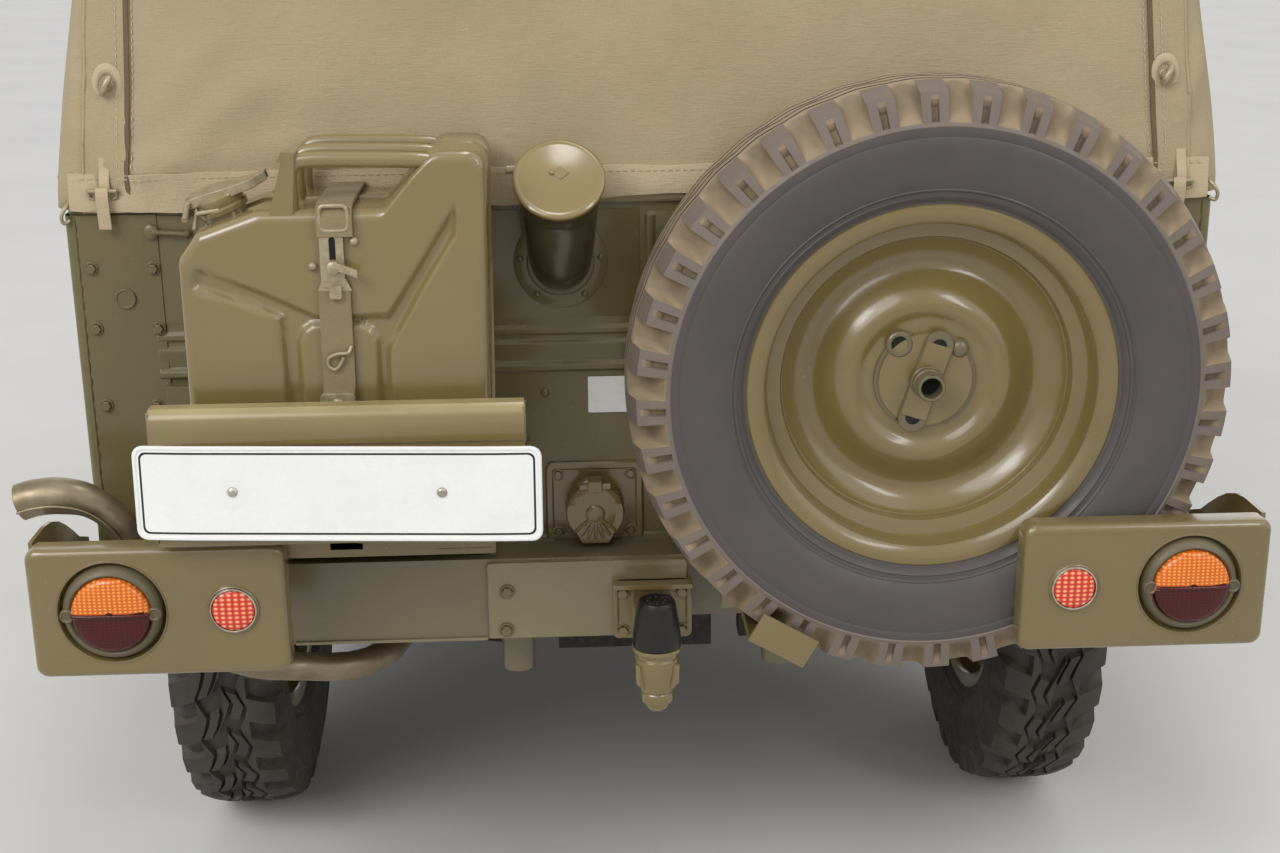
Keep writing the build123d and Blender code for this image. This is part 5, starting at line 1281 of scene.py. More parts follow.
def filler_mesh():
    """Tapered neck on its screwed base ring, and the glossy lid with its rim, pin and lock flap."""
    x, y, z = FILLER
    neck = Form()
    route = [(x, y - 4, z), (x, y - 20, z + 9), (x, y - 36, z + 40), (x, y - 48, z + 78),
             (x, y - 68, z + 104)]
    neck.tube(smooth_path(route, 6), lambda t: lerp(34, 50.5, t), 40, caps=False)
    neck.piece("filler_neck_tapered", neck_paint, "black_rubber", "filler_neck", angle=35)
    ring = Form()
    ring.lathe([(0, 58), (2.4, 57.6), (3.2, 56.4), (3.2, 42), (4.6, 40), (4, 33)], aim(FILLER, REAR), 56)
    ring.piece("filler_base_ring", panel, "panel_paint", angle=35)
    screws = Form()
    for turn in (6, 62, 118, 174, 234, 306):
        angle = radians(turn)
        screws.dome((x + 49.5 * cos(angle), y - 3, z + 49.5 * sin(angle)), r=4.2, h=3.2)
    screws.piece("filler_screws", panel, "panel_paint")
    tilt = radians(42)
    lid_place = aim((x, -622, 1092), (0, -cos(tilt), sin(tilt)))
    lid = Form()
    lid.lathe([(-9, 46), (-9, 52), (-8, 53.8), (-6, 54.4), (-3, 54.4), (-1.2, 53.2), (0, 50.5),
               (-0.8, 48.5), (-0.6, 46), (1.2, 24), (1.8, 0.01)], lid_place, 72)
    lid.prism([(0, 10), (10, 1), (0, -8), (-10, 1)], lid_place @ Matrix.Translation((2, 4, 0.6)), 2.8)
    lid.dome(lid_place @ Vector((-8, 6, 2.6)), (0, -cos(tilt), sin(tilt)), 3.5, 2.5)
    lid.tube([lid_place @ Vector((-62, 18, -9)), lid_place @ Vector((-50, 18, -9))], 5, 12)
    lid.piece("filler_lid_pressed", lid_paint, "olive_paint", "filler_lid", "filler_lid", bevel=0.7, angle=30)


# Middle of the trailer socket: x and z
SOCKET = (-69.0, 658.0)


def socket_mesh():
    """Trailer socket: bordered plate with bolts, round body, ribbed lid flap and its spring clip."""
    cx, cz = SOCKET
    form = Form()
    rows = []
    for inset, out in ((0, 0), (0, 3), (2, 5), (8, 5), (10, 3.2), (30, 3.2)):
        rows.append([Vector((px, PANEL_Y - out, pz)) for px, pz in
                     rounded(cx - 62 + inset, cx + 62 - inset, cz - 49 + inset, cz + 58 - inset,
                             max(2, 9 - inset / 2))])
    form.cup(rows)
    for dx in (-46, 46):
        for dz in (-35, 42):
            form.bolt((cx + dx, PANEL_Y - 3, cz + dz), r=5.5, h=4)
    place = aim((cx, PANEL_Y - 3, cz), REAR)
    form.lathe([(0, 37.5), (6, 36.5), (8, 34), (17, 34), (18, 36.5), (26, 37.5), (30, 36.5), (32, 33),
                (34, 26), (35, 10), (35, 0.01)], place, 48)
    form.piece("trailer_socket_body", olive, "olive_paint", "trailer_socket", angle=32)
    lid = Form()
    for i in range(7):
        angle = radians(-90 + (i - 3) * 16)
        ridge = [place @ polar(r, angle, h) for r, h in ((10, 35), (34, 33))]
        lid.tube(ridge, 2.6, 8)
    outline = arc(0, 0, 36, 160, 228, 8) + [(-17, -40), (17, -40)] + arc(0, 0, 36, -48, 20, 8)
    lid.prism(outline, place @ Matrix.Translation((0, 0, 29)), 5)
    lid.tube([(cx - 20, PANEL_Y - 32, cz + 34), (cx + 20, PANEL_Y - 32, cz + 34)], 5, 12)
    lid.box(cx - 9, cx + 9, PANEL_Y - 38, PANEL_Y - 12, cz + 28, cz + 42)
    lid.dome((cx, PANEL_Y - 37, cz), r=13, h=5)
    lid.piece("trailer_socket_lid", olive, "olive_paint", bevel=1.0, angle=35)


def hitch_mesh():
    """Bolted plate, ball under its black cap, ring, neck and tapered body with its nut."""
    form = Form()
    face = BEAM_FACE
    rows = []
    for inset, out in ((0, 0), (0, 9), (1.5, 11), (6, 11), (8, 9), (28, 9)):
        rows.append([Vector((px, face - out, pz)) for px, pz in
                     rounded(-50 + inset, 50 - inset, 504 + inset, 582 - inset, max(2, 8 - inset / 2))])
    form.cup(rows)
    form.box(-50, 50, face - 26, face, 576, 582)
    for dx in (-37, 37):
        for dz in (514, 566):
            form.bolt((dx, face - 9, dz), r=7, h=6)
    form.box(-24, 24, -700, face, 522, 562)
    stem = aim((0, -715, 451), UP)
    form.lathe([(3, 0.01), (3, 9), (6, 13), (10, 15), (14, 15.5), (15, 19), (17, 20), (27, 20), (29, 18.5),
                (31, 21), (44, 23.5), (58, 26), (68, 27), (73, 27), (75, 25), (80, 25), (81.5, 29),
                (84, 30.5), (87.5, 30), (88, 22)], stem, 44)
    for turn in (35, 145):
        rib = stem @ Matrix.Rotation(radians(turn + 180), 4, "Z")
        form.prism([(20, 32), (29, 42), (30, 68), (20, 70)], rib @ Matrix.Rotation(radians(90), 4, "X")
                   @ Matrix.Translation((0, 0, -4)), 8)
    form.piece("tow_hitch_forged", olive, "olive_paint", "tow_hitch", bevel=1.2, angle=32)
    cap = Form()
    cap.lathe([(86, 20), (87, 27), (89, 29.3), (93, 29.8), (98, 29.4), (120, 26.6), (138, 23.4), (143, 22.6),
               (146.4, 21), (147.2, 18.6), (145.8, 16.5), (145.5, 0.01)], stem, 48)
    cap.piece("tow_ball_cap", cap_black, "black_rubber", angle=40)
    dots = Form()
    for i in range(8):
        dots.dome(stem @ polar(11, pi * i / 4, 145.5), UP, 1.8, 1.4, steps=8)
    dots.piece("tow_ball_cap_dots", cap_black, "black_rubber")


# Body

def rear_panel():
    """Folds, beads, bolts, plug, corner strip with its weld, and small fittings of the rear panel."""
    folds = Form()
    profile = ((896, 0), (891, 3.5), (886, 3.5), (882, 0.6), (877, 0.6), (873, 4.5), (869, 4.5), (850, 1.5),
               (845, 6), (839, 6), (835, 0))
    rows = []
    for x in (-606, -602, -300, 0, 300, 602, 606):
        rows.append([Vector((x, PANEL_Y - (out if abs(x) < 604 else 0) - 0.2, z)) for z, out in profile])
    folds.grid(rows)
    rows = []
    for z in (905, 909, 1031, 1036):
        rows.append([Vector((x, PANEL_Y - (out if 906 < z < 1034 else 0) - 0.2, z)) for x, out in
                     ((-3, 0), (1, 4), (6, 4), (11, 1), (602, 1), (606, 0))])
    folds.grid(rows)
    rows = []
    for z in (905, 908, 1040):
        rows.append([Vector((x, PANEL_Y - (out if z > 906 else 0) - 0.2, z)) for x, out in
                     ((-606, 0), (-603, 1.2), (-11, 1.2), (-8, 0))])
    folds.grid(rows)
    rows = []
    sill = [(619, 0), (615, 1.5)]
    sill += [(606 + 8 * cos(a), 2 + 8 * sin(a)) for a in (0.3, 0.8, 1.3, 1.8, 2.4, 3.0)]
    for z, out in sill:
        rows.append([Vector((x, PANEL_Y - out - 0.2, z)) for x in (-640, -200, 200, 640)])
    folds.grid(rows)
    folds.piece("rear_panel_folds", panel, "panel_paint", bevel=1.2, angle=25)

    strips = Form()
    for side in (-1, 1):
        rows = []
        for k in range(15):
            z = lerp(606, 1042, k / 14)
            rows.append([Vector((side * xx, PANEL_Y - out, z)) for xx, out in
                         ((590, 0), (591, 2.6), (693, 2.6), (697, 1.4), (700, -2), (701.2, -6), (701.2, -70),
                          (699.5, -71))])
        strips.grid(rows)
    strips.piece("corner_strips", panel, "panel_paint", bevel=0.6)

    weld = Form()
    for side in (-1, 1):
        route = []
        for k in range(60):
            z = lerp(608, 1040, k / 59)
            route.append((side * (689 + 1.2 * noise.noise(Vector((z / 12, side, 0)))), PANEL_Y - 2, z))
        weld.tube(route, lambda t: 2.2 + 0.8 * sin(t * 230), 8)
    weld.piece("corner_weld", panel, "panel_paint")

    bolts = Form()
    for x, z in ((-674, 977), (-600, 976), (-675, 902), (-600, 901), (-672, 804), (-610, 802), (655, 977),
                 (655, 902), (606, 977), (606, 902), (655, 804)):
        bolts.bolt((x, PANEL_Y - 2.4, z), r=6.5, h=5)
    for x, z in ((-129, 808), (-148, 1018), (-566, 760), (40, 700)):
        bolts.dome((x, PANEL_Y, z), r=6, h=3.5)
    bolts.lathe([(0, 13), (3, 12.4), (3.4, 10.5), (2.2, 10), (2.2, 0.01)],
                aim((-636, PANEL_Y - 2.4, 939), REAR), 28)
    bolts.lathe([(0, 10), (5, 9), (7, 5), (7, 0.01)], aim((-598, PANEL_Y - 2, 1021), REAR), 20)
    bolts.tube([(-596, PANEL_Y - 7, 1021), (-556, PANEL_Y - 7, 1018)], 3.2, 10)
    bolts.dome((-556, PANEL_Y - 7, 1018), (1, 0, 0), 6, 6)
    bolts.box(-594, -564, PANEL_Y - 20, PANEL_Y, 799, 831)
    for x, z in ((-182, 570), (-184, 518)):
        bolts.bolt((x, -613, z), r=7, h=5)
    bolts.piece("rear_panel_bolts", panel, "panel_paint", bevel=0.4, angle=30)

    label = Form()
    label.prism(rounded(-75, -25, 781, 828, 1.5, 2), aim((0, PANEL_Y - 1.2, 0), REAR), 0.5)
    label.piece("blank_label", white, "plate_white")


def tow_beam():
    """Joint plate, folded lips and brackets on the beam."""
    form = Form()
    form.prism(rounded(-206, 44, 506, 608, 4, 2), aim((0, BEAM_FACE, 0), REAR), 5)
    for x0, x1, out, top in ((-454, -207, 600, 606), (-206, 44, 612, 609), (45, 330, 600, 606)):
        rows = []
        for a in (-0.5, 0, 0.4, 0.8, 1.2, 1.6, 2.0):
            rows.append([Vector((x, -out + 9 - 9.6 * cos(a), top - 9 + 9.6 * sin(a)))
                         for x in (x0, x0 + 2, x1 - 2, x1)])
        form.grid(rows)
    form.box(88, 132, -613, -605, 540, 575)
    form.bolt((110, -613, 558), r=6, h=5)
    form.box(-450, -208, -610, -606, 503, 507)
    form.piece("tow_beam_plate", beam_paint, "olive_paint", bevel=1.0)


filler_mesh()
socket_mesh()
hitch_mesh()
rear_panel()
tow_beam()


# Doors

DOOR_TOP = 1600.0
DOOR_TOP_HALF = 613.6
# Width of a door's border beside its window, and the window's lower and upper edge
DOOR_BORDER = 42.0
DOOR_WINDOW = (1120.0, 1558.0)


def above_belt(z):
    """Share of the way from the belt to the top of the doors."""
    return (z - BELT) / (DOOR_TOP - BELT)


def door_half(z):
    """Half width of a door's outer face at a height."""
    return BODY_HALF if z < BELT else lerp(BODY_HALF, DOOR_TOP_HALF, above_belt(z))


# Each door: rear and front edge, lower edge, how far its front edge leans back, heights of its hinges
DOOR_SPECS = {"front": (655.0, 1275.0, 645.0, 70.0, (720.0, 980.0)),
              "rear": (65.0, 605.0, 865.0, 0.0, (905.0, 1000.0))}


def door_pieces():
    """Canvas skin over a tube frame, with its window, welts, fasteners, strap and hinge barrels."""
    for name, side in SIDES:
        for place, (rear, front, low, lean, hinges) in DOOR_SPECS.items():
            body = f"door_{place}_{name}"
            height = DOOR_TOP - low

            def front_at(z):
                return front if z < BELT else lerp(front, front - lean, above_belt(z))

            def bulge(y, z):
                u = (y - rear) / (front - rear)
                v = (z - low) / height
                soft = 3.5 * noise.noise(Vector((y / 120, z / 150, side * 5 + rear / 100)))
                return (soft - 2.0) * min(1, 8 * u, 8 * (1 - u), 8 * v, 8 * (1 - v))

            win_low, win_high = DOOR_WINDOW
            win_rear = rear + DOOR_BORDER
            skin = Form()
            columns = len(spread(rear, win_rear, front - DOOR_BORDER, front, pitch=24)) - 5
            grid = []
            for z in spread(low, BELT, win_low, win_high, DOOR_TOP, pitch=22):
                near = front_at(z) - DOOR_BORDER
                ys = [rear, rear + 21] + [lerp(win_rear, near, k / (columns - 1)) for k in range(columns)]
                ys += [near + 21, front_at(z)]
                grid.append([Vector((side * (door_half(z) - 2 + bulge(y, z)), y, z)) for y in ys])
            skin.grid(grid)
            cut = []
            for face in skin.bm.faces:
                c = face.calc_center_median()
                if win_low < c.z < win_high and win_rear < c.y < front_at(c.z) - DOOR_BORDER:
                    cut.append(face)
            bmesh.ops.delete(skin.bm, geom=cut, context="FACES")
            tubes = Form()
            loop = [(rear + 9, low + 9), (front - 9, low + 9), (front - 9, BELT)]
            loop += [(front_at(1590) - 9, 1591), (rear + 9, 1591)]
            route = [Vector((side * (door_half(z) - 9.5), y, z)) for y, z in dense(loop, 60, 2)]
            tubes.tube(route + route[:1], 6.5, 10, caps=False)
            for z in (BELT, win_low - 12):
                tubes.tube([(side * (door_half(z) - 9.5), rear + 9, z),
                            (side * (door_half(z) - 9.5), front_at(z) - 9, z)], 6, 10)
            tubes.piece(f"door_tubes_{place}_{name}", olive, "olive_paint", body=body)
            obj = skin.piece(f"door_skin_{place}_{name}", canvas, "canvas", body, body, thick=3, angle=50)

            trim = Form()
            corners = [(win_rear, win_low), (front_at(win_low) - DOOR_BORDER, win_low),
                       (front_at(win_high) - DOOR_BORDER, win_high), (win_rear, win_high)]
            outline = dense(round_corners([(y, z, 20) for y, z in corners], 4), 30)
            mid = Vector(((win_rear + front - DOOR_BORDER) / 2, (win_low + win_high) / 2))
            rows = []
            for p in outline:
                inward = (mid - p).normalized()
                row = []
                for shift, out in ((-14, -1), (-13, 2), (9, 2), (10, -3)):
                    q = p + inward * shift
                    row.append(Vector((side * (door_half(q.y) + out), q.x, q.y)))
                rows.append(row)
            trim.grid(rows, around=True, loop=True)
            rows = []
            for z, out in ((BELT + 16, -1), (BELT + 15, 2.4), (BELT - 15, 2.4), (BELT - 16, -1)):
                rows.append([Vector((side * (door_half(z) + out), y, z))
                             for y in spread(rear + 4, front - 4, pitch=60)])
            trim.grid(rows)
            trim.piece(f"door_welts_{place}_{name}", canvas, "canvas", body=body, angle=40)

            metalwork = Form()
            for z in hinges:
                pin = aim((side * (BODY_HALF + 8), front, z - 18), UP)
                metalwork.lathe([(0, 4.3), (0, 8), (0.6, 8.5), (35.4, 8.5), (36, 8), (36, 4.3)], pin, 24)
                x0, x1 = sorted((side * (BODY_HALF - 1), side * (BODY_HALF + 4)))
                metalwork.box(x0, x1, front - 95, front - 3, z - 14, z + 14)
                for dy in (30, 75):
                    metalwork.dome((side * (BODY_HALF + 4), front - dy, z), (side, 0, 0), 5, 3)
            handle_z = 1000 if place == "front" else 1010
            hub = aim((side * BODY_HALF, rear + 48, handle_z), (side, 0, 0))
            metalwork.lathe([(0, 18), (3, 17), (4, 11), (10, 10), (12, 0.01)], hub, 24)
            metalwork.hose([(side * (BODY_HALF + 8), rear + 46, handle_z),
                            (side * (BODY_HALF + 13), rear + 75, handle_z - 2),
                            (side * (BODY_HALF + 12), rear + 120, handle_z - 6)], 4, 5.5, 12)
            metalwork.piece(f"door_fittings_{place}_{name}", olive, "olive_paint", body=body, bevel=0.8)


door_pieces()


# Seats

SEAT_X = 330.0
PAD_VOXEL = 0.009
PAD_CAP = 0.017
# Each pad: name, CAD node, places across, width, length, thickness, y and z under its middle and the
# direction along it
PADS = (("seat_cushion", "front_seats", (-SEAT_X, SEAT_X), 452, 402, 72, 869, 656.5, AHEAD),
        ("seat_back", "front_seats", (-SEAT_X, SEAT_X), 452, 402, 54, 628, 953, (0, -0.124, 0.992)),
        ("bench_cushion", "rear_bench", (0,), 940, 414, 72, 143, 701.5, AHEAD),
        ("bench_back", "rear_bench", (0,), 940, 396, 54, -104, 990, (0, -0.1065, 0.9943)))


def pad_shell(width, length, thick):
    """Block with round edges on its resting face, remeshed evenly."""
    bm = bmesh.new()
    bmesh.ops.create_cube(bm, size=1.0)
    bmesh.ops.scale(bm, vec=Vector((width, length, thick)) * MM, verts=bm.verts)
    bmesh.ops.translate(bm, vec=(0, 0, thick * MM / 2), verts=bm.verts)
    bmesh.ops.bevel(bm, geom=bm.edges[:], offset=0.02, segments=4, profile=0.5, affect="EDGES")
    mesh = bpy.data.meshes.new("pad")
    bm.to_mesh(mesh)
    bm.free()
    block = bpy.data.objects.new("pad", mesh)
    bpy.context.scene.collection.objects.link(block)
    even = block.modifiers.new("even", "REMESH")
    even.mode = "VOXEL"
    even.voxel_size = PAD_VOXEL
    shell = bpy.data.meshes.new_from_object(block.evaluated_get(bpy.context.evaluated_depsgraph_get()))
    bpy.data.objects.remove(block)
    return shell


def swell(shells):
    """Blow the pads up as cloth, with seams and resting faces held, and cap how far each point moves."""
    tests = []
    for mesh, (width, length, thick) in shells:
        test = bpy.data.objects.new("swelling", mesh)
        bpy.context.scene.collection.objects.link(test)
        held = test.vertex_groups.new(name="held")
        for v in mesh.vertices:
            beside = abs(v.co.x) > width * MM / 2 - 0.012 or abs(v.co.y) > length * MM / 2 - 0.012
            if v.co.z < 0.004 or (beside and abs(v.co.z - (thick - 15) * MM) < 0.006):
                held.add([v.index], 1.0, "REPLACE")
        cloth_mod = test.modifiers.new("swell", "CLOTH")
        settings = cloth_mod.settings
        settings.quality = 5
        settings.mass = 0.3
        settings.bending_stiffness = 0.5
        settings.use_pressure = True
        settings.uniform_pressure_force = 4
        settings.effector_weights.gravity = 0
        settings.vertex_group_mass = "held"
        cloth_mod.collision_settings.use_self_collision = False
        tests.append(test)
    scene = bpy.context.scene
    for step in range(1, 21):
        scene.frame_set(step)
    graph = bpy.context.evaluated_depsgraph_get()
    for test in tests:
        moved = test.evaluated_get(graph).to_mesh()
        spots = []
        for old, new in zip(test.data.vertices, moved.vertices):
            push = new.co - old.co
            if push.length > PAD_CAP:
                push = push.normalized() * PAD_CAP
            spots.append(old.co + push)
        for v, spot in zip(test.data.vertices, spots):
            v.co = spot
        bpy.data.objects.remove(test)
    scene.frame_set(1)


def seat_pads():
    """Cushions and backs: swollen pads with sewn channels, piping round them, and a hoop behind each back."""
    shells = [(pad_shell(*row[3:6]), row[3:6]) for row in PADS]
    swell(shells)
    for (name, node, places, width, length, thick, y, z, along), (mesh, _) in zip(PADS, shells):
        back = along[2] > 0
        rows = (-length / 6, length / 6)
        columns = (-width / 6, width / 6) if width > 600 else ()
        for x in places:
            axis = Vector((-1 if back else 1, 0, 0))
            up = axis.cross(Vector(along)).normalized()
            place = Matrix((axis, Vector(along).normalized(), up)).transposed().to_4x4()
            place.translation = Vector((x, y, z))
            form = Form()
            form.bm.from_mesh(mesh)
            for v in form.bm.verts:
                u, w, h = v.co / MM
                gap = min([abs(w - row) for row in rows] + [abs(u - column) for column in columns])
                if h > thick * 0.6:
                    h -= 6 * exp(-(gap / 8) ** 2)
                wave = 0.8 * noise.noise(Vector((u / 60, w / 60, x / 100 + h / 50)))
                v.co = place @ Vector((u, w, h + wave))
            side_name = f"{name}_{'left' if x < 0 else 'right' if x > 0 else 'rear'}"
            pad = form.piece(side_name, seat_cloth, "seat_cover", node, angle=180, weld=False)
            seams = Form()
            half_w, half_l = width / 2 + 0.5, length / 2 + 0.5
            edge = [place @ Vector((u, w, thick - 15))
                    for u, w in rounded(-half_w, half_w, -half_l, half_l, 21, 8)]
            seams.ring(edge, 4.2, 10)
            if back:
                hoop = [(-190, -210), (-190, 120), (-182, 158), (-152, 170), (0, 172), (152, 170), (182, 158),
                        (190, 120), (190, -210)]
                share = width / 452
                route = [place @ Vector((u * share, w, -11)) for u, w in hoop]
                seams.hose(route, 5, 9, 12, mat=1)
            seams.piece(f"{side_name}_seams", [seat_cloth, olive], "seat_cover", angle=50)


seat_pads()


# Nose

# Where the wings meet the body, and how far their top drops to the nose
COWL_Y = 1330.0
COWL_Z = 1040.0
WING_DROP = 115.0
HOOD_REAR = 1342.0
HOOD_FRONT = 2558.0
HOOD_HALF = 395.0
HOOD_RISE = 62.0
# Where the hood starts to round down to the nose
HOOD_BROW = 2370.0
CATCH_Y = 2240.0


def wing_height(y):
    """Height of the wings' top along the car."""
    return COWL_Z - WING_DROP * (y - COWL_Y) / (NOSE_Y - COWL_Y)


def hood_crown(x):
    """How far the hood swells above its edges."""
    return 4 * (1 - (x / HOOD_HALF) ** 2)


def hood_mesh():
    """Pressed cover with soft shoulders and nose, two ribs, a grip, hooks and its hinge barrels."""
    rear, front = HOOD_REAR, HOOD_FRONT
    form = Form()

    def section(y, rise):
        base = wing_height(y) + 6
        half = bent([(0, base + rise, 0), (325, base + rise, 40), (HOOD_HALF, base + min(14, rise / 2), 9),
                     (HOOD_HALF, base, 0)])
        across = [(lerp(0, half[1][0], k / 6), half[0][1]) for k in range(6)] + [tuple(p) for p in half[1:]]
        row = [Vector((x, y, z + hood_crown(x) * min(1, rise / 40))) for x, z in across]
        return [Vector((-p.x, p.y, p.z)) for p in reversed(row[1:])] + row

    rows = [[Vector((p.x, rear, wing_height(rear) + 8)) for p in section(rear, HOOD_RISE)]]
    rows.append(section(rear, HOOD_RISE - 4))
    rows.append(section(rear + 4, HOOD_RISE))
    for y in spread(rear + 30, HOOD_BROW, pitch=70):
        rows.append(section(y, HOOD_RISE))
    for k in range(1, 13):
        t = k / 12
        rows.append(section(HOOD_BROW + (front - HOOD_BROW - 2) * t, HOOD_RISE - 36 * t ** 2.4))
    last = section(front, 22)
    foot = wing_height(front) + 6
    rows.append([Vector((p.x, front, lerp(foot, p.z, 0.8))) for p in last])
    rows.append([Vector((p.x, front, foot)) for p in last])
    rows.append([Vector((p.x * 0.97, front - 12, foot)) for p in last])
    form.grid(rows)
    form.piece("hood_pressed", panel, "panel_paint", "hood", "hood", thick=2.5, angle=60)

    trim = Form()
    for side in (-1, 1):
        for x in (150, 250):
            rows = []
            for y in spread(rear + 70, 2360, pitch=60):
                end = fade(rear + 70, 2360, 40, y)
                base = wing_height(y) + 6 + HOOD_RISE + hood_crown(x) + 1.0
                rows.append([Vector((side * x + u, y, base + h * end)) for u, h in
                             ((-11, -0.4), (-7, 2.4), (0, 3.6), (7, 2.4), (11, -0.4))])
            trim.grid(rows)
        barrel = aim((side * 300, rear, 1106.9), (side, 0, 0))
        trim.lathe([(0, 4.3), (0, 8), (0.6, 8.5), (35.4, 8.5), (36, 8), (36, 4.3)], barrel, 28)
        trim.box(*sorted((side * 304, side * 332)), rear + 4, rear + 70, 1106, 1109.5)
        for dy in (26, 54):
            trim.dome((side * 318, rear + dy, 1108), UP, 5.5, 3.5)
        hook_z = wing_height(CATCH_Y) + 40
        trim.box(*sorted((side * 356, side * 372)), CATCH_Y - 15, CATCH_Y + 15, hook_z - 4, hook_z + 8)
        trim.dome((side * 364, CATCH_Y, hook_z + 8), UP, 8, 6)
    grip = [(-62, 2474, 962), (-60, 2486, 978), (-40, 2490, 983), (40, 2490, 983), (60, 2486, 978),
            (62, 2474, 962)]
    trim.hose(grip, 5, 5, 12)
    trim.piece("hood_trim", panel, "panel_paint", body="hood", angle=40)


# Edges of the wheel arches from the axle: y, z, corner radius
FRONT_ARCH = ((-426, 452, 0), (-402, 562, 18), (-291, 783, 18), (291, 783, 18), (402, 562, 18), (405, 552, 0))
REAR_ARCH = ((-383, 601, 0), (-291, 783, 18), (291, 783, 18), (402, 562, 18), (433, 432, 0))
# Sections of the pressed beads: height from the middle, how far they stand out
WIDE_BEAD = ((-13, 0), (-8, 3), (0, 4.4), (8, 3), (13, 0))
NARROW_BEAD = ((-9, 0), (-5, 2.6), (0, 3.6), (5, 2.6), (9, 0))
# Each bead of a side: rear and front end, height or 0 to follow the wing, section, length of its ends, pitch
SIDE_BEADS = ((1352, 2528, 0, WIDE_BEAD, 30, 45), (-505, 48, 962, WIDE_BEAD, 30, 45),
              (440, 1330, 452, NARROW_BEAD, 25, 60), (660, 1270, 615, NARROW_BEAD, 25, 60))


def side_trim():
    """Rolled arch edges, pressed beads, the seam between wing and body, bolts and the sill's fold."""
    form = Form()
    seam = Form()
    for _, side in SIDES:
        for centre, edge in ((WHEELBASE, FRONT_ARCH), (0, REAR_ARCH)):
            form.tube([(side * (BODY_HALF - 1.5), centre + y, z) for y, z in bent(edge)], 5.2, 12)
        for start, stop, height, bead, run, pitch in SIDE_BEADS:
            rows = []
            for y in spread(start, stop, pitch=pitch):
                z = height if height else wing_height(y) - 64
                end = fade(start, stop, run, y)
                rows.append([Vector((side * (BODY_HALF - 0.5 + out * end), y, z + dz)) for dz, out in bead])
            form.grid(rows)
        seam.tube([(side * (BODY_HALF - 1), COWL_Y, z) for z in spread(436, 1030, pitch=60)], 3.2, 8)
        seam.tube([(x, COWL_Y + 1, COWL_Z + 0.5) for x in spread(side * 345, side * 692, pitch=50)], 3.2, 8)
        for z in (480, 600, 760, 920, 1010):
            form.bolt((side * BODY_HALF, 1352, z), (side, 0, 0), 6, 4)
        for y in (1420, 1760, 2100, 2440):
            form.bolt((side * 352, y, wing_height(y)), UP, 6, 4)
        for z in (585, 700, 905):
            form.bolt((side * 655, NOSE_Y, z), AHEAD, 5.5, 4)
        for z in (600, 740, 880):
            form.dome((side * 318, NOSE_Y, z), AHEAD, 5.5, 3)
    form.piece("body_beads", panel, "panel_paint", angle=40)
    seam.piece("wing_seams", black, "black_rubber", angle=50)


def grille():
    """Raised surround and rims of the slots, the radiator behind them, and two bonnet catches."""
    face = NOSE_Y
    form = Form()
    rim = [(x, face + 0.5, z) for x, z in rounded(-262, 262, 584, 886, 34, 8)]
    form.ring(rim, 5.5, 12)
    for i in range(9):
        x = (i - 4) * 50.0
        slot = [(px, face, pz) for px, pz in rounded(x - 15, x + 15, 608, 862, 10, 5)]
        form.ring(slot, 3.4, 8)
    form.piece("grille_rims", panel, "panel_paint", angle=50)
    core = Form()
    core.box(-236, 236, 2496, 2530, 606, 858)
    for x in spread(-236, 236, pitch=9):
        core.box(x - 1, x + 1, 2530, 2534, 606, 858)
    core.piece("radiator_core", radiator, "black_metal")
    tank = Form()
    tank.box(-246, 246, 2486, 2538, 858, 890)
    tank.box(-246, 246, 2486, 2538, 582, 606)
    for x in (-246, 236):
        tank.box(x, x + 10, 2486, 2538, 604, 860)
    tank.lathe([(0, 22), (14, 22), (16, 26), (24, 26), (26, 0.01)], aim((120, 2512, 888), UP), 24)
    tank.piece("radiator_tanks", black_steel, "black_metal", bevel=3)
    catch = Form()
    strap = Form()
    for _, side in SIDES:
        z = wing_height(CATCH_Y)
        catch.box(*sorted((side * 412, side * 452)), CATCH_Y - 18, CATCH_Y + 18, z - 1, z + 4)
        catch.tube([(side * 432, CATCH_Y + dy, z + 9) for dy in (-16, 16)], 4, 10)
        for dy in (-12, 12):
            catch.dome((side * 446, CATCH_Y + dy, z + 4), UP, 4, 3)
        route = [(side * u, CATCH_Y, z + h) for u, h in ((432, 10), (420, 22), (409, 38))]
        strap.strip(smooth_path(route, 4), AHEAD, 17, 6)
        strap.tube([(side * 407, CATCH_Y + dy, z + 40) for dy in (-22, 22)], 6, 12)
    catch.piece("hood_catch_plates", panel, "panel_paint", bevel=0.8)
    strap.piece("hood_catch_straps", black, "black_rubber", bevel=1.0)


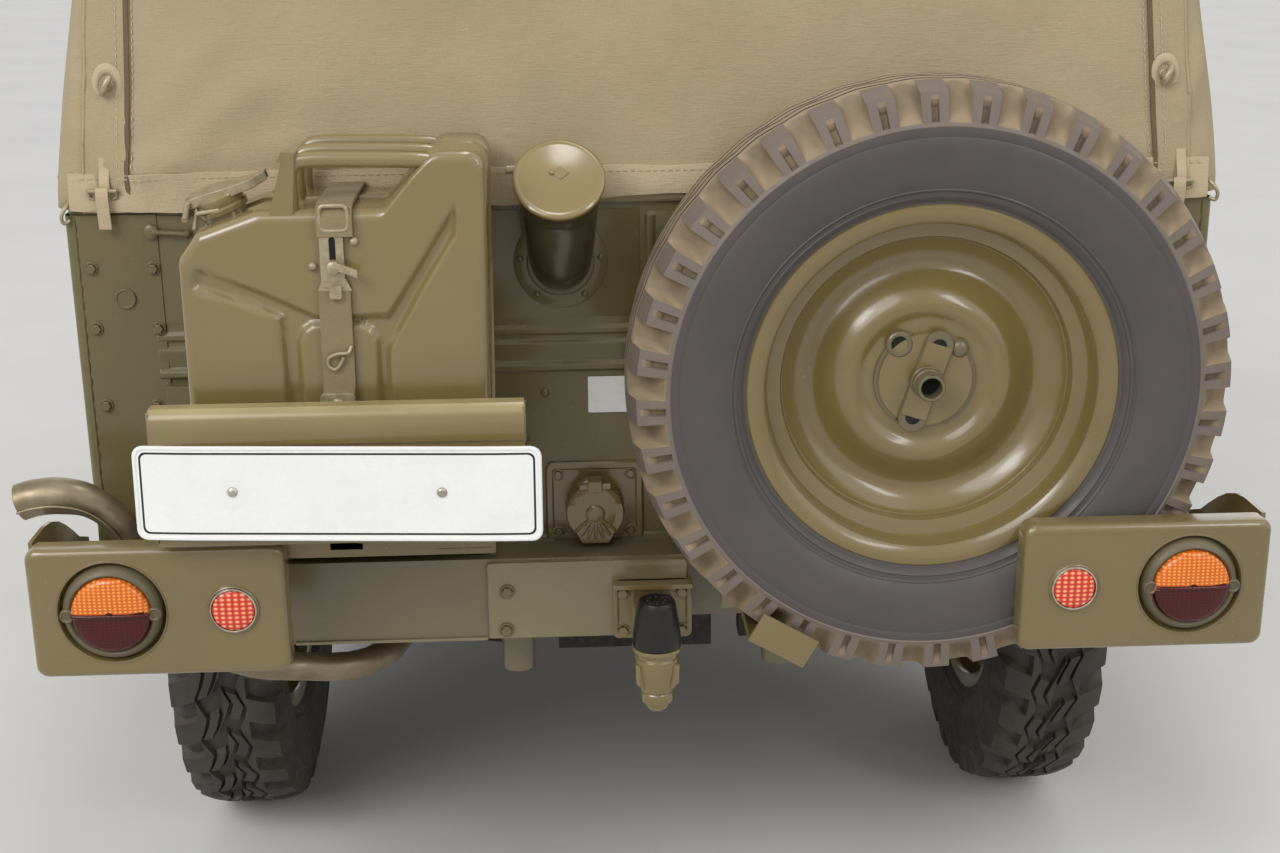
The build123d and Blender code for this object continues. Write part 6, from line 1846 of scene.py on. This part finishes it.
def headlamps():
    """Bowls behind chromed rims, curved reflectors, bulbs and fluted glass, with indicators below."""
    for name, side in SIDES:
        place = aim((side * 520.0, NOSE_Y, 780), AHEAD)
        shell = Form()
        shell.lathe([(0, 92), (2, 98), (10, 99), (18, 97.5), (24, 93), (26, 88), (25, 84.5), (20, 83)],
                    place, 72)
        shell.lathe([(-2, 91), (-30, 84), (-60, 66), (-80, 42), (-90, 20), (-92, 0.01)], place, 48)
        shell.piece(f"headlamp_ring_{name}", chrome, "lamp_chrome", "headlamps", angle=50)
        bowl = Form()
        bowl.lathe([(20, 83), (8, 81), (-12, 74), (-32, 62), (-48, 46), (-58, 28), (-62, 12), (-62, 0.01)],
                   place, 64)
        bowl.lathe([(-60, 7), (-30, 7), (-26, 5), (-25, 0.01)], place, 20)
        bowl.piece(f"headlamp_bowl_{name}", mirror_glass, "lamp_chrome", angle=60)
        front = Form()
        rows = []
        for h, r in ((20, 83.5), (24, 80), (27, 68), (29.5, 48), (31, 26), (31.8, 8)):
            row = []
            for i in range(96):
                angle = 2 * pi * i / 96
                flute = 0.7 * sin(r * cos(angle) / 3.2)
                row.append(place @ Vector((r * cos(angle), r * sin(angle), h + (flute if r < 80 else 0))))
            rows.append(row)
        front.cup(rows)
        front.piece(f"headlamp_lens_{name}", lamp_glass, "lamp_lens", thick=2.5, angle=30)
        blink = aim((side * 630, NOSE_Y, 650), AHEAD)
        cup = Form()
        cup.lathe([(0, 38), (4, 37), (5, 34), (14, 34), (17, 31), (17, 28)], blink, 40)
        for turn in (0, 120, 240):
            spot = blink @ Matrix.Rotation(radians(turn), 4, "Z") @ Vector((34, 0, 4))
            cup.dome(spot, AHEAD, 3, 2)
        cup.piece(f"indicator_cup_{name}", olive, "olive_paint", angle=40)
        glow = Form()
        glow.lathe([(12, 29), (26, 27), (31, 20), (33, 8), (33.3, 0.01)], blink, 40)
        glow.piece(f"indicator_lens_{name}", amber, "lamp_lens")


# Foot of the windscreen's middle plane: y and z. Its slope: sine and cosine of the angle to upright
SCREEN_FOOT = (1312.0, 1062.0)
SCREEN_SLOPE = (0.1473, 0.989)


def screen_at(x, v, out):
    """Place on the windscreen: across, up along it, and out of its middle plane."""
    y, z = SCREEN_FOOT
    back, rise = SCREEN_SLOPE
    return Vector((x, y - back * v + rise * out, z + rise * v + back * out))


def windscreen_trim():
    """Rubber round the panes, two wipers, foot brackets, side knobs and the canvas roll along the top."""
    rubber_form = Form()
    hard = Form()
    for _, side in SIDES:
        pane = round_corners([(side * 19, 38, 22), (side * 607, 38, 22), (side * 537, 607, 22),
                              (side * 19, 607, 22)], 6)
        for out in (12.5, -12.5):
            edge = [screen_at(p.x, p.y, out) for p in dense(pane, 60)]
            rubber_form.ring(edge, 4.8, 8)
        pivot = side * 330
        hard.lathe([(0, 15), (5, 15), (8, 11), (18, 10), (20, 8), (20, 0.01)],
                   aim(screen_at(pivot, 20, 13), (0, 1, 0.15)), 24)
        arm = [screen_at(pivot, 20, 30), screen_at(pivot - side * 70, 34, 33),
               screen_at(pivot - side * 150, 62, 30)]
        hard.hose(arm, 5, lambda t: 4.2 - 1.4 * t, 10)
        blade = [screen_at(pivot - side * u, 62 + (u - 150) * 0.04, 25) for u in (20, 90, 150, 210, 280)]
        hard.hose(blade, 3, 3.2, 8)
        rubber_form.tube([p + Vector((0, -7, -1)) for p in smooth_path(blade, 3)], 3.4, 8)
        foot = screen_at(side * 560, 8, 14)
        hard.box(*sorted((side * 528, side * 592)), foot.y - 2, foot.y + 6, foot.z - 20, foot.z + 30)
        for dx in (-18, 18):
            hard.bolt((side * 560 + dx, foot.y + 6, foot.z + 14), AHEAD, 6.5, 5)
        for v in (60, 560):
            knob = screen_at(side * (650 - 0.124 * v), v, 0)
            hard.lathe([(-2, 12), (4, 12), (6, 8), (14, 8), (15, 13), (24, 13), (26, 10), (26, 0.01)],
                       aim(knob, (side, 0, 0.12)), 16)
    rubber_form.piece("windscreen_rubber", black, "black_rubber", angle=50)
    hard.piece("windscreen_fittings", black_steel, "black_metal", angle=40)
    roll = Form()
    route = []
    for x in spread(-586, 586, pitch=40):
        z = roof_height(TOP_FRONT) - crown(x)
        route.append((x, TOP_FRONT + 2, z - 3 - 14 * smooth(540, 600, abs(x))))
    roll.tube(route, 6.5, 12, flat=1.6)
    roll.piece("canvas_front_roll", canvas_band_painted_light, "canvas", angle=60)


def side_x(y, z, side):
    """Outer face of the side canvas behind the doors."""
    half, _, bulge = wall_at((z - HEM) / (EAVE - HEM))
    wave = 3.0 * noise.noise(Vector((y / 90, z / 130, 11.0 * side)))
    return side * (half + bulge * smooth(60, -260, y) + wave + 1.2)


def side_canvas_trim():
    """Hem bands, turn buttons and seams on the sides, and two seams along the roof."""
    band = Form()
    buttons = Form()
    thread = Form()
    for _, side in SIDES:
        rows = []
        for y in spread(-500, 50, pitch=22):
            wave = 2.5 * noise.noise(Vector((y / 50, 4, side)))
            rows.append([Vector((side_x(y, z, side) + side * out, y, z)) for z, out in
                         ((1092 + wave, -0.5), (1091 + wave, 2.6), (1062, 4.0), (1053 - wave, 3.4),
                          (1052 - wave, -0.5))])
        band.grid(rows)
        for y in (-440, -300, -160, -20):
            x = side_x(y, 1072, side) + side * 3
            place = aim((x, y, 1072), (side, 0, 0))
            band.lathe([(0, 20), (2, 19), (2.6, 15), (2, 12), (0, 11)], place, 24)
            buttons.lathe([(0, 8), (4, 7.5), (5, 6), (11, 5.5), (11, 0.01)], place, 16)
            buttons.tube([(x + side * 11, y, 1060), (x + side * 14, y, 1072), (x + side * 11, y, 1084)],
                         lambda t: 3 + 1.6 * sin(pi * t), 10)
        for y in range(-488, 44, 9):
            thread.strip([(side_x(v, 1087, side) + side * 3.4, v, 1087) for v in (y, y + 5)], UP, *STITCH)
        rows = []
        for y in spread(-430, 1236, pitch=24):
            z = roof_height(y) + 1.2 - 6 * smooth(-404, -430, y)
            rows.append([Vector((side * x, y, z + dz - crown(x))) for x, dz in
                         ((370, -1), (371, 1.8), (389, 1.8), (390, -1))])
        band.grid(rows)
        for y in range(-408, 1230, 9):
            for x in (373, 387):
                thread.strip([(side * x, v, roof_height(v) - crown(x) + 3.4) for v in (y, y + 5)],
                             (1, 0, 0), *STITCH)
    band.piece("canvas_side_bands", canvas_band_painted_light, "canvas", angle=50)
    buttons.piece("canvas_side_buttons", worn_steel, "black_metal")
    thread.piece("canvas_side_stitches", stitch, "canvas", weld=False)


def door_seals_and_gap_shade():
    """Black rubber strips inside the gaps over, between and behind the doors; their black also stands in for
    the shade in the gaps.
    """
    form = Form()

    def inner(z):
        return 684 - 0.16 * (z - 1060) - 6

    for _, side in SIDES:
        for y0, y1, z0, z1 in ((52, 1212, 1586, 1628), (592, 668, 1064, 1590), (44, 82, 1064, 1590)):
            rows = []
            for y in spread(y0, y1, pitch=120):
                rows.append([Vector((side * (inner(z) - out), y, z)) for z, out in
                             ((z0, 4), (z0, 1), (z0 + 2, 0), (z1 - 2, 0), (z1, 1), (z1, 4))])
            form.grid(rows, around=True, caps=True)
    form.piece("door_seals_and_gap_shade", black, "black_rubber", angle=40)


def mirrors_mesh():
    """Dished shells with their glass, bent stems and bolted feet."""
    for name, side in SIDES:
        x, y, z = side * 705.0, 1396.0, 1180.0
        place = aim((x, y, z), REAR)
        shell = Form()
        shell.lathe([(3, 55), (5, 57), (5, 59), (2, 60), (-2, 59), (-6, 52), (-6.5, 30), (-6.8, 0.01)],
                    place, 56)
        foot_z = wing_height(y)
        shell.hose([(side * 660, y, foot_z), (side * 660, y, foot_z + 55), (side * 664, y + 1, 1118),
                    (side * 684, y + 2, 1142), (side * 700, y + 2, 1160)], 5, 6.2, 12)
        shell.lathe([(0, 24), (3, 24), (5, 22), (6, 12), (14, 9), (14, 0.01)],
                    aim((side * 660, y, foot_z), UP), 28)
        for turn in (45, 165, 285):
            shell.dome(Vector((side * 660, y, foot_z)) + polar(17, radians(turn), 4), UP, 3.5, 2.4)
        shell.piece(f"mirror_shell_{name}", olive, "olive_paint", "mirrors", angle=40)
        face = Form()
        face.lathe([(3, 56), (3.6, 55), (3.8, 30), (3.9, 0.01)], place, 56)
        face.piece(f"mirror_face_{name}", mirror_glass, "mirror_face")


def bumper_trim():
    """Rolled edges, bolts, a step plate and two towing hooks."""
    face = WHEELBASE + 693
    form = Form()
    for z in (432.5, 547.5):
        form.tube([(x, face - 2, z) for x in spread(-688, 688, pitch=120)], 3.6, 10)
    for x in (-205, 205, -620, 620):
        for z in (465, 515):
            form.bolt((x, face, z), AHEAD, 8, 6)
    for x in (-300, 300):
        form.box(x - 42, x + 42, face - 46, face + 2, 549, 553)
        for dx in (-28, 28):
            form.dome((x + dx, face - 22, 553), UP, 6, 4)
        hook = [(x, face - 40, 560), (x, face - 20, 562), (x, face + 8, 566), (x, face + 22, 580),
                (x, face + 16, 598), (x, face - 4, 602)]
        form.hose(hook, 6, lambda t: 10 - 3.5 * t, 14)
    form.piece("bumper_fittings", olive, "olive_paint", angle=40)


def cabin():
    """Dials, glove box, grab handle, levers and pedals."""
    board = 1180.0
    form = Form()
    faces = Form()
    for x, z, r in ((-330, 996, 44), (-432, 990, 26), (-228, 990, 26)):
        place = aim((x, board, z), REAR)
        form.lathe([(0, r + 7), (4, r + 6), (6, r + 2), (5, r), (2, r - 1)], place, 40)
        faces.lathe([(2.5, r - 0.5), (2.5, 0.01)], place, 40)
        for k in range(9):
            angle = radians(-40 + 32.5 * k)
            faces.tube([place @ polar(q, angle, 3) for q in (r * 0.72, r * 0.9)], 0.9, 6, mat=1)
        faces.tube([place @ Vector((0, -4, 3.5)), place @ Vector((r * 0.3, r * 0.6, 3.5))], 1.0, 6, mat=1)
    for x in (-560, -520, -120, -80, -40):
        form.lathe([(0, 9), (3, 9), (4, 5), (14, 5), (15, 9), (22, 9), (24, 6), (24, 0.01)],
                   aim((x, board, 975), REAR), 20, mat=1)
    lid = [(x, board - 1, z) for x, z in rounded(196, 536, 958, 1026, 10, 5)]
    form.ring(lid, 2.4, 8)
    form.lathe([(0, 8), (10, 8), (12, 11), (18, 11), (20, 0.01)], aim((366, board, 1012), REAR), 20, mat=1)
    form.hose([(200, board + 8, 1036), (206, board - 24, 1050), (240, board - 30, 1052),
               (500, board - 30, 1052), (534, board - 24, 1050), (540, board + 8, 1036)], 5, 9, 12, mat=1)
    for route, knob in ((((-10, 1130, 512), (-14, 1090, 640), (-20, 1000, 800)), 17),
                        (((70, 1120, 512), (72, 1090, 600), (76, 1050, 706)), 12),
                        (((112, 1120, 512), (114, 1090, 590), (120, 1050, 680)), 12)):
        form.hose(route, 5, 6, 12, mat=1)
        form.lathe([(knob * sin(radians(t)), knob * cos(radians(t)))
                    for t in (-80, -50, -20, 10, 40, 70, 89)],
                   aim(route[-1], (0, -0.4, 1)), 20, mat=1)
        form.lathe([(0, 34), (10, 32), (22, 24), (30, 12), (36, 8)], aim(route[0], UP), 28, mat=1)
    for x in (-420, -340, -260):
        form.tube([(x, 1300, 760), (x, 1262, 660), (x, 1240, 640)], 7, 10, mat=1)
        form.box(-28, 28, -26, 26, -4, 5, mat=1, turn=aim((x, 1236, 634), (0, -0.8, 0.6)))
    form.piece("cabin_fittings", [olive, bakelite], "olive_paint", angle=40)
    faces.piece("cabin_dials", [dial, white], "black_metal", angle=60)


hood_mesh()
side_trim()
grille()
headlamps()
windscreen_trim()
side_canvas_trim()
door_seals_and_gap_shade()
mirrors_mesh()
bumper_trim()
cabin()


def engine():
    """Small four-cylinder engine and gearbox in place of the plain mass, and what the open hood shows."""
    block = Form()
    for y0, y1, half, low, high in ((1905, 2425, 112, 400, 700), (1925, 2405, 124, 704, 786),
                                    (1530, 1765, 78, 384, 590)):
        block.box(-half, half, y0, y1, low, high)
    for y in range(1960, 2400, 62):
        for side in (-1, 1):
            block.box(min(side * 112, side * 120), max(side * 112, side * 120), y, y + 10, 420, 690)
    for y in (1950, 2060, 2170, 2280, 2385):
        for x in (-104, 104):
            block.bolt((x, y, 786), UP, 9, 8)
    block.lathe([(0, 20), (0, 128), (14, 132), (90, 120), (140, 84), (142, 20)], aim((0, 1905, 500), REAR),
                40)
    block.lathe([(0, 46), (30, 44), (34, 30), (50, 26), (50, 0.01)], aim((0, 1530, 480), REAR), 28)
    block.piece("engine_castings", iron, "iron", "engine_block", bevel=6)

    dark = Form()
    rows = []
    for z, half, y0, y1 in ((400, 104, 1930, 2410), (392, 108, 1926, 2414), (386, 100, 1934, 2406),
                            (300, 84, 1960, 2380), (268, 74, 1972, 2360), (263, 60, 1986, 2340)):
        rows.append([Vector((x, y, z)) for x, y in rounded(-half, half, y0, y1, 20, 4)])
    dark.cup(rows)
    rows = []
    for z, half, y0, y1 in ((786, 74, 1945, 2385), (792, 76, 1942, 2388), (796, 70, 1948, 2382),
                            (832, 66, 1954, 2376), (844, 58, 1962, 2368), (849, 44, 1976, 2354)):
        rows.append([Vector((x, y, z)) for x, y in rounded(-half, half, y0, y1, 24, 5)])
    dark.cup(rows)
    dark.lathe([(0, 70), (6, 74), (12, 66), (18, 74), (24, 70), (24, 0.01)], aim((0, 2426, 480), AHEAD), 40)
    dark.lathe([(0, 0.01), (0, 52), (8, 56), (140, 56), (150, 50), (150, 20), (172, 18), (172, 0.01)],
               aim((-186, 2230, 628), AHEAD), 36)
    dark.box(-190, -110, 2270, 2300, 560, 576)
    dark.piece("engine_covers", black_steel, "black_metal", bevel=2)

    bright = Form()
    bright.lathe([(0, 26), (10, 25), (14, 21), (22, 20), (24, 0.01)], aim((0, 2010, 848), UP), 28)
    for y in (2040, 2290):
        bright.bolt((0, y, 849), UP, 10, 9)
    # carburettor, its inlet and the air cleaner
    bright.hose([(120, 2110, 742), (160, 2110, 750), (176, 2110, 776), (178, 2110, 800)], 5, 21, 20)
    bright.hose([(120, 2230, 742), (160, 2220, 750), (176, 2170, 760), (178, 2120, 770)], 5, 19, 20)
    bright.lathe([(0, 40), (6, 42), (10, 34), (44, 34), (48, 30), (60, 30)], aim((178, 2110, 790), UP), 28)
    bright.lathe([(0, 26), (60, 24), (74, 16), (92, 15), (92, 0.01)], aim((-150, 1990, 700), (-0.3, 0, 1)),
                 24)
    for i in range(4):
        angle = pi / 2 * i + 0.5
        centre = Vector((0, 2462, 640))
        out = Vector((cos(angle), 0, sin(angle)))
        turn = Vector((-sin(angle), 0, cos(angle)))
        rows = []
        for r, w in ((34, 16), (70, 30), (120, 42), (158, 40), (166, 30)):
            rows.append([centre + out * r + turn * w * s + Vector((0, -9 * s + d, 0)) for s, d in
                         ((-1, 0), (1, 0), (1, 2.5), (-1, 2.5))])
        bright.grid(rows, around=True, caps=True)
    bright.lathe([(-36, 0.01), (-36, 30), (-6, 32), (-6, 46), (8, 46), (10, 20), (16, 18), (16, 0.01)],
                 aim((0, 2456, 640), AHEAD), 32)
    bright.piece("engine_fittings", worn_steel, "iron", angle=40)

    pipes = Form()
    for y in (1990, 2110, 2230, 2350):
        pipes.hose([(-120, y, 742), (-160, y, 738), (-184, y * 0.6 + 2080 * 0.4, 712), (-190, 2060, 690)],
                   5, lambda t: 21 + 3 * t, 18)
    pipes.hose([(-190, 2060, 700), (-196, 2020, 600), (-186, 1900, 470), (-150, 1830, 390),
                (-122, 1790, 372)], 6, 22, 20)
    pipes.piece("exhaust_manifold", pipe_steel, "exhaust_steel")

    rubbers = Form()
    rubbers.lathe([(0, 96), (4, 100), (70, 100), (76, 94), (78, 60), (84, 20), (90, 18), (90, 0.01)],
                  aim((178, 2110, 806), UP), 48)
    rubbers.hose([(60, 2400, 800), (66, 2440, 818), (100, 2462, 846), (120, 2500, 868)], 6, 21, 20)
    rubbers.hose([(-90, 2415, 470), (-120, 2450, 500), (-150, 2470, 560), (-150, 2500, 590)], 6, 20, 20)
    for x0, z0, x1, z1 in ((-44, 640, -68, 488), (44, 640, 68, 488), (-30, 668, -206, 676),
                           (-66, 446, -224, 596)):
        rubbers.tube([(x0, 2441, z0), (x1, 2441, z1)], 5, 8)
    rubbers.box(188, 316, 1352, 1570, 640, 812)
    for y in (1380, 1542):
        rubbers.lathe([(0, 12), (8, 12), (9, 9), (20, 9), (20, 0.01)], aim((210, y, 812), UP), 18)
    rubbers.piece("engine_rubber_parts", black, "black_rubber", bevel=3)
    tray = Form()
    tray.box(180, 330, 1336, 1578, 628, 638)
    tray.box(180, 184, 1336, 1578, 628, 670)
    tray.box(-250, -130, 1336, 1352, 700, 860)
    for x, z in ((-190, 820), (-190, 740)):
        tray.bolt((x, 1352, z), AHEAD, 9, 8)
    tray.piece("battery_tray", olive_dull, "olive_paint", bevel=1.5)


def exhaust_mesh():
    """Pipe and silencer under the floor, and the tail that arches out round the left rear corner."""
    form = Form()
    ahead = WHEELBASE - 220
    route = [(-120, ahead, 370), (-292, ahead, 370), (-300, ahead - 12, 370), (-300, 470, 380),
             (-330, 330, 440), (-330, -440, 442), (-470, -560, 452), (-572, -618, 520), (-618, -636, 622),
             (-644, -640, 682), (-676, -640, 712), (-712, -640, 721), (-742, -640, 719), (-760, -640, 714)]
    path = smooth_path(route, 6)
    form.tube(path, lambda t: 18.5 + 4 * smooth(0.72, 0.86, t), 24, caps=False)
    form.tube(path[-14:], 20.6, 24, caps=False, mat=1)
    end = aim(path[-1], path[-1] - path[-2])
    form.lathe([(0, 20.4), (0.4, 21), (0.4, 22), (0, 22.6)], end, 24)
    form.tube([p + Vector((0, -21, -7)) for p in path[-34:]], 1.5, 8)
    form.lathe([(-0.1, 14), (0, 20), (20, 54), (30, 58), (450, 58), (460, 54), (480, 20), (480.1, 14)],
               aim((-300, 1100, 376), REAR), 40)
    for y in (1060, 660):
        form.lathe([(-6, 58), (-6, 60.5), (6, 60.5), (6, 58)], aim((-300, y, 376), REAR), 40)
    form.piece("exhaust_bent", [pipe_steel, hole_dark], "exhaust_steel", "exhaust", angle=50)


engine()
exhaust_mesh()


# Finish of the CAD pieces that stay

def finish_nodes():
    """Give each CAD node that still shows its material."""
    finishes = {"chassis_frame": frame_paint, "front_bumper": olive, "body_tub": panel, "front_wings": panel,
                "windscreen_frame": olive, "windscreen_glass": glass,
                "top_bows": olive, "rear_window": clear_film, "dashboard": olive, "steering_wheel": bakelite,
                "steering_column": black_steel, "seat_frames": olive, "front_axle": black_steel,
                "rear_axle": black_steel, "knuckle_left": iron, "knuckle_right": iron, "spare_carrier": olive}
    for place in ("front", "rear"):
        for name, _ in SIDES:
            finishes[f"door_pane_{place}_{name}"] = clear_film
    for node, mat in finishes.items():
        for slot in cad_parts[node].material_slots:
            slot.material = mat


finish_nodes()


# Camera, lights and floor

def camera():
    """The photograph's view: from behind, a little above, looking down."""
    yaw = radians(-2.7085)
    pitch = radians(17.4454)
    roll = radians(-0.4543)
    level = Vector((-sin(yaw), cos(yaw), 0))
    right = Vector((cos(yaw), sin(yaw), 0))
    up = Vector(UP)
    look = level * cos(pitch) - up * sin(pitch)
    over = level * sin(pitch) + up * cos(pitch)
    across = right * cos(roll) + over * sin(roll)
    over = over * cos(roll) - right * sin(roll)
    made = bpy.data.objects.new("camera", bpy.data.cameras.new("camera"))
    made.data.lens = 50.008
    made.data.sensor_width = 36
    made.matrix_world = Matrix((across, over, -look)).transposed().to_4x4()
    made.matrix_world.translation = Vector((-0.111492, -3.6276, 1.435375))
    bpy.context.scene.collection.objects.link(made)
    bpy.context.scene.camera = made


def area_light(name, place, target, size, power):
    """Rectangular lamp aimed at a target."""
    lamp = bpy.data.lights.new(name, "AREA")
    lamp.shape = "RECTANGLE"
    lamp.size, lamp.size_y = size
    lamp.energy = power
    made = bpy.data.objects.new(name, lamp)
    made.location = place
    made.rotation_euler = (Vector(target) - Vector(place)).to_track_quat("-Z", "Y").to_euler()
    bpy.context.scene.collection.objects.link(made)


def sun_light(name, direction, spread_angle, power):
    """Sun that shines along a direction."""
    lamp = bpy.data.lights.new(name, "SUN")
    lamp.angle = radians(spread_angle)
    lamp.energy = power
    made = bpy.data.objects.new(name, lamp)
    made.rotation_euler = Vector(direction).to_track_quat("-Z", "Y").to_euler()
    bpy.context.scene.collection.objects.link(made)


def studio():
    """Lamps and world light."""
    sun_light("key", (0.55, 0.8, -0.75), 40, 1.05)
    sun_light("fill", (-0.8, 0.4, -0.7), 60, 0.42)
    sun_light("front", (-0.2, -1.0, -0.6), 60, 0.46)
    area_light("box_left", (-2.6, -4.0, 3.4), (-0.2, -1.2, 0.7), (1.6, 1.2), 35)
    area_light("box_right", (2.2, -4.4, 3.0), (0.3, -1.2, 0.7), (0.5, 1.8), 19)
    area_light("box_top", (0, -0.5, 4.2), (0, -0.5, 0), (0.4, 3.2), 28)
    world = bpy.data.worlds.new("studio")
    bpy.context.scene.world = world
    world.use_nodes = True
    tree = world.node_tree
    sky = tree.nodes["Background"]
    sky.inputs["Color"].default_value = (0.93, 0.95, 1.0, 1)
    sky.inputs["Strength"].default_value = 0.46
    seen = tree.nodes.new("ShaderNodeBackground")
    seen.inputs["Color"].default_value = (0.9, 0.9, 0.89, 1)
    seen.inputs["Strength"].default_value = 1.0
    path = tree.nodes.new("ShaderNodeLightPath")
    seen_rays = path.outputs["Is Camera Ray"]
    for kind in ("Is Glossy Ray", "Is Transmission Ray"):
        rays = tree.nodes.new("ShaderNodeMath")
        rays.operation = "MAXIMUM"
        tree.links.new(seen_rays, rays.inputs[0])
        tree.links.new(path.outputs[kind], rays.inputs[1])
        seen_rays = rays.outputs[0]
    mixer = tree.nodes.new("ShaderNodeMixShader")
    tree.links.new(seen_rays, mixer.inputs[0])
    tree.links.new(sky.outputs[0], mixer.inputs[1])
    tree.links.new(seen.outputs[0], mixer.inputs[2])
    tree.links.new(mixer.outputs[0], tree.nodes["World Output"].inputs["Surface"])
    bpy.context.scene.view_settings.view_transform = "Standard"


def floor():
    """Floor under the wheels."""
    mesh = bpy.data.meshes.new("floor")
    made = bpy.data.objects.new("floor", mesh)
    bm = bmesh.new()
    bmesh.ops.create_grid(bm, x_segments=8, y_segments=8, size=120.0)
    bm.to_mesh(mesh)
    bm.free()
    f = Finish("floor_plaster", rough=0.85, Specular_IOR_Level=0.1)
    f.colour(f.mix(f.ramp(f.noise(1.5, 4), 0.3, 0.7), rgb(224, 222, 217), rgb(230, 228, 224)))
    f.bump(f.noise(60, 3), 0.03, 0.002)
    mesh.materials.append(f.mat)
    bpy.context.scene.collection.objects.link(made)


camera()
studio()
floor()
